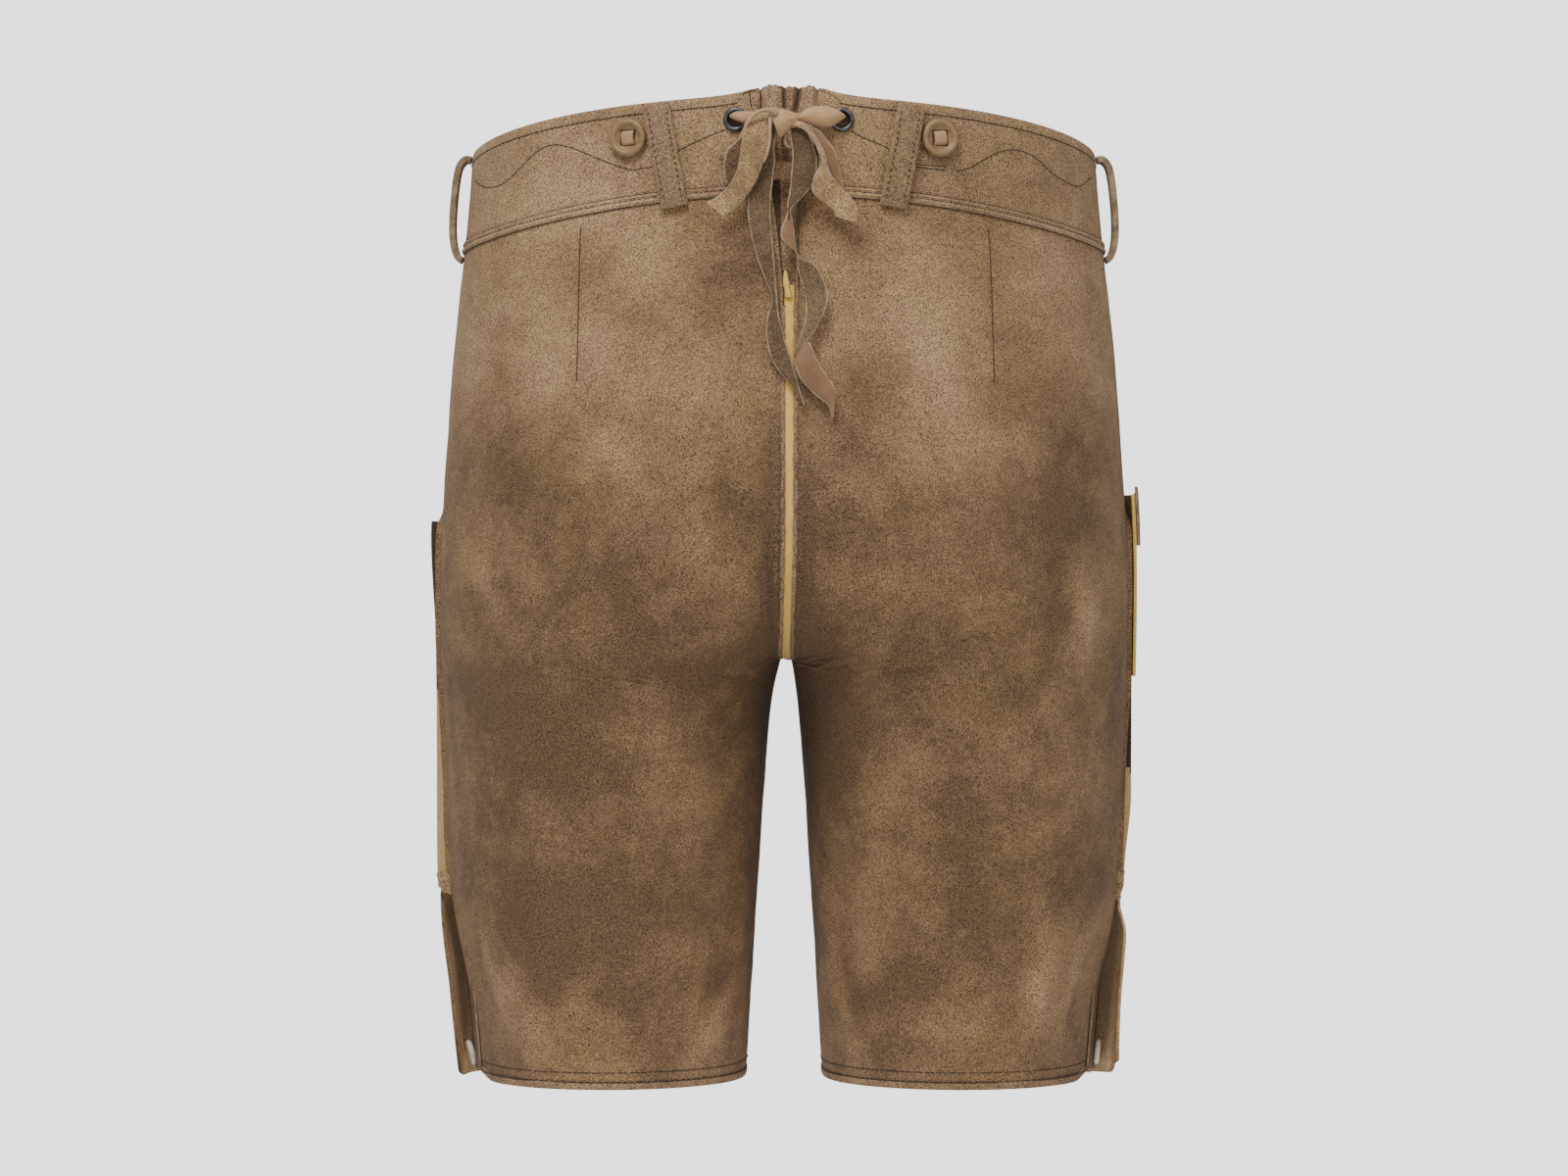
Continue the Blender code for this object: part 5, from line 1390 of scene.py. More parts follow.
def even(track: Track, step: float) -> Track:
    """A track with its points an even step apart.

    Args:
        track: places and normals along a line.
        step: the distance between points.

    Returns:
        The new track.
    """
    if len(track) < 2:
        return []
    places = np.array([p for p, _ in track])
    normals = np.array([n for _, n in track])
    runs = np.linalg.norm(np.diff(places, axis=0), axis=1)
    far = np.concatenate([[0.0], np.cumsum(runs)])
    stops = np.linspace(0, far[-1], max(2, round(far[-1] / step) + 1))
    points = [Vector([float(np.interp(s, far, places[:, k])) for k in range(3)]) for s in stops]
    looks = [Vector([float(np.interp(s, far, normals[:, k])) for k in range(3)]) for s in stops]
    return [(p, n.normalized()) for p, n in zip(points, looks)]


class Sewing:
    """Rows of stitches, and dark strips of painted shade for the grooves they are pulled into."""

    RINGS = ((0.12, 0.62, 0.3), (0.5, 1.0, 1.0), (0.88, 0.62, 0.3))
    CORNERS = 5

    def __init__(self, name: str, thread: object = DARK_THREAD, slot: str = "suede") -> None:
        """Starts with no rows.

        Args:
            name: the name of the pieces it makes.
            thread: the thread's finish.
            slot: the record's material slot.
        """
        self.name, self.thread, self.slot = name, thread, slot
        self.verts: list[Vector] = []
        self.faces: list[tuple[int, ...]] = []
        self.numbers: list[int] = []

    def row(self, track: Track, stitch: Stitch = PLAIN_STITCH) -> None:
        """Sews a row along a track.

        Args:
            track: places and normals on the leather.
            stitch: the stitch's size.
        """
        line = even(track, stitch.pitch)
        for (start, up), (end, _) in zip(line, line[1:]):
            self.add_stitch(start, end, up, stitch)
        if stitch.groove:
            self.add_groove(even(track, stitch.pitch / 2), stitch)

    def add_stitch(self, start: Vector, end: Vector, up: Vector, stitch: Stitch) -> None:
        """Adds one stitch.

        Args:
            start: where its pitch starts.
            end: where its pitch ends.
            up: the leather's normal.
            stitch: the stitch's size.
        """
        run = (end - start) * (stitch.length / stitch.pitch)
        across = up.cross(run).normalized()
        first = len(self.verts)
        self.verts.append(start - up * stitch.thick)
        for share, fat, rise in self.RINGS:
            middle = start + run * share + up * (stitch.proud + stitch.thick * rise * 0.6)
            for k in range(self.CORNERS):
                turn = 2 * math.pi * k / self.CORNERS
                side = across * math.cos(turn) + up * math.sin(turn)
                self.verts.append(middle + side * stitch.thick * fat)
        self.verts.append(start + run - up * stitch.thick)
        last, n = len(self.verts) - 1, self.CORNERS
        for k in range(n):
            j = (k + 1) % n
            self.put(0, first, first + 1 + j, first + 1 + k)
            for ring in range(len(self.RINGS) - 1):
                base = first + 1 + ring * n
                self.put(0, base + k, base + j, base + n + j, base + n + k)
            self.put(0, last, last - n + k, last - n + j)

    def add_groove(self, line: Track, stitch: Stitch) -> None:
        """Adds the pressed line under a row, as a thin dark closed strip of painted shade.

        Args:
            line: evenly spaced places and normals.
            stitch: the stitch's size.
        """
        first = len(self.verts)
        profile = ((-1.0, -0.00025), (-0.6, 0.00006), (0.6, 0.00006), (1.0, -0.00025))
        for k, (place, up) in enumerate(line):
            run = line[min(k + 1, len(line) - 1)][0] - line[max(k - 1, 0)][0]
            across = up.cross(run).normalized()
            for wide, high in profile:
                self.verts.append(place + across * wide * stitch.groove + up * high)
        for k in range(len(line) - 1):
            base = first + 4 * k
            for i in range(4):
                j = (i + 1) % 4
                self.put(1, base + i, base + j, base + 4 + j, base + 4 + i)
        self.put(1, first + 3, first + 2, first + 1, first)
        last = first + 4 * (len(line) - 1)
        self.put(1, last, last + 1, last + 2, last + 3)

    def put(self, number: int, *corners: int) -> None:
        """Adds a face.

        Args:
            number: 0 for thread and 1 for the groove's painted shade.
            corners: its corners' numbers.
        """
        self.faces.append(corners)
        self.numbers.append(number)

    def build(self) -> bpy.types.Object:
        """Makes one piece of all the rows.

        Returns:
            The piece.
        """
        mesh = bpy.data.meshes.new(self.name)
        mesh.from_pydata(self.verts, [], self.faces)
        piece = settle(self.name, mesh, self.thread, GROOVE_SHADE)
        mesh.polygons.foreach_set("material_index", self.numbers)
        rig.slot(piece, self.slot)
        LOG.info("%s: %d faces", self.name, len(self.faces))
        return piece


def tube(
    middles: Sequence[Vector], reach: Callable[[int, float], Vector], corners: int
) -> tuple[list[Vector], list[tuple[int, ...]]]:
    """A closed tube round a line.

    Args:
        middles: the line's points.
        reach: gives the way from a middle to a corner, from the middle's number and a share
            of the turn.
        corners: how many corners each ring has.

    Returns:
        Its corners and faces.
    """
    verts = [m + reach(i, k / corners) for i, m in enumerate(middles) for k in range(corners)]
    faces: list[tuple[int, ...]] = []
    for i in range(len(middles) - 1):
        for k in range(corners):
            j = (k + 1) % corners
            base, up = i * corners, (i + 1) * corners
            faces.append((base + k, base + j, up + j, up + k))
    faces.append(tuple(reversed(range(corners))))
    faces.append(tuple(range(len(verts) - corners, len(verts))))
    return verts, faces


def strand(
    line: Sequence[Vector], thick: float, taper: float = 0.3, corners: int = 5
) -> tuple[list[Vector], list[tuple[int, ...]]]:
    """A thin round strand that tapers to its ends.

    Args:
        line: its points.
        thick: its radius in the middle.
        taper: the share of the radius left at its ends.
        corners: how many corners each ring has.

    Returns:
        Its corners and faces.
    """
    last = len(line) - 1

    def reach(i: int, share: float) -> Vector:
        """The way from the strand's middle to a corner of its ring."""
        along = (line[min(i + 1, last)] - line[max(i - 1, 0)]).normalized()
        side = along.orthogonal().normalized()
        fat = thick * (taper + (1 - taper) * math.sin(math.pi * i / last) ** 0.6)
        return Matrix.Rotation(2 * math.pi * share, 3, along) @ side * fat

    return tube(line, reach, corners)


# Panels --------------------------------------------------------------------------------------


@dataclass
class Panels:
    """The four large panels of the seat, hips and legs, and the gusset behind the lacing."""

    back_cut: tuple[float, float] = (0.360, 0.500)
    back_area: float = 0.1445
    front_cut: tuple[float, float] = (0.350, 0.490)
    front_area: float = 0.1360
    gusset_cut: tuple[float, float] = (0.036, 0.114)
    shells: dict[str, bpy.types.Object] = field(default_factory=dict)

    def build(self) -> None:
        """Makes the panels and the gusset."""
        for word in SIDES:
            for face, cut, area, levels in (
                ("back", self.back_cut, self.back_area, 3),
                ("front", self.front_cut, self.front_area, 2),
            ):
                name = f"{face}_panel_{word}"
                self.shells[name] = Shell(
                    name, edge=FACING_SUEDE, levels=levels, flat=cut, area=area,
                    mould=tucked,
                ).build()
        self.shells["back_gusset"] = Shell(
            "back_gusset", outer=TRIM_SUEDE, uneven=False, crease=0.6,
            levels=4, mould=self.gather,
            flat=self.gusset_cut, held="gathered",
            rests_on=("shell_back_panel_left", "shell_back_panel_right"),
        ).build()

    @staticmethod
    def gather(points: np.ndarray) -> tuple[np.ndarray, np.ndarray]:
        """Pleats the gusset where the lace draws it in.

        Args:
            points: the gusset's points.

        Returns:
            The moved points and each point's tone: painted shade in the pleats' folds and painted highlight on their
            ridges.
        """
        x, z = points[:, 0], points[:, 2]
        tone = np.zeros(len(points))
        lift = np.zeros(len(points))
        for pleat in GUSSET_PLEATS:
            share = (z - pleat.z_low) / (pleat.z_high - pleat.z_low)
            away = (x - pleat.x_low - (pleat.x_high - pleat.x_low) * share) / pleat.breadth
            near = np.exp(-(away**2)) * (1 / (1 + np.exp(-np.minimum(share, 1.4 - share) * 14)))
            tone += pleat.tone * near
            lift += pleat.depth * near
        moved = points.copy()
        moved[:, 1] += lift
        top = rising(z, 0.044, 0.052)
        side = rising(np.abs(x + 0.0028), 0.0120, 0.0215)
        moved[:, 2] += top * (GUSSET_RISE - side * GUSSET_FALL)
        moved[:, 2] += top * GUSSET_RIPPLE * np.sin(x * GUSSET_RIPPLES) * (1 - side)
        return moved, tone

    def sew_gusset(self, *band: bpy.types.Object) -> None:
        """Sews the threads at the gusset's top and the row beside the slit.

        Args:
            band: the waistband's shells beside the gusset.
        """
        skin = Skin([self.shells["back_gusset"], *band])
        dark = Sewing("gusset_sewing")
        pale = Sewing("gusset_pale_sewing", LIGHT_THREAD)
        for rows, line, sway, stitch in (
            (dark, ((0.0236, 0.0510), (0.0153, 0.0535)), 0.0008, LOOSE_STITCH),
            (dark, ((0.0197, 0.0520), (0.0185, 0.0435)), 0.0, PLAIN_STITCH),
            (pale, ((-0.0180, 0.0540), (-0.0250, 0.0518), (-0.0314, 0.0480)), 0.0007,
             LOOSE_STITCH),
        ):
            track = []
            for k, (x, z) in enumerate(smooth_flat(line, 12)):
                found = skin.square_on(x, z + sway * (-1) ** k)
                if found:
                    track.append(found)
            rows.row(track, stitch)
        back = self.skin("back")
        track = [back.square_on(-0.0082, float(z)) for z in np.linspace(-0.0110, -0.0600, 16)]
        dark.row([t for t in track if t], FINE_STITCH)
        dark.build()
        pale.build()

    def skin(self, face: str) -> Skin:
        """The outer faces of the back or front panels.

        Args:
            face: "back" or "front".

        Returns:
            The skin.
        """
        return Skin(self.shells[f"{face}_panel_{word}"] for word in SIDES)

    def sew(self) -> None:
        """Sews the two darts."""
        skin = self.skin("back")
        darts = Sewing("dart_sewing")
        for line in (
            ((592.5, 231), (591, 260), (589, 350), (588, 390)),
            ((1007.7, 234.5), (1010, 260), (1013, 350), (1014, 390)),
        ):
            track = [skin.seen(*pixel) for pixel in smooth_flat(line, 12)]
            darts.row([t for t in track if t], DART_STITCH)
        darts.build()


def smooth_flat(points: Sequence[tuple[float, ...]], steps: int) -> list[tuple[float, ...]]:
    """A smooth line through a few points.

    Args:
        points: the points, with any number of values each.
        steps: how many steps each stretch gets.

    Returns:
        The line's points.
    """
    rows = np.array([points[0], *points, points[-1]], dtype=float)
    rows[0] = 2 * rows[1] - rows[2]
    rows[-1] = 2 * rows[-2] - rows[-3]
    line = []
    for a, b, c, d in zip(rows, rows[1:], rows[2:], rows[3:]):
        for k in range(steps):
            t = k / steps
            line.append(tuple(0.5 * (
                2 * b + (c - a) * t + (2 * a - 5 * b + 4 * c - d) * t**2
                + (3 * b - a - 3 * c + d) * t**3
            )))
    return [*line, tuple(float(v) for v in points[-1])]


# Waistband -----------------------------------------------------------------------------------


@dataclass
class Waistband:
    """The waistband, the piped strip under it and the belt loops."""

    top_row: float = 0.0060
    band_cut: tuple[float, float] = (0.240, 0.056)
    strip_cut: tuple[float, float] = (0.240, 0.012)
    strip_area: float = 0.0018
    back_loop_cut: tuple[float, float] = (0.0155, 0.075)
    side_loop_cut: tuple[float, float] = (0.015, 0.088)
    wave: tuple[tuple[float, float], ...] = (
        (484, 184.5), (495, 191), (512, 188), (530, 172), (547, 155), (563, 148), (580, 150),
        (600, 158), (620, 166), (641, 173), (655, 172), (665, 170), (680.4, 161.2), (695, 152),
        (718, 141), (740, 132),
    )
    wave_start: tuple[tuple[float, float], ...] = (
        (868, 134), (886, 143), (903, 150), (927.7, 165.8), (966, 170),
    )
    wave_end: tuple[tuple[float, float], ...] = (
        (975, 175), (990, 171), (1005, 162), (1020, 155), (1037, 153), (1055, 160),
        (1075, 178), (1097, 190), (1106, 187), (1113, 181),
    )
    short_row: tuple[tuple[float, float], ...] = (
        (929.2, 169.9), (941.3, 171.3), (953.7, 172.7), (965.2, 173.8),
    )
    loop_line: tuple[tuple[float, float], ...] = (
        (670, 113.5), (672, 127), (676, 149), (680.5, 172.5), (684, 191.5), (685.5, 199.5),
        (687, 205),
    )
    loop_depth: float = 0.1145
    loop_row: float = 0.0052
    shells: dict[str, bpy.types.Object] = field(default_factory=dict)

    def build(self) -> None:
        """Makes the band, the strip and the loops."""
        for word in SIDES:
            for face in ("back", "front"):
                self.shell(f"waistband_{face}_{word}", BAND_SUEDE, self.band_cut,
                           mould=raised, rests_on=(f"shell_{face}_panel_{word}",))
                self.shell(f"waist_piping_{face}_{word}", TRIM_SUEDE, self.strip_cut,
                           area=self.strip_area, slot="edge_suede", edge=TRIM_SUEDE,
                           rests_on=(f"shell_waistband_{face}_{word}",))
            self.shell(f"belt_loop_back_{word}", LOOP_SUEDE, self.back_loop_cut,
                       uneven=False, levels=3, slot="edge_suede",
                       rests_on=(f"shell_waistband_back_{word}",))
            self.shell(f"belt_loop_side_{word}", TRIM_SUEDE, self.side_loop_cut,
                       uneven=False, levels=3, slot="edge_suede",
                       rests_on=(f"shell_waistband_back_{word}",))

    def shell(self, node: str, finish: object, cut: tuple[float, float], **more: object) -> None:
        """Makes one of the band's shells.

        Args:
            node: its node.
            finish: its outer finish.
            cut: its flat size.
            more: the shell's other fields.
        """
        self.shells[node] = Shell(
            node, outer=finish, flat=cut, **more
        ).build()

    def skin(self, *starts: str) -> Skin:
        """The faces of the shells whose names start in a given way.

        Args:
            starts: the starts of the names.

        Returns:
            The skin.
        """
        return Skin(p for n, p in self.shells.items() if n.startswith(starts))

    def sew(self) -> None:
        """Sews the band's top row, its wavy line, the strip's rows and the loops."""
        band = self.skin("waistband")
        rows = Sewing("waistband_sewing")
        for start, end in ((-89.5, 81.8), (99.7, 269.5)):
            track = []
            for turn in np.linspace(start, end, 170):
                low = 0.047 if 74 < turn < 106 else 0.015
                top = band.end(float(turn), low, 0.09, True)
                found = top and band.round_about(float(turn), top - self.top_row)
                if found:
                    track.append(found)
            rows.row(track, PLAIN_STITCH)
        for line, stitch in (
            (self.wave, BARE_GROOVE), (self.wave_start, BARE_GROOVE),
            (self.wave_end, BARE_GROOVE), (self.short_row, PLAIN_STITCH),
        ):
            track = [band.seen(*pixel) for pixel in smooth_flat(line, 6)]
            rows.row([t for t in track if t], stitch)
        rows.build()
        self.sew_strip()
        self.sew_loops()

    def sew_strip(self) -> None:
        """Sews the rows above, between and below the strip's two ridges."""
        strip = self.skin("waist_piping")
        rows = Sewing("waist_strip_sewing", slot="edge_suede")
        for start, end in ((-89.0, 84.5), (95.5, 269.0)):
            tracks: list[Track] = [[], [], []]
            for turn in np.linspace(start, end, 200):
                low = self.scan(strip, float(turn), -1)
                high = self.scan(strip, float(turn), 1)
                if low is None or high is None:
                    continue
                for track, share in zip(tracks, (0.03, 0.575, 0.97)):
                    found = strip.round_about(float(turn), low + (high - low) * share)
                    if found:
                        track.append(found)
            for track in tracks:
                rows.row(track, FINE_STITCH)
        rows.build()

    @staticmethod
    def scan(strip: Skin, turn: float, way: int) -> float | None:
        """Finds an end of the strip at a given turn.

        Args:
            strip: the strip's faces.
            turn: degrees from the wearer's left.
            way: 1 for its top end and -1 for its bottom end.

        Returns:
            The height, or None.
        """
        heights = np.arange(-0.034, 0.022, 0.0012)
        met = [float(z) for z in heights if strip.round_about(turn, float(z))]
        if not met:
            return None
        edge = max(met) if way > 0 else min(met)
        beyond = edge + way * 0.0014
        ends = (edge, beyond) if way > 0 else (beyond, edge)
        return strip.end(turn, *ends, way > 0)

    def sew_loops(self) -> None:
        """Sews two rows down each of the back loops."""
        rows = Sewing("belt_loop_sewing", slot="edge_suede")
        middle = smooth_flat([VIEW.spot(*pixel, self.loop_depth) for pixel in self.loop_line], 4)
        for word, side in SIDES.items():
            skin = Skin([self.shells["belt_loop_back_" + word]])
            for row in (-self.loop_row, self.loop_row):
                track = [skin.square_on(side * x + row, z) for x, _, z in middle]
                rows.row([t for t in track if t], BOLD_STITCH)
        rows.build()


# Lace ----------------------------------------------------------------------------------------


Row = tuple[float, float, float, float, float, float]  # x, y, z of the left and the right edge
Seen = tuple[float, float, float, float, float, float]  # column, row and depth of the two edges
Hang = tuple[float, ...]  # their columns and rows, and perhaps how far behind a route they lie
LOOSE_DEPTH = 0.135  # about how far back the lace's ends hang
KNOT_SHADOW = -0.5  # the right hanging end's tone under the knot: painted shadow
LIGHTER_DOWN = 1.3  # how much lighter it is painted lower down, out of the knot's shadow
EDGE_STEP = 0.0002  # how far a hanging end's right edge lies behind its middle


def placed(rows: Iterable[Seen]) -> tuple[Row, ...]:
    """Places a strap's rows, given by the pixels and the depths of their two ends.

    Args:
        rows: the column, row and depth of the left edge, then of the right edge.

    Returns:
        The same places in metres, to a tenth of a millimetre.
    """
    pairs = ((*VIEW.spot(*row[:3]), *VIEW.spot(*row[3:])) for row in rows)
    return tuple(tuple(round(value, 4) for value in pair) for pair in pairs)


def hung_along(route: Sequence[Point], rows: Iterable[Hang]) -> tuple[Row, ...]:
    """Places a hanging strap's rows at the depth of its route.

    Args:
        route: the points of the strap's middle.
        rows: the column and row of the left edge, then of the right edge, and how far behind
            the route each edge lies, where it isn't the usual step.

    Returns:
        The places in metres.
    """
    heights, depths = [p[2] for p in reversed(route)], [p[1] for p in reversed(route)]

    def depth(row: float) -> float:
        """The route's depth at a row of the frame."""
        return float(np.interp(VIEW.spot(0, row, LOOSE_DEPTH)[2], heights, depths))

    found = []
    for left, up, right, down, *steps in rows:
        behind, before = steps or (-EDGE_STEP, EDGE_STEP)
        found.append((left, up, depth(up) + behind, right, down, depth(down) + before))
    return placed(found)


@dataclass(frozen=True)
class Strap:
    """A strap of leather between two edge lines; a row gives the left and the right edge."""

    name: str
    rows: tuple[Row, ...]
    node: str | None = None
    cut: tuple[float, float] | None = None
    area: float | None = None
    held: str = "folded"
    front: object = LACE_SUEDE
    back: object = LACE_GRAIN
    edge: object = LACE_EDGE
    slot: str = "lace_leather"
    turns: tuple[int, ...] = ()
    bulge: float = 0.0007
    thick: float = 0.0014
    bevel: float = 0.0008
    creases: float = 0.0
    ragged: float = 0.00022
    sharp: float = 48.0
    steps: int = 6

    PLACES = (0.0, 0.34, 0.68, 1.0)  # where the face's points lie, as a share of its half

    def build(self) -> bpy.types.Object:
        """Makes the strap.

        Returns:
            The piece.
        """
        return self.finish(*self.mesh())

    def finish(
        self, verts: list[Vector], faces: list[tuple[int, ...]], numbers: list[int],
        tone: Callable[[np.ndarray], np.ndarray] | None = None,
    ) -> bpy.types.Object:
        """Turns corners and faces into the piece.

        Args:
            verts: the corners.
            faces: the faces, which this turns to look out.
            numbers: each face's material number.
            tone: gives each corner's tone from its height, or None for an even tone.

        Returns:
            The piece.
        """
        mesh = bpy.data.meshes.new(self.name)
        mesh.from_pydata(verts, [], faces)
        mesh.polygons.foreach_set("material_index", numbers)
        form = bmesh.new()
        form.from_mesh(mesh)
        bmesh.ops.recalc_face_normals(form, faces=form.faces)
        form.to_mesh(mesh)
        form.free()
        if tone:
            heights = np.array([v.co.z for v in mesh.vertices])
            shades = mesh.attributes.new("tone", "FLOAT", "POINT")
            shades.data.foreach_set("value", tone(heights).astype(np.float32))
        piece = settle(self.name, mesh, self.front, self.back, self.edge)
        mesh.set_sharp_from_angle(angle=math.radians(self.sharp))
        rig.slot(piece, self.slot)
        if self.node:
            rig.replaces(piece, self.node)
        LOG.info("%s: %d faces", self.name, len(faces))
        return piece

    def mesh(self) -> tuple[list[Vector], list[tuple[int, ...]], list[int]]:
        """The strap's corners, faces and material numbers."""
        line = smooth_flat(self.rows, self.steps)
        last = len(line) - 1
        verts: list[Vector] = []
        shares: list[float] = []
        for k, row in enumerate(line):
            left, right = Vector(row[:3]), Vector(row[3:])
            before, after = line[max(k - 1, 0)], line[min(k + 1, last)]
            along = Vector(after[:3]) + Vector(after[3:]) - Vector(before[:3]) - Vector(before[3:])
            across = right - left
            up = along.cross(across).normalized()
            way = across.normalized()
            left += way * self.ragged * noise.noise(left * 260)
            right += way * self.ragged * noise.noise(right * 260 + Vector((7, 7, 7)))
            half = (right - left).length / 2
            inner = 1 - min(0.42, self.bevel / max(half, 1e-5))
            shares = [-1.0, *(-inner * p for p in reversed(self.PLACES[1:]))]
            shares += [inner * p for p in self.PLACES] + [1.0]
            rise = min(self.bulge, half * 0.62)
            middle = (left + right) / 2
            for side, order in ((1, shares), (-1, shares[::-1])):
                for t in order:
                    high = rise * (1 - t * t) + side * self.thick * (0.5 if abs(t) < 1 else 0.14)
                    if self.creases and side > 0 and abs(t) < 1:
                        high += self.creases * (0.3 + 0.7 * k / last) * math.cos(t * 9.5 + 0.6)
                    verts.append(middle + way * half * t + up * high)
        ring = 2 * len(shares)
        faces: list[tuple[int, ...]] = []
        numbers: list[int] = []
        for k in range(last):
            turned = sum(k >= t * self.steps for t in self.turns) % 2
            for i in range(ring):
                j = (i + 1) % ring
                base, more = k * ring, (k + 1) * ring
                faces.append((base + i, base + j, more + j, more + i))
                place = i % (ring // 2)
                if place in (0, ring // 2 - 2, ring // 2 - 1):
                    numbers.append(2)
                else:
                    numbers.append((i >= ring // 2) ^ turned)
        faces += [tuple(range(ring)), tuple(range(last * ring, last * ring + ring))]
        numbers += [2, 2]
        return verts, faces, [int(n) for n in numbers]


@dataclass
class Lace:
    """The leather lace: two hanging ends that are free, the short ends, the stretches, the knot."""

    short_left: tuple[Seen, ...] = (
        (771, 116, 0.1262, 786.5, 114, 0.1262), (765.5, 121, 0.1300, 786, 119, 0.1290),
        (761, 129, 0.1332, 785.5, 128, 0.1322), (757.5, 138, 0.1340, 785, 140, 0.1335),
        (755, 150, 0.1334, 783.5, 152, 0.1335), (753.5, 163, 0.1322, 779.5, 163, 0.1325),
        (750, 176, 0.1310, 774.5, 177, 0.1312), (743.5, 188, 0.1300, 768.5, 190, 0.1303),
        (735, 197.5, 0.1292, 760, 202.5, 0.1297), (726.5, 203, 0.1286, 749, 213, 0.1290),
        (720.5, 206, 0.1282, 738, 221.5, 0.1285),
    )
    short_left_fold: tuple[Seen, ...] = (
        (783.2, 120, 0.1328, 786.8, 120, 0.1325), (783, 133, 0.1345, 787, 133, 0.1342),
        (782.4, 145, 0.1348, 786.4, 145, 0.1345), (780.3, 156, 0.1342, 784, 156, 0.1340),
        (777.2, 165, 0.1334, 779.8, 166, 0.1332),
    )
    arch: tuple[Seen, ...] = (
        (792, 110.4, 0.1312, 790.5, 119, 0.1318), (785, 109.7, 0.1335, 786, 115.2, 0.1338),
        (778, 110.1, 0.1350, 778.5, 114.4, 0.1350), (771, 112.8, 0.1356, 773, 116.6, 0.1356),
        (765, 117.6, 0.1352, 768.2, 121.2, 0.1352), (760.2, 124.3, 0.1342, 764, 127.6, 0.1342),
        (757.2, 132, 0.1326, 761, 134.4, 0.1328), (753.2, 140, 0.1304, 757.2, 142, 0.1306),
    )
    behind_left: tuple[Seen, ...] = (
        (760, 128, 0.1262, 777, 131, 0.1257), (755.5, 137.5, 0.1252, 775, 140, 0.1244),
        (749.5, 144.8, 0.1238, 773, 149, 0.1232), (743, 150.8, 0.1228, 768, 158, 0.1224),
        (739.2, 159, 0.1220, 764, 168, 0.1216), (737.8, 170, 0.1214, 761, 178, 0.1210),
        (738.6, 182, 0.1210, 757, 187, 0.1207),
    )
    hanging_left: tuple[Hang, ...] = (
        (779, 128, 793, 126), (775, 140, 791, 142),
        (768, 152, 789.5, 152), (765, 163, 790.8, 162),
        (764.5, 175, 789.6, 174), (763.5, 190, 788, 188),
        (762.6, 207, 786.2, 204), (762.8, 220, 786, 219),
        (765, 236, 787, 235), (768.5, 252, 788.3, 252),
        (774, 270, 790, 270), (781, 287, 791.4, 287, -0.0003, 0.0003),
        (787, 303, 792.6, 303, -0.0005, 0.0003), (784, 318, 793.8, 317, -0.0003, 0.0004),
        (781.2, 331, 797, 333), (781.8, 346, 801, 348),
        (785, 363, 806, 364), (792, 376, 810, 378),
        (800.5, 386, 813.5, 390), (809.5, 397, 816.8, 401),
        (817.5, 412, 820.5, 414),
    )
    hanging_right: tuple[Hang, ...] = (
        (806, 129, 822, 131), (805.5, 135, 826, 139),
        (806.5, 146, 830, 150), (808, 157, 833, 162),
        (807, 172, 833, 173), (806, 184, 830.8, 182.5),
        (805, 196, 826, 192.5), (803, 208, 816, 203.5),
        (803.3, 214, 806.8, 214), (799.8, 225, 808, 224, 0.0006, -0.0006),
        (795.8, 235, 810, 236, 0.0008, -0.0008), (797, 243.5, 811, 246, 0.0008, -0.0008),
        (803.5, 250.5, 812, 253, 0.0006, -0.0004), (810.3, 256, 812.6, 257.5, 0.0004, 0.0000),
        (812.3, 264, 820, 264.3), (813, 272, 832, 272, -0.0008, 0.0006),
        (815, 281, 838.5, 282, -0.0008, 0.0008), (818.5, 292, 843.2, 294, -0.0008, 0.0008),
        (821.3, 303.5, 844.3, 305, -0.0006, 0.0008), (822, 317, 841.8, 316),
        (820.2, 329, 836.5, 328), (816, 342, 828.5, 341.5),
        (812, 354, 818, 354), (809.3, 362, 812.5, 361),
    )
    right_tail: tuple[Hang, ...] = (
        (809.8, 363, 822, 346, -0.0012, -0.0012), (810.2, 367, 827, 352, -0.0010, -0.0008),
        (811.8, 376, 832, 364, -0.0004, -0.0002), (817, 388, 838.5, 376),
        (827, 399, 846, 387), (836.8, 407.7, 850.5, 394),
        (844.5, 414, 852.3, 402), (846.6, 419, 851.6, 411),
        (847, 425.5, 850, 425.5),
    )
    short_right: tuple[Seen, ...] = (
        (806.5, 131, 0.1262, 813.5, 122.5, 0.1262), (814, 129.8, 0.1290, 821.5, 126.2, 0.1284),
        (822.5, 134.5, 0.1310, 828.5, 133.5, 0.1300), (829, 144, 0.1325, 834, 142, 0.1310),
        (834.2, 153.5, 0.1330, 839, 151, 0.1315), (836.5, 162, 0.1326, 843, 162, 0.1315),
        (834.2, 172, 0.1320, 846, 175, 0.1312), (829, 183, 0.1313, 853, 185, 0.1306),
        (828.1, 194, 0.1306, 862, 195, 0.1300), (834, 202.5, 0.1301, 869.5, 203.5, 0.1294),
        (842.5, 209, 0.1297, 874, 211, 0.1290), (849.5, 215.5, 0.1294, 875.5, 219, 0.1287),
        (852.5, 221, 0.1291, 874.8, 228, 0.1285),
    )
    behind_right: tuple[Seen, ...] = (
        (818, 128, 0.1238, 825, 126.6, 0.1238), (828, 139, 0.1230, 837, 134.4, 0.1227),
        (834, 149, 0.1224, 844.6, 143.8, 0.1220), (838.5, 159, 0.1219, 850.6, 152.6, 0.1215),
        (844, 171, 0.1215, 854.6, 163.8, 0.1210), (849, 184, 0.1211, 857.2, 177, 0.1206),
        (854, 194, 0.1209, 860.5, 190.3, 0.1204),
    )
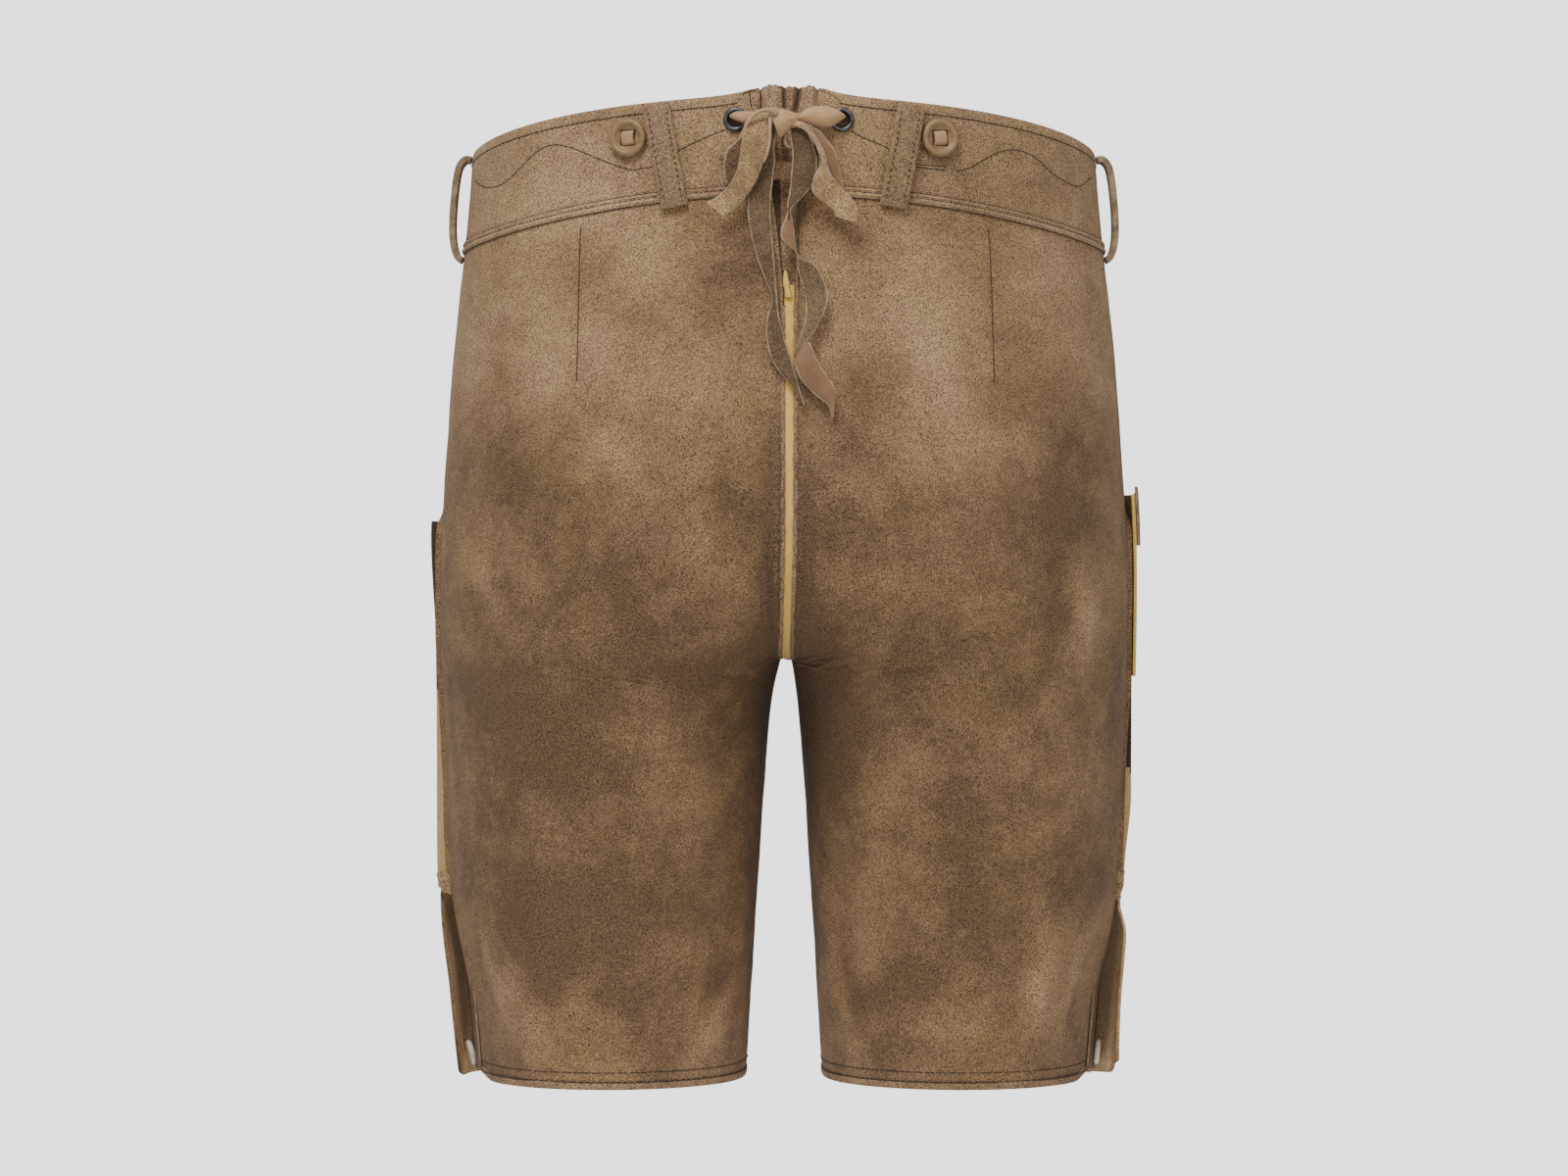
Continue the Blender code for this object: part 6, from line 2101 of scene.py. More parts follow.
    wrap: tuple[Seen, ...] = (
        (794.2, 139.6, 0.1262, 785.8, 111.2, 0.1272),
        (796.8, 139.9, 0.1262, 791.5, 110.4, 0.1275), (800.6, 136, 0.1262, 798, 110.5, 0.1272),
        (806.6, 129.6, 0.1258, 805, 113, 0.1262), (813.2, 124, 0.1250, 814, 116.3, 0.1250),
    )
    stretch_left: tuple[Seen, ...] = (
        (746, 121, 0.1152, 745.5, 116.4, 0.1152), (751.8, 123.7, 0.1180, 750.5, 113.8, 0.1180),
        (758, 125.6, 0.1200, 758.5, 113, 0.1200), (764, 125, 0.1215, 764.5, 112.6, 0.1215),
        (770, 124, 0.1230, 770, 112.6, 0.1230),
    )
    stretch_right: tuple[Seen, ...] = (
        (813, 122, 0.1246, 813.6, 117.6, 0.1246), (822.8, 125.8, 0.1232, 821.7, 110.6, 0.1232),
        (833, 129.2, 0.1218, 832, 108, 0.1218), (842, 130, 0.1208, 842, 108, 0.1208),
        (850.3, 128, 0.1198, 849.3, 110, 0.1198), (857, 123.6, 0.1178, 856, 113.2, 0.1178),
        (861, 120.4, 0.1152, 861, 117.6, 0.1152),
    )
    ring: tuple[Seen, ...] = (
        (799.2, 138, 0.1252, 801.6, 138, 0.1256), (798.9, 144.5, 0.1256, 801.4, 143.6, 0.1262),
        (801.6, 150.4, 0.1256, 803.6, 147.9, 0.1262), (806.5, 153, 0.1250, 807.2, 150, 0.1254),
    )
    inside: tuple[Row, ...] = (
        (0.0375, 0.1078, 0.0300, 0.0375, 0.1078, 0.0432),
        (0.0274, 0.1092, 0.0300, 0.0274, 0.1092, 0.0432),
        (0.0140, 0.1082, 0.0303, 0.0140, 0.1082, 0.0435),
        (0.0000, 0.1072, 0.0306, 0.0000, 0.1072, 0.0438),
        (-0.0160, 0.1080, 0.0303, -0.0160, 0.1080, 0.0435),
        (-0.0326, 0.1090, 0.0300, -0.0326, 0.1090, 0.0432),
        (-0.0425, 0.1076, 0.0300, -0.0425, 0.1076, 0.0432),
    )
    long_left: tuple[Point, ...] = (
        (0.0054, 0.1248, 0.0274), (0.0115, 0.1254, 0.0202), (0.0125, 0.1252, 0.0127),
        (0.0133, 0.1255, 0.0028), (0.0139, 0.1264, -0.0101), (0.0125, 0.1279, -0.0250),
        (0.0098, 0.1309, -0.0428), (0.0063, 0.1353, -0.0617), (0.0047, 0.1384, -0.0788),
        (0.0022, 0.1407, -0.0950), (-0.0040, 0.1430, -0.1112), (-0.0113, 0.1448, -0.1256),
    )
    long_right: tuple[Point, ...] = (
        (-0.0065, 0.1242, 0.0287), (-0.0111, 0.1249, 0.0211), (-0.0118, 0.1255, 0.0123),
        (-0.0111, 0.1263, 0.0039), (-0.0077, 0.1282, -0.0049), (-0.0039, 0.1302, -0.0137),
        (-0.0029, 0.1320, -0.0234), (-0.0058, 0.1336, -0.0331), (-0.0116, 0.1345, -0.0415),
        (-0.0165, 0.1351, -0.0518), (-0.0176, 0.1365, -0.0640), (-0.0142, 0.1391, -0.0765),
        (-0.0101, 0.1422, -0.0875), (-0.0095, 0.1447, -0.0984), (-0.0133, 0.1459, -0.1091),
        (-0.0210, 0.1460, -0.1204), (-0.0276, 0.1461, -0.1302),
    )
    left_length: float = 0.161
    right_length: float = 0.174
    left_width: float = 0.0134
    right_width: float = 0.0155
    rests_on: tuple[str, ...] = ("lace_knot_wrap",)

    def build(self) -> None:
        """Makes the two free ends first, then the knot and the rest."""
        knot = Strap("lace_knot_wrap", placed(self.wrap), "lace_knot",
                     front=LACE_GRAIN, bulge=0.0046,
                     bevel=0.0006, creases=0.00045, thick=0.0020).build()
        ring = Strap("lace_knot_loop", placed(self.ring), bulge=0.0005, thick=0.0012,
                     bevel=0.0003).build()
        left = Strap("strap_end_c", hung_along(self.long_left, self.hanging_left), "lace_end_c",
                     front=DARK_LACE).build()
        right = self.two_parts()
        for piece, route, length, width, others in (
            (left, self.long_left, self.left_length, self.left_width, [knot, ring]),
            (right, self.long_right, self.right_length, self.right_width, []),
        ):
            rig.cord(
                piece, exit=route[0], length=length, diameter=width, far_end="bare",
                stiffness="limp", lay="hanging", path=[list(p) for p in route],
                with_pieces=others,
            )
        arch = Strap("lace_arch", placed(self.arch),
                     front=LACE_GRAIN, back=LACE_SUEDE, bulge=0.0006,
                     thick=0.0018, bevel=0.0006).build()
        fold = Strap("lace_end_a_fold", placed(self.short_left_fold),
                     front=LACE_GRAIN, bulge=0.0008,
                     thick=0.0012, bevel=0.0005).build()
        self.sheet(Strap("strap_end_a", placed(self.short_left), "lace_end_a", (0.0155, 0.070),
                         front=PALE_LACE), [arch, fold])
        self.sheet(Strap("strap_end_b", placed(self.behind_left), "lace_end_b", (0.0145, 0.034),
                         front=DARK_SUEDE))
        self.sheet(Strap("strap_end_e", placed(self.short_right), "lace_end_e", (0.0145, 0.062),
                         0.00078, front=PALE_LACE, turns=(0, 1), bevel=0.0010))
        self.sheet(Strap("strap_end_f", placed(self.behind_right), "lace_end_f", (0.0100, 0.042),
                         0.00025, front=LACE_ROSE, back=LACE_SUEDE))
        self.sheet(Strap("strap_stretch_left", placed(self.stretch_left), "lace_stretch_left",
                         (0.0100, 0.0225), 0.00012, front=LACE_GRAIN, bulge=0.0012))
        self.sheet(Strap("strap_stretch_right", placed(self.stretch_right), "lace_stretch_right",
                         (0.0120, 0.0300), 0.00026, front=LACE_GRAIN, bulge=0.0046,
                         bevel=0.0005, creases=0.00016))
        self.sheet(Strap("strap_inside", self.inside, None, (0.0140, 0.081), front=DARK_SUEDE))

    def two_parts(self) -> bpy.types.Object:
        """The right hanging end, which folds over on itself near its tip.

        Returns:
            The piece.
        """
        upper = Strap("strap_end_d", hung_along(self.long_right, self.hanging_right),
                      "lace_end_d", front=DARK_LACE, back=LACE_ROSE, turns=(9, 14))
        lower = Strap("strap_end_d", hung_along(self.long_right, self.right_tail), turns=(0,))
        verts, faces, numbers = upper.mesh()
        more, new, others = lower.mesh()
        faces += [tuple(i + len(verts) for i in f) for f in new]
        return upper.finish(verts + more, faces, numbers + others, self.paler_down)

    @staticmethod
    def paler_down(heights: np.ndarray) -> np.ndarray:
        """The right hanging end's tone: painted shadow under the knot, lighter from there down."""
        return KNOT_SHADOW + LIGHTER_DOWN * rising(heights, -0.024, -0.048)

    def sheet(self, strap: Strap, others: Sequence[bpy.types.Object] = ()) -> None:
        """Makes a strap that isn't free and says what it was cut to.

        Args:
            strap: the strap.
            others: the small pieces on it.
        """
        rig.sheet(strap.build(), flat=strap.cut, held=strap.held, area=strap.area,
                 rests_on=list(self.rests_on), with_pieces=list(others))


# Buttons and eyelets -------------------------------------------------------------------------


BUTTON_TURN = 8  # how far the left knee button is turned, in degrees
BUTTON_TIP = 9  # how far its top is tipped out
TAB_BROADER = 1.16  # how much broader a tab is made in its button's window
TAB_TURN = 5  # how far it is turned, in degrees

def seat_of(node: str, face: int = 1) -> tuple[Matrix, float, float]:
    """Where a turned node sits and how large it is.

    Args:
        node: the node's name.
        face: the sign of Y that it looks to.

    Returns:
        A matrix whose Z looks out of the garment and whose Y looks up, the radius and the
        thickness.
    """
    source = FRAME["nodes"][node]
    points = np.array([source.matrix_world @ v.co for v in source.data.vertices])
    middle = (points.min(axis=0) + points.max(axis=0)) / 2
    _, _, axes = np.linalg.svd(points - points.mean(axis=0), full_matrices=False)
    out = Vector(axes[2])
    if out.y * face < 0:
        out.negate()
    up = (Vector((0, 0, 1)) - out * out.z).normalized()
    across = up.cross(out)
    flat = points - middle
    heights = flat @ np.array(out)
    radius = max(math.hypot(float(p @ np.array(across)), float(p @ np.array(up))) for p in flat)
    seat = Matrix((across, up, out)).transposed().to_4x4()
    seat.translation = Vector(middle) + out * float(heights.min() + heights.max()) / 2
    thickness = float(heights.max() - heights.min())
    seat.translation -= out * thickness / 2
    return seat, radius, thickness


def turned(
    name: str,
    seat: Matrix,
    profile: Sequence[tuple[float, float]],
    finish: object,
    slot: str,
    replaces: str,
    steps: int = 64,
    window: tuple[float, float] | None = None,
) -> bpy.types.Object:
    """A turned ring, with a round or a rectangular hole.

    Args:
        name: the piece's name.
        seat: where it sits, its Z along its axis.
        profile: radius and height pairs, from the hole's foot out, over the rim and back.
        finish: its finish.
        slot: the record's material slot.
        replaces: the node it stands for.
        steps: how many steps round it has.
        window: half the hole's width and height, where the hole is rectangular.

    Returns:
        The piece.
    """
    verts: list[Vector] = []
    inner = profile[0][0]
    for k in range(steps):
        turn = 2 * math.pi * (k + 0.5) / steps
        way = Vector((math.cos(turn), math.sin(turn), 0))
        hole = inner
        if window is not None:
            hole = min(
                window[0] / max(abs(way.x), 1e-6), window[1] / max(abs(way.y), 1e-6)
            )
        for radius, height in profile:
            share = 1.0 if window is None else (radius - inner) / (profile[3][0] - inner)
            at = radius if share >= 1 else hole + (profile[3][0] - hole) * max(0.0, share)
            verts.append(seat @ (way * at + Vector((0, 0, height))))
    n = len(profile)
    faces = []
    for k in range(steps):
        j = (k + 1) % steps
        for i in range(n):
            m = (i + 1) % n
            faces.append((k * n + i, j * n + i, j * n + m, k * n + m))
    mesh = bpy.data.meshes.new(name)
    mesh.from_pydata(verts, [], faces)
    piece = settle(name, mesh, finish)
    mesh.set_sharp_from_angle(angle=math.radians(50))
    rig.slot(piece, slot)
    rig.replaces(piece, replaces)
    LOG.info("%s: %d faces", name, len(faces))
    return piece


@dataclass
class Buttons:
    """The brace buttons with their tabs, the knee buttons and those of the drop front."""

    window: tuple[float, float] = (0.0048, 0.0047)
    brace: tuple[tuple[float, float], ...] = (
        (0.0040, 0.0000), (0.0040, 0.0021), (0.0048, 0.0022), (0.0062, 0.0022),
        (0.0069, 0.0026), (0.0074, 0.0034), (0.0080, 0.0040), (0.0088, 0.0043),
        (0.0097, 0.0042), (0.0104, 0.0037), (0.0109, 0.0029), (0.0110, 0.0021),
        (0.0108, 0.0012), (0.0102, 0.0005), (0.0092, 0.0001), (0.0070, 0.0000),
    )
    horn: tuple[tuple[float, float], ...] = (
        (0.0008, 0.0004), (0.0008, 0.0022), (0.0022, 0.0024), (0.0036, 0.0025),
        (0.0044, 0.0029), (0.0050, 0.0034), (0.0058, 0.0035), (0.0066, 0.0032),
        (0.0072, 0.0026), (0.0074, 0.0019), (0.0071, 0.0009), (0.0062, 0.0002),
        (0.0040, 0.0001),
    )
    tab_cut: tuple[float, float] = (0.010, 0.015)
    tab_area: float = 0.00009

    def build(self) -> None:
        """Makes all the buttons."""
        for word in SIDES:
            seat, _, _ = seat_of("brace_button_" + word)
            turned("brace_button_turned_" + word, seat, self.brace, OLIVE, "olive_horn",
                   "brace_button_" + word, window=self.window)
            Shell("brace_tab_" + word, outer=TAB_GRAIN, inner=TAB_GRAIN, edge=LACE_EDGE,
                  slot="tab_leather", uneven=False, levels=3, crease=0.7, flat=self.tab_cut,
                  mould=self.square_up,
                  area=self.tab_area, held="folded",
                  rests_on=("brace_button_turned_" + word,)).build()
            for node, face in (("knee_button_", 1), ("drop_front_button_", -1)):
                seat, _, _ = seat_of(node + word, face)
                if (node, word) == ("knee_button_", "left"):
                    seat = self.hung(seat)
                turned(node + "turned_" + word, seat, self.horn, IVORY, "ivory_horn",
                       node + word, steps=48)

    @staticmethod
    def hung(seat: Matrix) -> Matrix:
        """Tips a button on its thread, its top outwards and its face to the back.

        Args:
            seat: where the button sits.

        Returns:
            The tipped seat.
        """
        across = Matrix.Rotation(math.radians(BUTTON_TURN), 4, "Z")
        tip = across @ Matrix.Rotation(math.radians(BUTTON_TIP), 4, "Y")
        place = Matrix.Translation(seat.translation)
        return place @ tip @ place.inverted() @ seat

    @staticmethod
    def square_up(points: np.ndarray) -> tuple[np.ndarray, np.ndarray]:
        """Widens a tab in its button's window and turns it slightly.

        Args:
            points: the tab's points.

        Returns:
            The moved points and an even tone.
        """
        middle = (points.min(axis=0) + points.max(axis=0)) / 2
        moved = points.copy()
        x, z = (points[:, 0] - middle[0]) * TAB_BROADER, points[:, 2] - middle[2]
        turn = math.radians(TAB_TURN)
        moved[:, 0] = middle[0] + x * math.cos(turn) + z * math.sin(turn)
        moved[:, 2] = middle[2] + z * math.cos(turn) - x * math.sin(turn)
        return moved, np.zeros(len(points))


@dataclass
class Eyelets:
    """The two metal eyelets of the laced opening."""

    hole: float = 0.0040

    def build(self) -> None:
        """Makes both eyelets as rolled rings."""
        for word in SIDES:
            seat, radius, thickness = seat_of("eyelet_" + word)
            middle, half = (self.hole + radius) / 2, (radius - self.hole) / 2
            profile = [
                (middle - half * math.cos(math.radians(a)),
                 thickness / 2 + thickness / 2 * math.sin(math.radians(a)))
                for a in range(-60, 300, 24)
            ]
            turned("eyelet_ring_" + word, seat, profile, GUNMETAL, "gunmetal", "eyelet_" + word)


# Seams, sides, knees and front ---------------------------------------------------------------


@dataclass
class Seams:
    """The yellow welts of the seat and the sides, and the raw fuzz beside them."""

    seat_cut: tuple[float, float] = (0.0185, 0.205)
    side_cut: tuple[float, float] = (0.0100, 0.190)
    covered: tuple[float, float] = (-0.2894, -0.3384)  # where the yellow starts, left and right
    raw_reach: tuple[float, float] = (0.0014, 0.0024)
    raw_top: float = -0.0700
    raw_foot: float = -0.2715
    rolled_end: tuple[Seen, ...] = (
        (799.8, 277, 0.1262, 802, 276.6, 0.1262), (798.4, 283, 0.1274, 804.6, 283, 0.1274),
        (798, 290, 0.1290, 806.2, 290, 0.1290), (799.3, 296, 0.1300, 806.6, 296, 0.1300),
        (800.4, 304, 0.1306, 808.6, 304, 0.1306),
    )
    # The slit's dark strip: painted shadow in the opening beside the gusset.
    slit: tuple[Seen, ...] = (
        (787, 184, 0.1168, 795.2, 184, 0.1170), (787, 200, 0.1172, 796, 200, 0.1174),
        (788, 230, 0.1196, 796, 230, 0.1197), (790, 255, 0.1220, 796.5, 255, 0.1220),
        (792, 275, 0.1242, 797.5, 275, 0.1242), (794.5, 289, 0.1258, 798.5, 289, 0.1258),
    )
    bar: tuple[Seen, ...] = (
        (789.6, 166, 0.1240, 808, 166, 0.1240), (789.4, 171, 0.1246, 807.6, 171, 0.1246),
        (789, 178, 0.1248, 807, 178, 0.1248), (788.6, 183.2, 0.1245, 806.4, 183.2, 0.1245),
    )
    loose: tuple[tuple[Row, ...], ...] = (
        (
            (0.2038, 0.0208, -0.3960, 0.1960, 0.0212, -0.3960),
            (0.2036, 0.0210, -0.3990, 0.1955, 0.0215, -0.3994),
            (0.2024, 0.0210, -0.4024, 0.1950, 0.0216, -0.4030),
            (0.2016, 0.0208, -0.4056, 0.1948, 0.0216, -0.4070),
            (0.2008, 0.0204, -0.4070, 0.1950, 0.0214, -0.4088),
        ),
        (
            (-0.1946, 0.0212, -0.3952, -0.2002, 0.0208, -0.3952),
            (-0.1943, 0.0215, -0.3994, -0.1999, 0.0210, -0.3990),
            (-0.1940, 0.0216, -0.4040, -0.1991, 0.0210, -0.4034),
            (-0.1938, 0.0216, -0.4086, -0.1980, 0.0208, -0.4078),
            (-0.1943, 0.0214, -0.4118, -0.1972, 0.0204, -0.4110),
        ),
    )
    hairs: int = 620
    hair_length: tuple[float, float] = (0.0010, 0.0032)
    hair_thick: float = 0.00009

    def build(self) -> None:
        """Makes the welts."""
        self.seat = Shell(
            "seat_welt", outer=WELT, inner=WELT_SIDE, edge=WELT_SIDE, slot="welt_leather",
            uneven=False, levels=3, flat=self.seat_cut,
            rests_on=("shell_back_panel_left", "shell_back_panel_right"),
        ).build()
        for word, height in zip(SIDES, self.covered):
            piece = Shell(
                "outseam_welt_" + word, outer=SIDE_WELT, inner=WELT_SIDE, edge=WELT_SIDE,
                slot="welt_leather", uneven=False, levels=3, crease=0.9, flat=self.side_cut,
                mould=stood_out, rests_on=("shell_back_panel_" + word,),
            ).build()
            # Above where the yellow starts, the welt takes the dark raw-edge suede: painted shade over the brown edge.
            piece.data.materials.append(material_of(SHADED_SEAM_SUEDE))
            for face in piece.data.polygons:
                if face.center.z > height + 0.006 * noise.noise(face.center * 400):
                    face.material_index = 3
        self.trim()

    def trim(self) -> None:
        """Adds the welt's rolled end, a dark strip of painted shadow in the slit above it, the bar and the loose seam
        ends.
        """
        Strap("seat_welt_end", placed(self.rolled_end), front=WELT, back=WELT_SIDE, edge=WELT_SIDE,
              slot="welt_leather", bulge=0.0014, thick=0.0016, bevel=0.0006,
              ragged=0.0006).build()
        # A near-black strip laid in the slit: painted shadow of its opening.
        Strap("waist_slit", placed(self.slit), front=GROOVE_SHADE, back=GROOVE_SHADE, edge=GROOVE_SHADE, slot="suede",
              bulge=0.0001, thick=0.0005, bevel=0.0003).build()
        Strap("waist_bar", placed(self.bar), front=DARK_SUEDE, back=DARK_SUEDE, edge=EDGE,
              slot="suede", bulge=0.0003, thick=0.0010, bevel=0.0002).build()
        for word, rows in zip(SIDES, self.loose):
            Strap("outseam_end_" + word, rows, front=TRIM_SUEDE, back=DARK_SUEDE, edge=EDGE,
                  slot="edge_suede", bulge=0.0003, thick=0.0012, bevel=0.0004,
                  ragged=0.0009).build()

    def raw_edges(self, skin: Skin) -> None:
        """Stands the raw edges of the two panels up beside the seat welt.

        Args:
            skin: the back panels' outer faces.
        """
        welt = Skin([self.seat])
        steps = np.arange(self.raw_top, self.raw_foot, -0.0016)
        rows: dict[str, list[Row]] = {"left": [], "right": []}
        for z in steps:
            met = [(float(x), welt.square_on(float(x), float(z)))
                   for x in np.arange(-0.0090, 0.0070, 0.00025)]
            met = [(x, found) for x, found in met if found and found[0].y > 0]
            if not met:
                continue
            for word, side in SIDES.items():
                edge, found = max(met, key=lambda item: item[0] * side)
                low, high = self.raw_reach
                reach = low + (high - low) * (0.5 + 0.8 * noise.noise(Vector((side, 3, z * 190))))
                outer = skin.square_on(edge + side * (reach + 0.0006), float(z))
                if outer is None:
                    continue
                inside = (edge - side * 0.0006, found[0].y - 0.0003, float(z))
                beyond = (edge + side * reach, max(outer[0].y, found[0].y - 0.0022) + 0.0005,
                          float(z))
                pair = (beyond, inside) if side > 0 else (inside, beyond)
                rows[word].append((*pair[0], *pair[1]))
        for word, line in rows.items():
            Strap("seat_seam_raw_edge_" + word, tuple(line), front=TRIM_SUEDE, back=DARK_SUEDE,
                  edge=RAW_EDGE, slot="edge_suede", bulge=0.0003, thick=0.0012, bevel=0.0006,
                  ragged=0.0005, steps=2).build()

    def fray(self, skin: Skin) -> None:
        """Sets pale short hairs along the raw edges beside the seat welt.

        Args:
            skin: the back panels' outer faces.
        """
        dice = random.Random(SEED)
        verts: list[Vector] = []
        faces: list[tuple[int, ...]] = []
        for _ in range(self.hairs):
            side = dice.choice((1, 1, -1))
            z = dice.uniform(-0.225, -0.062)
            x = -0.0021 + side * dice.uniform(0.0046, 0.0062)
            found = skin.square_on(x, z)
            if not found:
                continue
            root, up = found
            length = dice.uniform(*self.hair_length)
            way = Vector((
                side * dice.uniform(0.1, 1.0), 0.0, dice.uniform(-0.9, 0.6)
            )).normalized()
            bend = Vector((dice.uniform(-0.5, 0.5), 0.3, dice.uniform(-0.5, 0.5)))
            line = [
                root - up * 0.0002 + (way + up * 0.45) * length * t + bend * length * t * t * 0.4
                for t in (0.0, 0.33, 0.66, 1.0)
            ]
            more, new = strand(line, self.hair_thick, 0.4, 3)
            faces += [tuple(i + len(verts) for i in f) for f in new]
            verts += more
        mesh = bpy.data.meshes.new("seat_seam_fuzz")
        mesh.from_pydata(verts, [], faces)
        piece = settle("seat_seam_fuzz", mesh, FUZZ)
        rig.slot(piece, "edge_suede")
        LOG.info("seat_seam_fuzz: %d faces", len(faces))


@dataclass
class Sides:
    """The knife pocket on the wearer's right leg."""

    pocket_cut: tuple[float, float] = (0.045, 0.107)
    flap_cut: tuple[float, float] = (0.045, 0.044)
    welt_cut: tuple[float, float] = (0.010, 0.107)
    welt_area: float = 0.00035

    def build(self) -> None:
        """Makes the pocket, its flap and its welt."""
        Shell("knife_pocket", uneven=False, flat=self.pocket_cut,
              rests_on=("shell_front_panel_right",)).build()
        Shell("knife_pocket_flap", uneven=False, flat=self.flap_cut,
              mould=self.slope, rests_on=("shell_knife_pocket",)).build()
        Shell("knife_pocket_welt", outer=WELT, inner=WELT_SIDE, edge=WELT, uneven=False,
              slot="welt_leather", flat=self.welt_cut, area=self.welt_area,
              rests_on=("shell_knife_pocket",)).build()

    @staticmethod
    def slope(points: np.ndarray) -> tuple[np.ndarray, np.ndarray]:
        """Slopes the flap's top down towards the front.

        Args:
            points: the flap's points.

        Returns:
            The moved points and an even tone.
        """
        moved = points.copy()
        forward = np.clip((0.005 - points[:, 1]) / 0.049, 0, 1)
        moved[:, 2] -= FLAP_DROP * forward * rising(points[:, 2], -0.190, -0.171)
        return moved, np.zeros(len(points))


FLAP_DROP = 0.0120  # how far the pocket flap's top slopes down to the front
HEM_LIFT = 0.0006  # how far the hem binding's top edge is drawn up
PLACKET_LONGER = 0.0045  # how far the placket's foot is drawn down
PLACKET_IN = 0.0040  # how far the right placket's top is drawn in
PLACKET_TOP = (-0.0024, 0.0030)  # how far the right and the left placket's top is drawn up
PLACKET_LEAN = (0.0012, 0.0032)  # how far a placket is drawn in, and how much more at its foot
LEAN_RIGHT = 0.55  # the right placket's share of that
CORNER_OUT = (0.1928, 0.1945)  # how far out the left and the right placket reach
CORNER_FOOT = -0.5170  # the height of their foot
CORNER_RADIUS = 0.0090
PLACKET_FOOT_IN = 0.0036  # how far a placket's inner foot is drawn in
# The placket's tone: painted light and shade on its inner face, from this base.
PLACKET_TONE = -0.2
PLACKET_PAINTED_LIGHT = 2.5  # how much lighter its inner face is painted above its foot: painted light where the leg shades it
PLACKET_PAINTED_SHADE = 2.3  # how much darker its rim at the back is painted: painted shade over the rim that the key lamp lights
UNDERLAP_OUT = 0.0016  # how far the underlap swells out


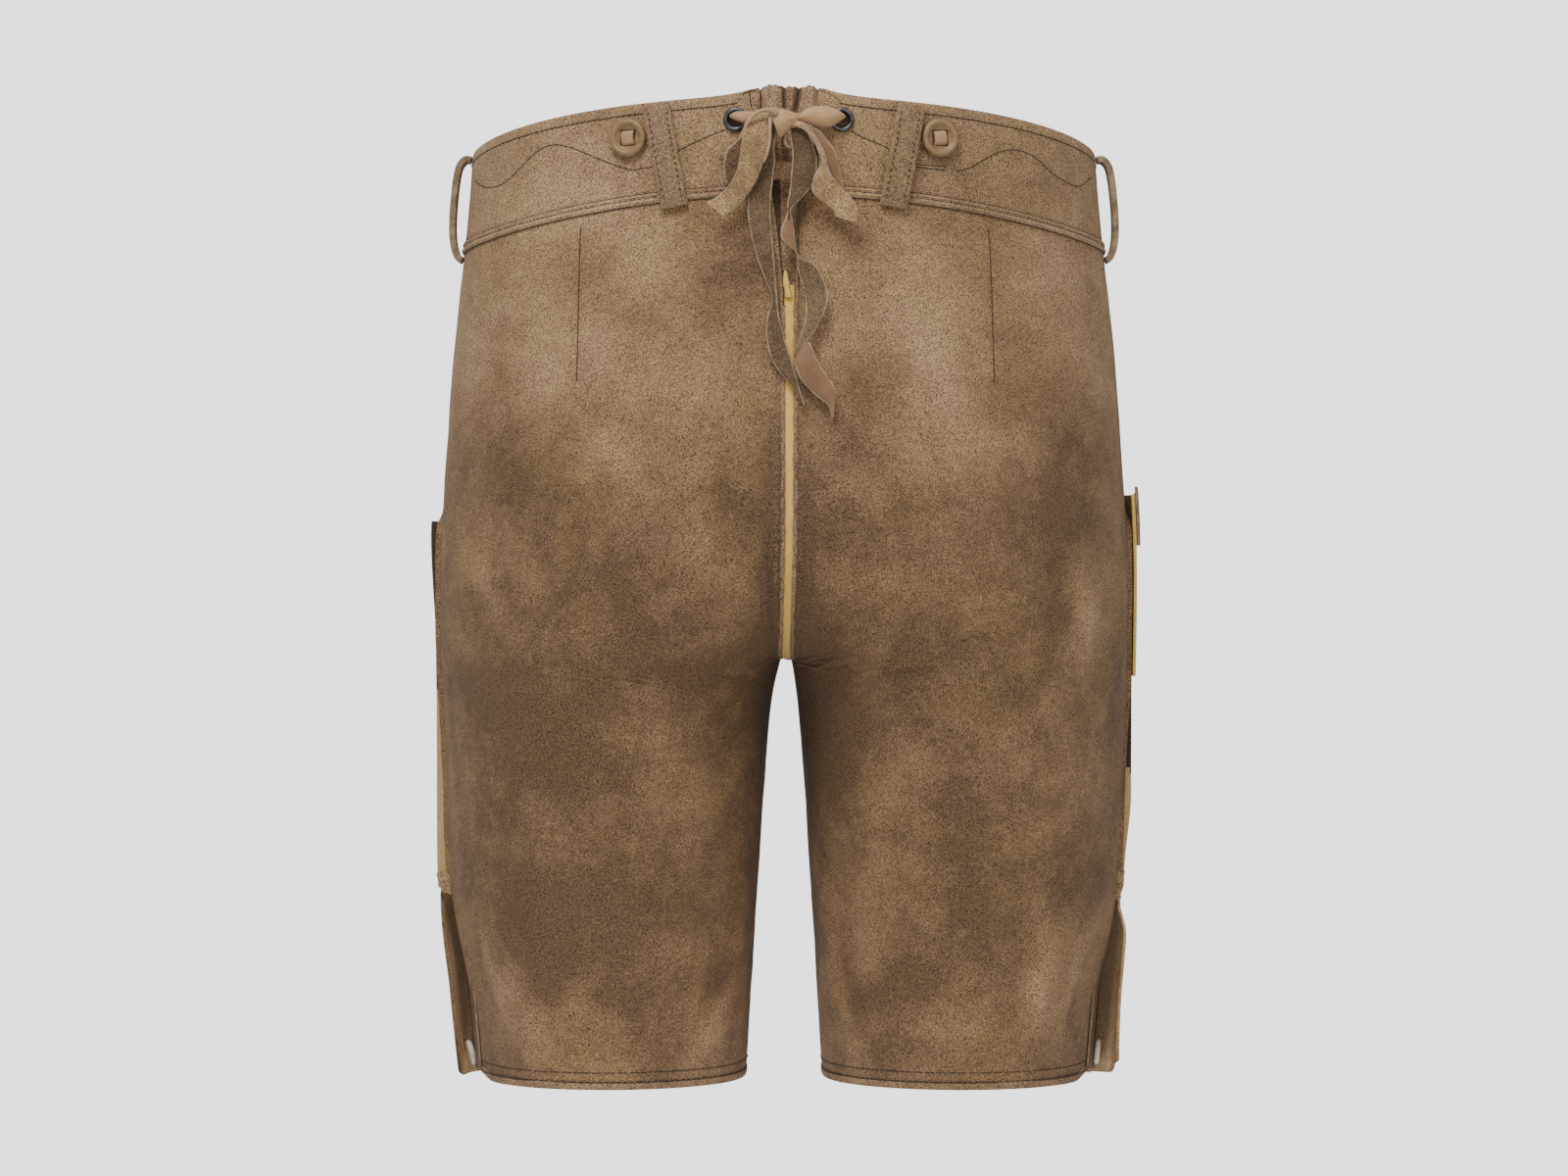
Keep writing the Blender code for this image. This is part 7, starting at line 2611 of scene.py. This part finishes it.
@dataclass
class Knees:
    """The slit at each knee, with its placket and underlap, and the bound hem."""

    placket_cut: tuple[float, float] = (0.055, 0.105)
    underlap_cut: tuple[float, float] = (0.060, 0.103)
    hem_cut: tuple[float, float] = (0.012, 0.573)
    hem_area: float = 0.0032
    hem_rows: tuple[float, float] = (0.0098, 0.0042)
    hem_reach: int = 7  # samples to each side that a row's height is levelled over
    hem_least: float = 0.0012  # nearest that a row comes to the foot
    shells: dict[str, bpy.types.Object] = field(default_factory=dict)

    def build(self) -> None:
        """Makes the plackets, underlaps and hem bindings."""
        for word in SIDES:
            for node, outer, inner, edge, mould, slot, cut, area in (
                ("knee_placket_", SUEDE, PAINTED_LIGHT_FACING, SUEDE, self.round_off, "suede",
                 self.placket_cut, None),
                ("knee_underlap_", DARK_SUEDE, FACING_SUEDE, EDGE, self.swell, "inner_suede",
                 self.underlap_cut, None),
                ("hem_binding_", TRIM_SUEDE, FACING_SUEDE, EDGE, self.close_up, "edge_suede",
                 self.hem_cut, self.hem_area),
            ):
                self.shells[node + word] = Shell(
                    node + word, outer=outer, inner=inner, edge=edge, mould=mould, slot=slot,
                    flat=cut, area=area, uneven=node == "hem_binding_",
                    rests_on=("shell_back_panel_" + word,),
                ).build()

    @staticmethod
    def close_up(points: np.ndarray) -> tuple[np.ndarray, np.ndarray]:
        """Draws the hem binding's top edge up to the panel's foot.

        Args:
            points: the binding's points.

        Returns:
            The moved points and an even tone.
        """
        foot = np.array([
            points[np.hypot(points[:, 0] - x, points[:, 1] - y) < 0.006, 2].min()
            for x, y in points[:, :2]
        ])
        moved, tone = tucked(points)
        moved[:, 2] += HEM_LIFT * rising(points[:, 2] - foot, 0.0016, 0.0030)
        return moved, tone

    @staticmethod
    def round_off(points: np.ndarray) -> tuple[np.ndarray, np.ndarray]:
        """Draws the placket's ends out, rounds its lower corner and paints light and shade on its inner face.

        Args:
            points: the placket's points.

        Returns:
            The moved points and the painted light and shade: lighter above its foot, darker on its rim at the back.
        """
        points = points.copy()
        side, left, right = np.sign(points[:, 0]), points[:, 0] > 0, points[:, 0] < 0
        points[:, 2] -= PLACKET_LONGER * rising(points[:, 2], -0.455, -0.510)
        drawn_in = PLACKET_IN * right * rising(points[:, 1], -0.010, 0.010)
        points[:, 0] += drawn_in * rising(points[:, 2], -0.433, -0.413)
        points[:, 2] += np.where(right, *PLACKET_TOP) * rising(points[:, 2], -0.416, -0.409)
        lean = PLACKET_LEAN[0] + PLACKET_LEAN[1] * rising(points[:, 2], -0.407, -0.467)
        lean *= np.where(left, 1.0, LEAN_RIGHT) * rising(points[:, 1], -0.022, 0.014)
        points[:, 0] -= side * lean
        moved = points.copy()
        x, z = np.abs(points[:, 0]), points[:, 2]
        far, low = np.where(left, *CORNER_OUT) - CORNER_RADIUS, CORNER_FOOT + CORNER_RADIUS
        over = (x > far) & (z < low)
        across, down = x - far, z - low
        away = np.hypot(across, down)
        pull = np.where(
            over & (away > CORNER_RADIUS), CORNER_RADIUS / np.maximum(away, 1e-6), 1.0
        )
        moved[:, 0] = side * np.where(over, far + across * pull, x)
        moved[:, 2] = np.where(over, low + down * pull, z)
        foot = rising(x, 0.1895, 0.1845) * rising(z, -0.488, -0.500)
        moved[:, 0] -= side * PLACKET_FOOT_IN * foot
        # Painted light above the placket's foot and painted shade on its rim at the back.
        rim = rising(points[:, 1], 0.005, 0.019)
        tone = PLACKET_TONE + PLACKET_PAINTED_LIGHT * rising(z, -0.514, -0.482) - PLACKET_PAINTED_SHADE * rim
        return moved, tone

    @staticmethod
    def swell(points: np.ndarray) -> tuple[np.ndarray, np.ndarray]:
        """Swells the underlap out towards the placket.

        Args:
            points: the underlap's points.

        Returns:
            The moved points and an even tone.
        """
        moved = points.copy()
        middle = rising(points[:, 1], -0.018, -0.004) * rising(points[:, 1], 0.022, 0.010)
        middle *= rising(points[:, 2], -0.470, -0.440)
        moved[:, 0] += np.sign(points[:, 0]) * UNDERLAP_OUT * middle
        return moved, np.zeros(len(points))

    def sew(self, panels: Panels) -> None:
        """Sews two rows round each hem.

        Args:
            panels: the panels, whose foot the rows lie on.
        """
        rows = Sewing("hem_sewing")
        for word, side in SIDES.items():
            skin = Skin([
                panels.shells["back_panel_" + word], panels.shells["front_panel_" + word],
                self.shells["hem_binding_" + word],
            ])
            middle = side * 0.104
            turns = [float(turn) for turn in np.linspace(0, 360, 150)]
            feet = [skin.end(turn, -0.56, -0.49, False, middle) for turn in turns]
            for up in self.hem_rows:
                track = []
                for k, (turn, foot) in enumerate(zip(turns, feet)):
                    near = feet[max(0, k - self.hem_reach):k + self.hem_reach + 1]
                    level = min(z for z in near if z) if foot else 0.0
                    if foot and level + up > foot + self.hem_least:
                        found = skin.round_about(turn, level + up, middle)
                        if found:
                            track.append(found)
                rows.row(track, PLAIN_STITCH)
        rows.build()


@dataclass
class DropFront:
    """The plain drop front."""

    cut: tuple[float, float] = (0.156, 0.172)
    inset: float = 0.0035
    slant: float = 0.0078  # how much further out its foot is than its top, at each side

    def build(self) -> None:
        """Makes the flap."""
        self.piece = Shell(
            "drop_front", flat=self.cut, levels=3,
            rests_on=("shell_front_panel_left", "shell_front_panel_right"),
        ).build()

    def sew(self) -> None:
        """Sews a row inside the flap's side and bottom edges."""
        skin = Skin([self.piece])
        low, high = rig.box("drop_front")
        rows = Sewing("drop_front_sewing")
        left, right = high[0] - self.inset, low[0] + self.inset
        foot, top = low[2] + self.inset, high[2] - self.inset
        slant = self.slant
        line = [
            *((left - slant * t, top + (foot - top) * t) for t in np.linspace(0, 1, 40)),
            *((left - slant + (right - left + 2 * slant) * t, foot)
              for t in np.linspace(0.02, 0.98, 36)),
            *((right + slant - slant * t, foot + (top - foot) * t)
              for t in np.linspace(0, 1, 40)),
        ]
        track = [skin.square_on(float(x), float(z), -1) for x, z in line]
        rows.row([t for t in track if t], PLAIN_STITCH)
        rows.build()


# Studio --------------------------------------------------------------------------------------


@dataclass(frozen=True)
class Lamp:
    """A soft square light."""

    name: str
    place: Point
    size: float
    watts: float
    colour: Colour = (1.0, 1.0, 1.0)


@dataclass
class Studio:
    """The camera, the lights, the backdrop's grey and the floor."""

    lens: float = 104.74
    target: Point = (0.0, 0.0, -0.25)
    grey: float = 2.31
    ambient: float = 0.40
    floor_height: float = -0.75
    floor_radius: float = 1.15
    lamps: tuple[Lamp, ...] = (
        Lamp("key_light", (0.6, 1.7, 2.4), 1.3, 78.0),
        Lamp("side_light", (-1.7, 1.6, 0.5), 1.4, 7.0),
        Lamp("fill_light", (0.1, 3.0, -0.4), 0.9, 9.0),
        Lamp("front_light", (0.6, -2.4, 1.6), 1.8, 34.0),
    )

    def camera(self) -> None:
        """Sets the camera square behind the garment."""
        camera = bpy.data.cameras.new("studio_camera")
        camera.lens = self.lens
        camera.sensor_width = 36.0
        camera.clip_start = 0.05
        holder = bpy.data.objects.new("studio_camera", camera)
        holder.location = VIEW.place
        holder.rotation_euler = (math.pi / 2, 0.0, math.pi)
        bpy.context.scene.collection.objects.link(holder)
        bpy.context.scene.camera = holder

    def light(self) -> None:
        """Hangs the lights and paints the backdrop grey."""
        for lamp in self.lamps:
            data = bpy.data.lights.new(lamp.name, "AREA")
            data.shape = "SQUARE"
            data.size = lamp.size
            data.energy = lamp.watts
            data.color = lamp.colour
            holder = bpy.data.objects.new(lamp.name, data)
            holder.location = lamp.place
            look = Vector(self.target) - Vector(lamp.place)
            holder.rotation_euler = look.to_track_quat("-Z", "Y").to_euler()
            bpy.context.scene.collection.objects.link(holder)
        world = bpy.data.worlds.new("studio_grey")
        world.use_nodes = True
        tree = world.node_tree
        backdrop = tree.nodes["Background"]
        backdrop.inputs["Color"].default_value = (self.grey, self.grey, self.grey, 1.0)
        glow = tree.nodes.new("ShaderNodeBackground")
        glow.inputs["Color"].default_value = (self.ambient, self.ambient, self.ambient, 1.0)
        path = tree.nodes.new("ShaderNodeLightPath")
        seen = tree.nodes.new("ShaderNodeMixShader")
        tree.links.new(path.outputs["Is Camera Ray"], seen.inputs[0])
        tree.links.new(glow.outputs[0], seen.inputs[1])
        tree.links.new(backdrop.outputs[0], seen.inputs[2])
        tree.links.new(seen.outputs[0], tree.nodes["World Output"].inputs["Surface"])
        bpy.context.scene.world = world

    def floor(self) -> None:
        """Lays the pale round floor below the garment."""
        form = bmesh.new()
        bmesh.ops.create_circle(form, cap_ends=True, radius=self.floor_radius, segments=96)
        bmesh.ops.translate(form, vec=(0, 0, self.floor_height), verts=form.verts)
        mesh = bpy.data.meshes.new("studio_floor")
        form.to_mesh(mesh)
        form.free()
        floor = bpy.data.objects.new("studio_floor", mesh)
        bpy.context.scene.collection.objects.link(floor)
        mesh.materials.append(material_of(FLOOR))
        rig.stage(floor)


def plain(box: Sequence[Iterable[float]]) -> list[list[float]]:
    """A box as plain lists of numbers.

    Args:
        box: its lowest and highest corners.

    Returns:
        The same corners as lists.
    """
    return [[float(v) for v in corner] for corner in box]


def main() -> None:
    """Dresses the garment and sets up the studio."""
    cad_box = plain(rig.bounds())
    studio = Studio()
    studio.camera()
    lace = Lace()
    lace.build()
    panels = Panels()
    panels.build()
    panels.sew()
    band = Waistband()
    band.build()
    band.sew()
    panels.sew_gusset(band.shells["waistband_back_left"], band.shells["waistband_back_right"])
    seams = Seams()
    seams.build()
    seams.raw_edges(panels.skin("back"))
    seams.fray(panels.skin("back"))
    Sides().build()
    knees = Knees()
    knees.build()
    knees.sew(panels)
    front = DropFront()
    front.build()
    front.sew()
    Buttons().build()
    Eyelets().build()
    studio.light()
    studio.floor()
    bpy.context.view_layer.update()
    with open(SIZES, "w", encoding="utf-8") as file:
        json.dump({"cad": cad_box, "visual": plain(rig.bounds())}, file)


if __name__ == "__main__":
    logging.basicConfig(level=logging.INFO, format="%(message)s")
    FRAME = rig.load()
    main()
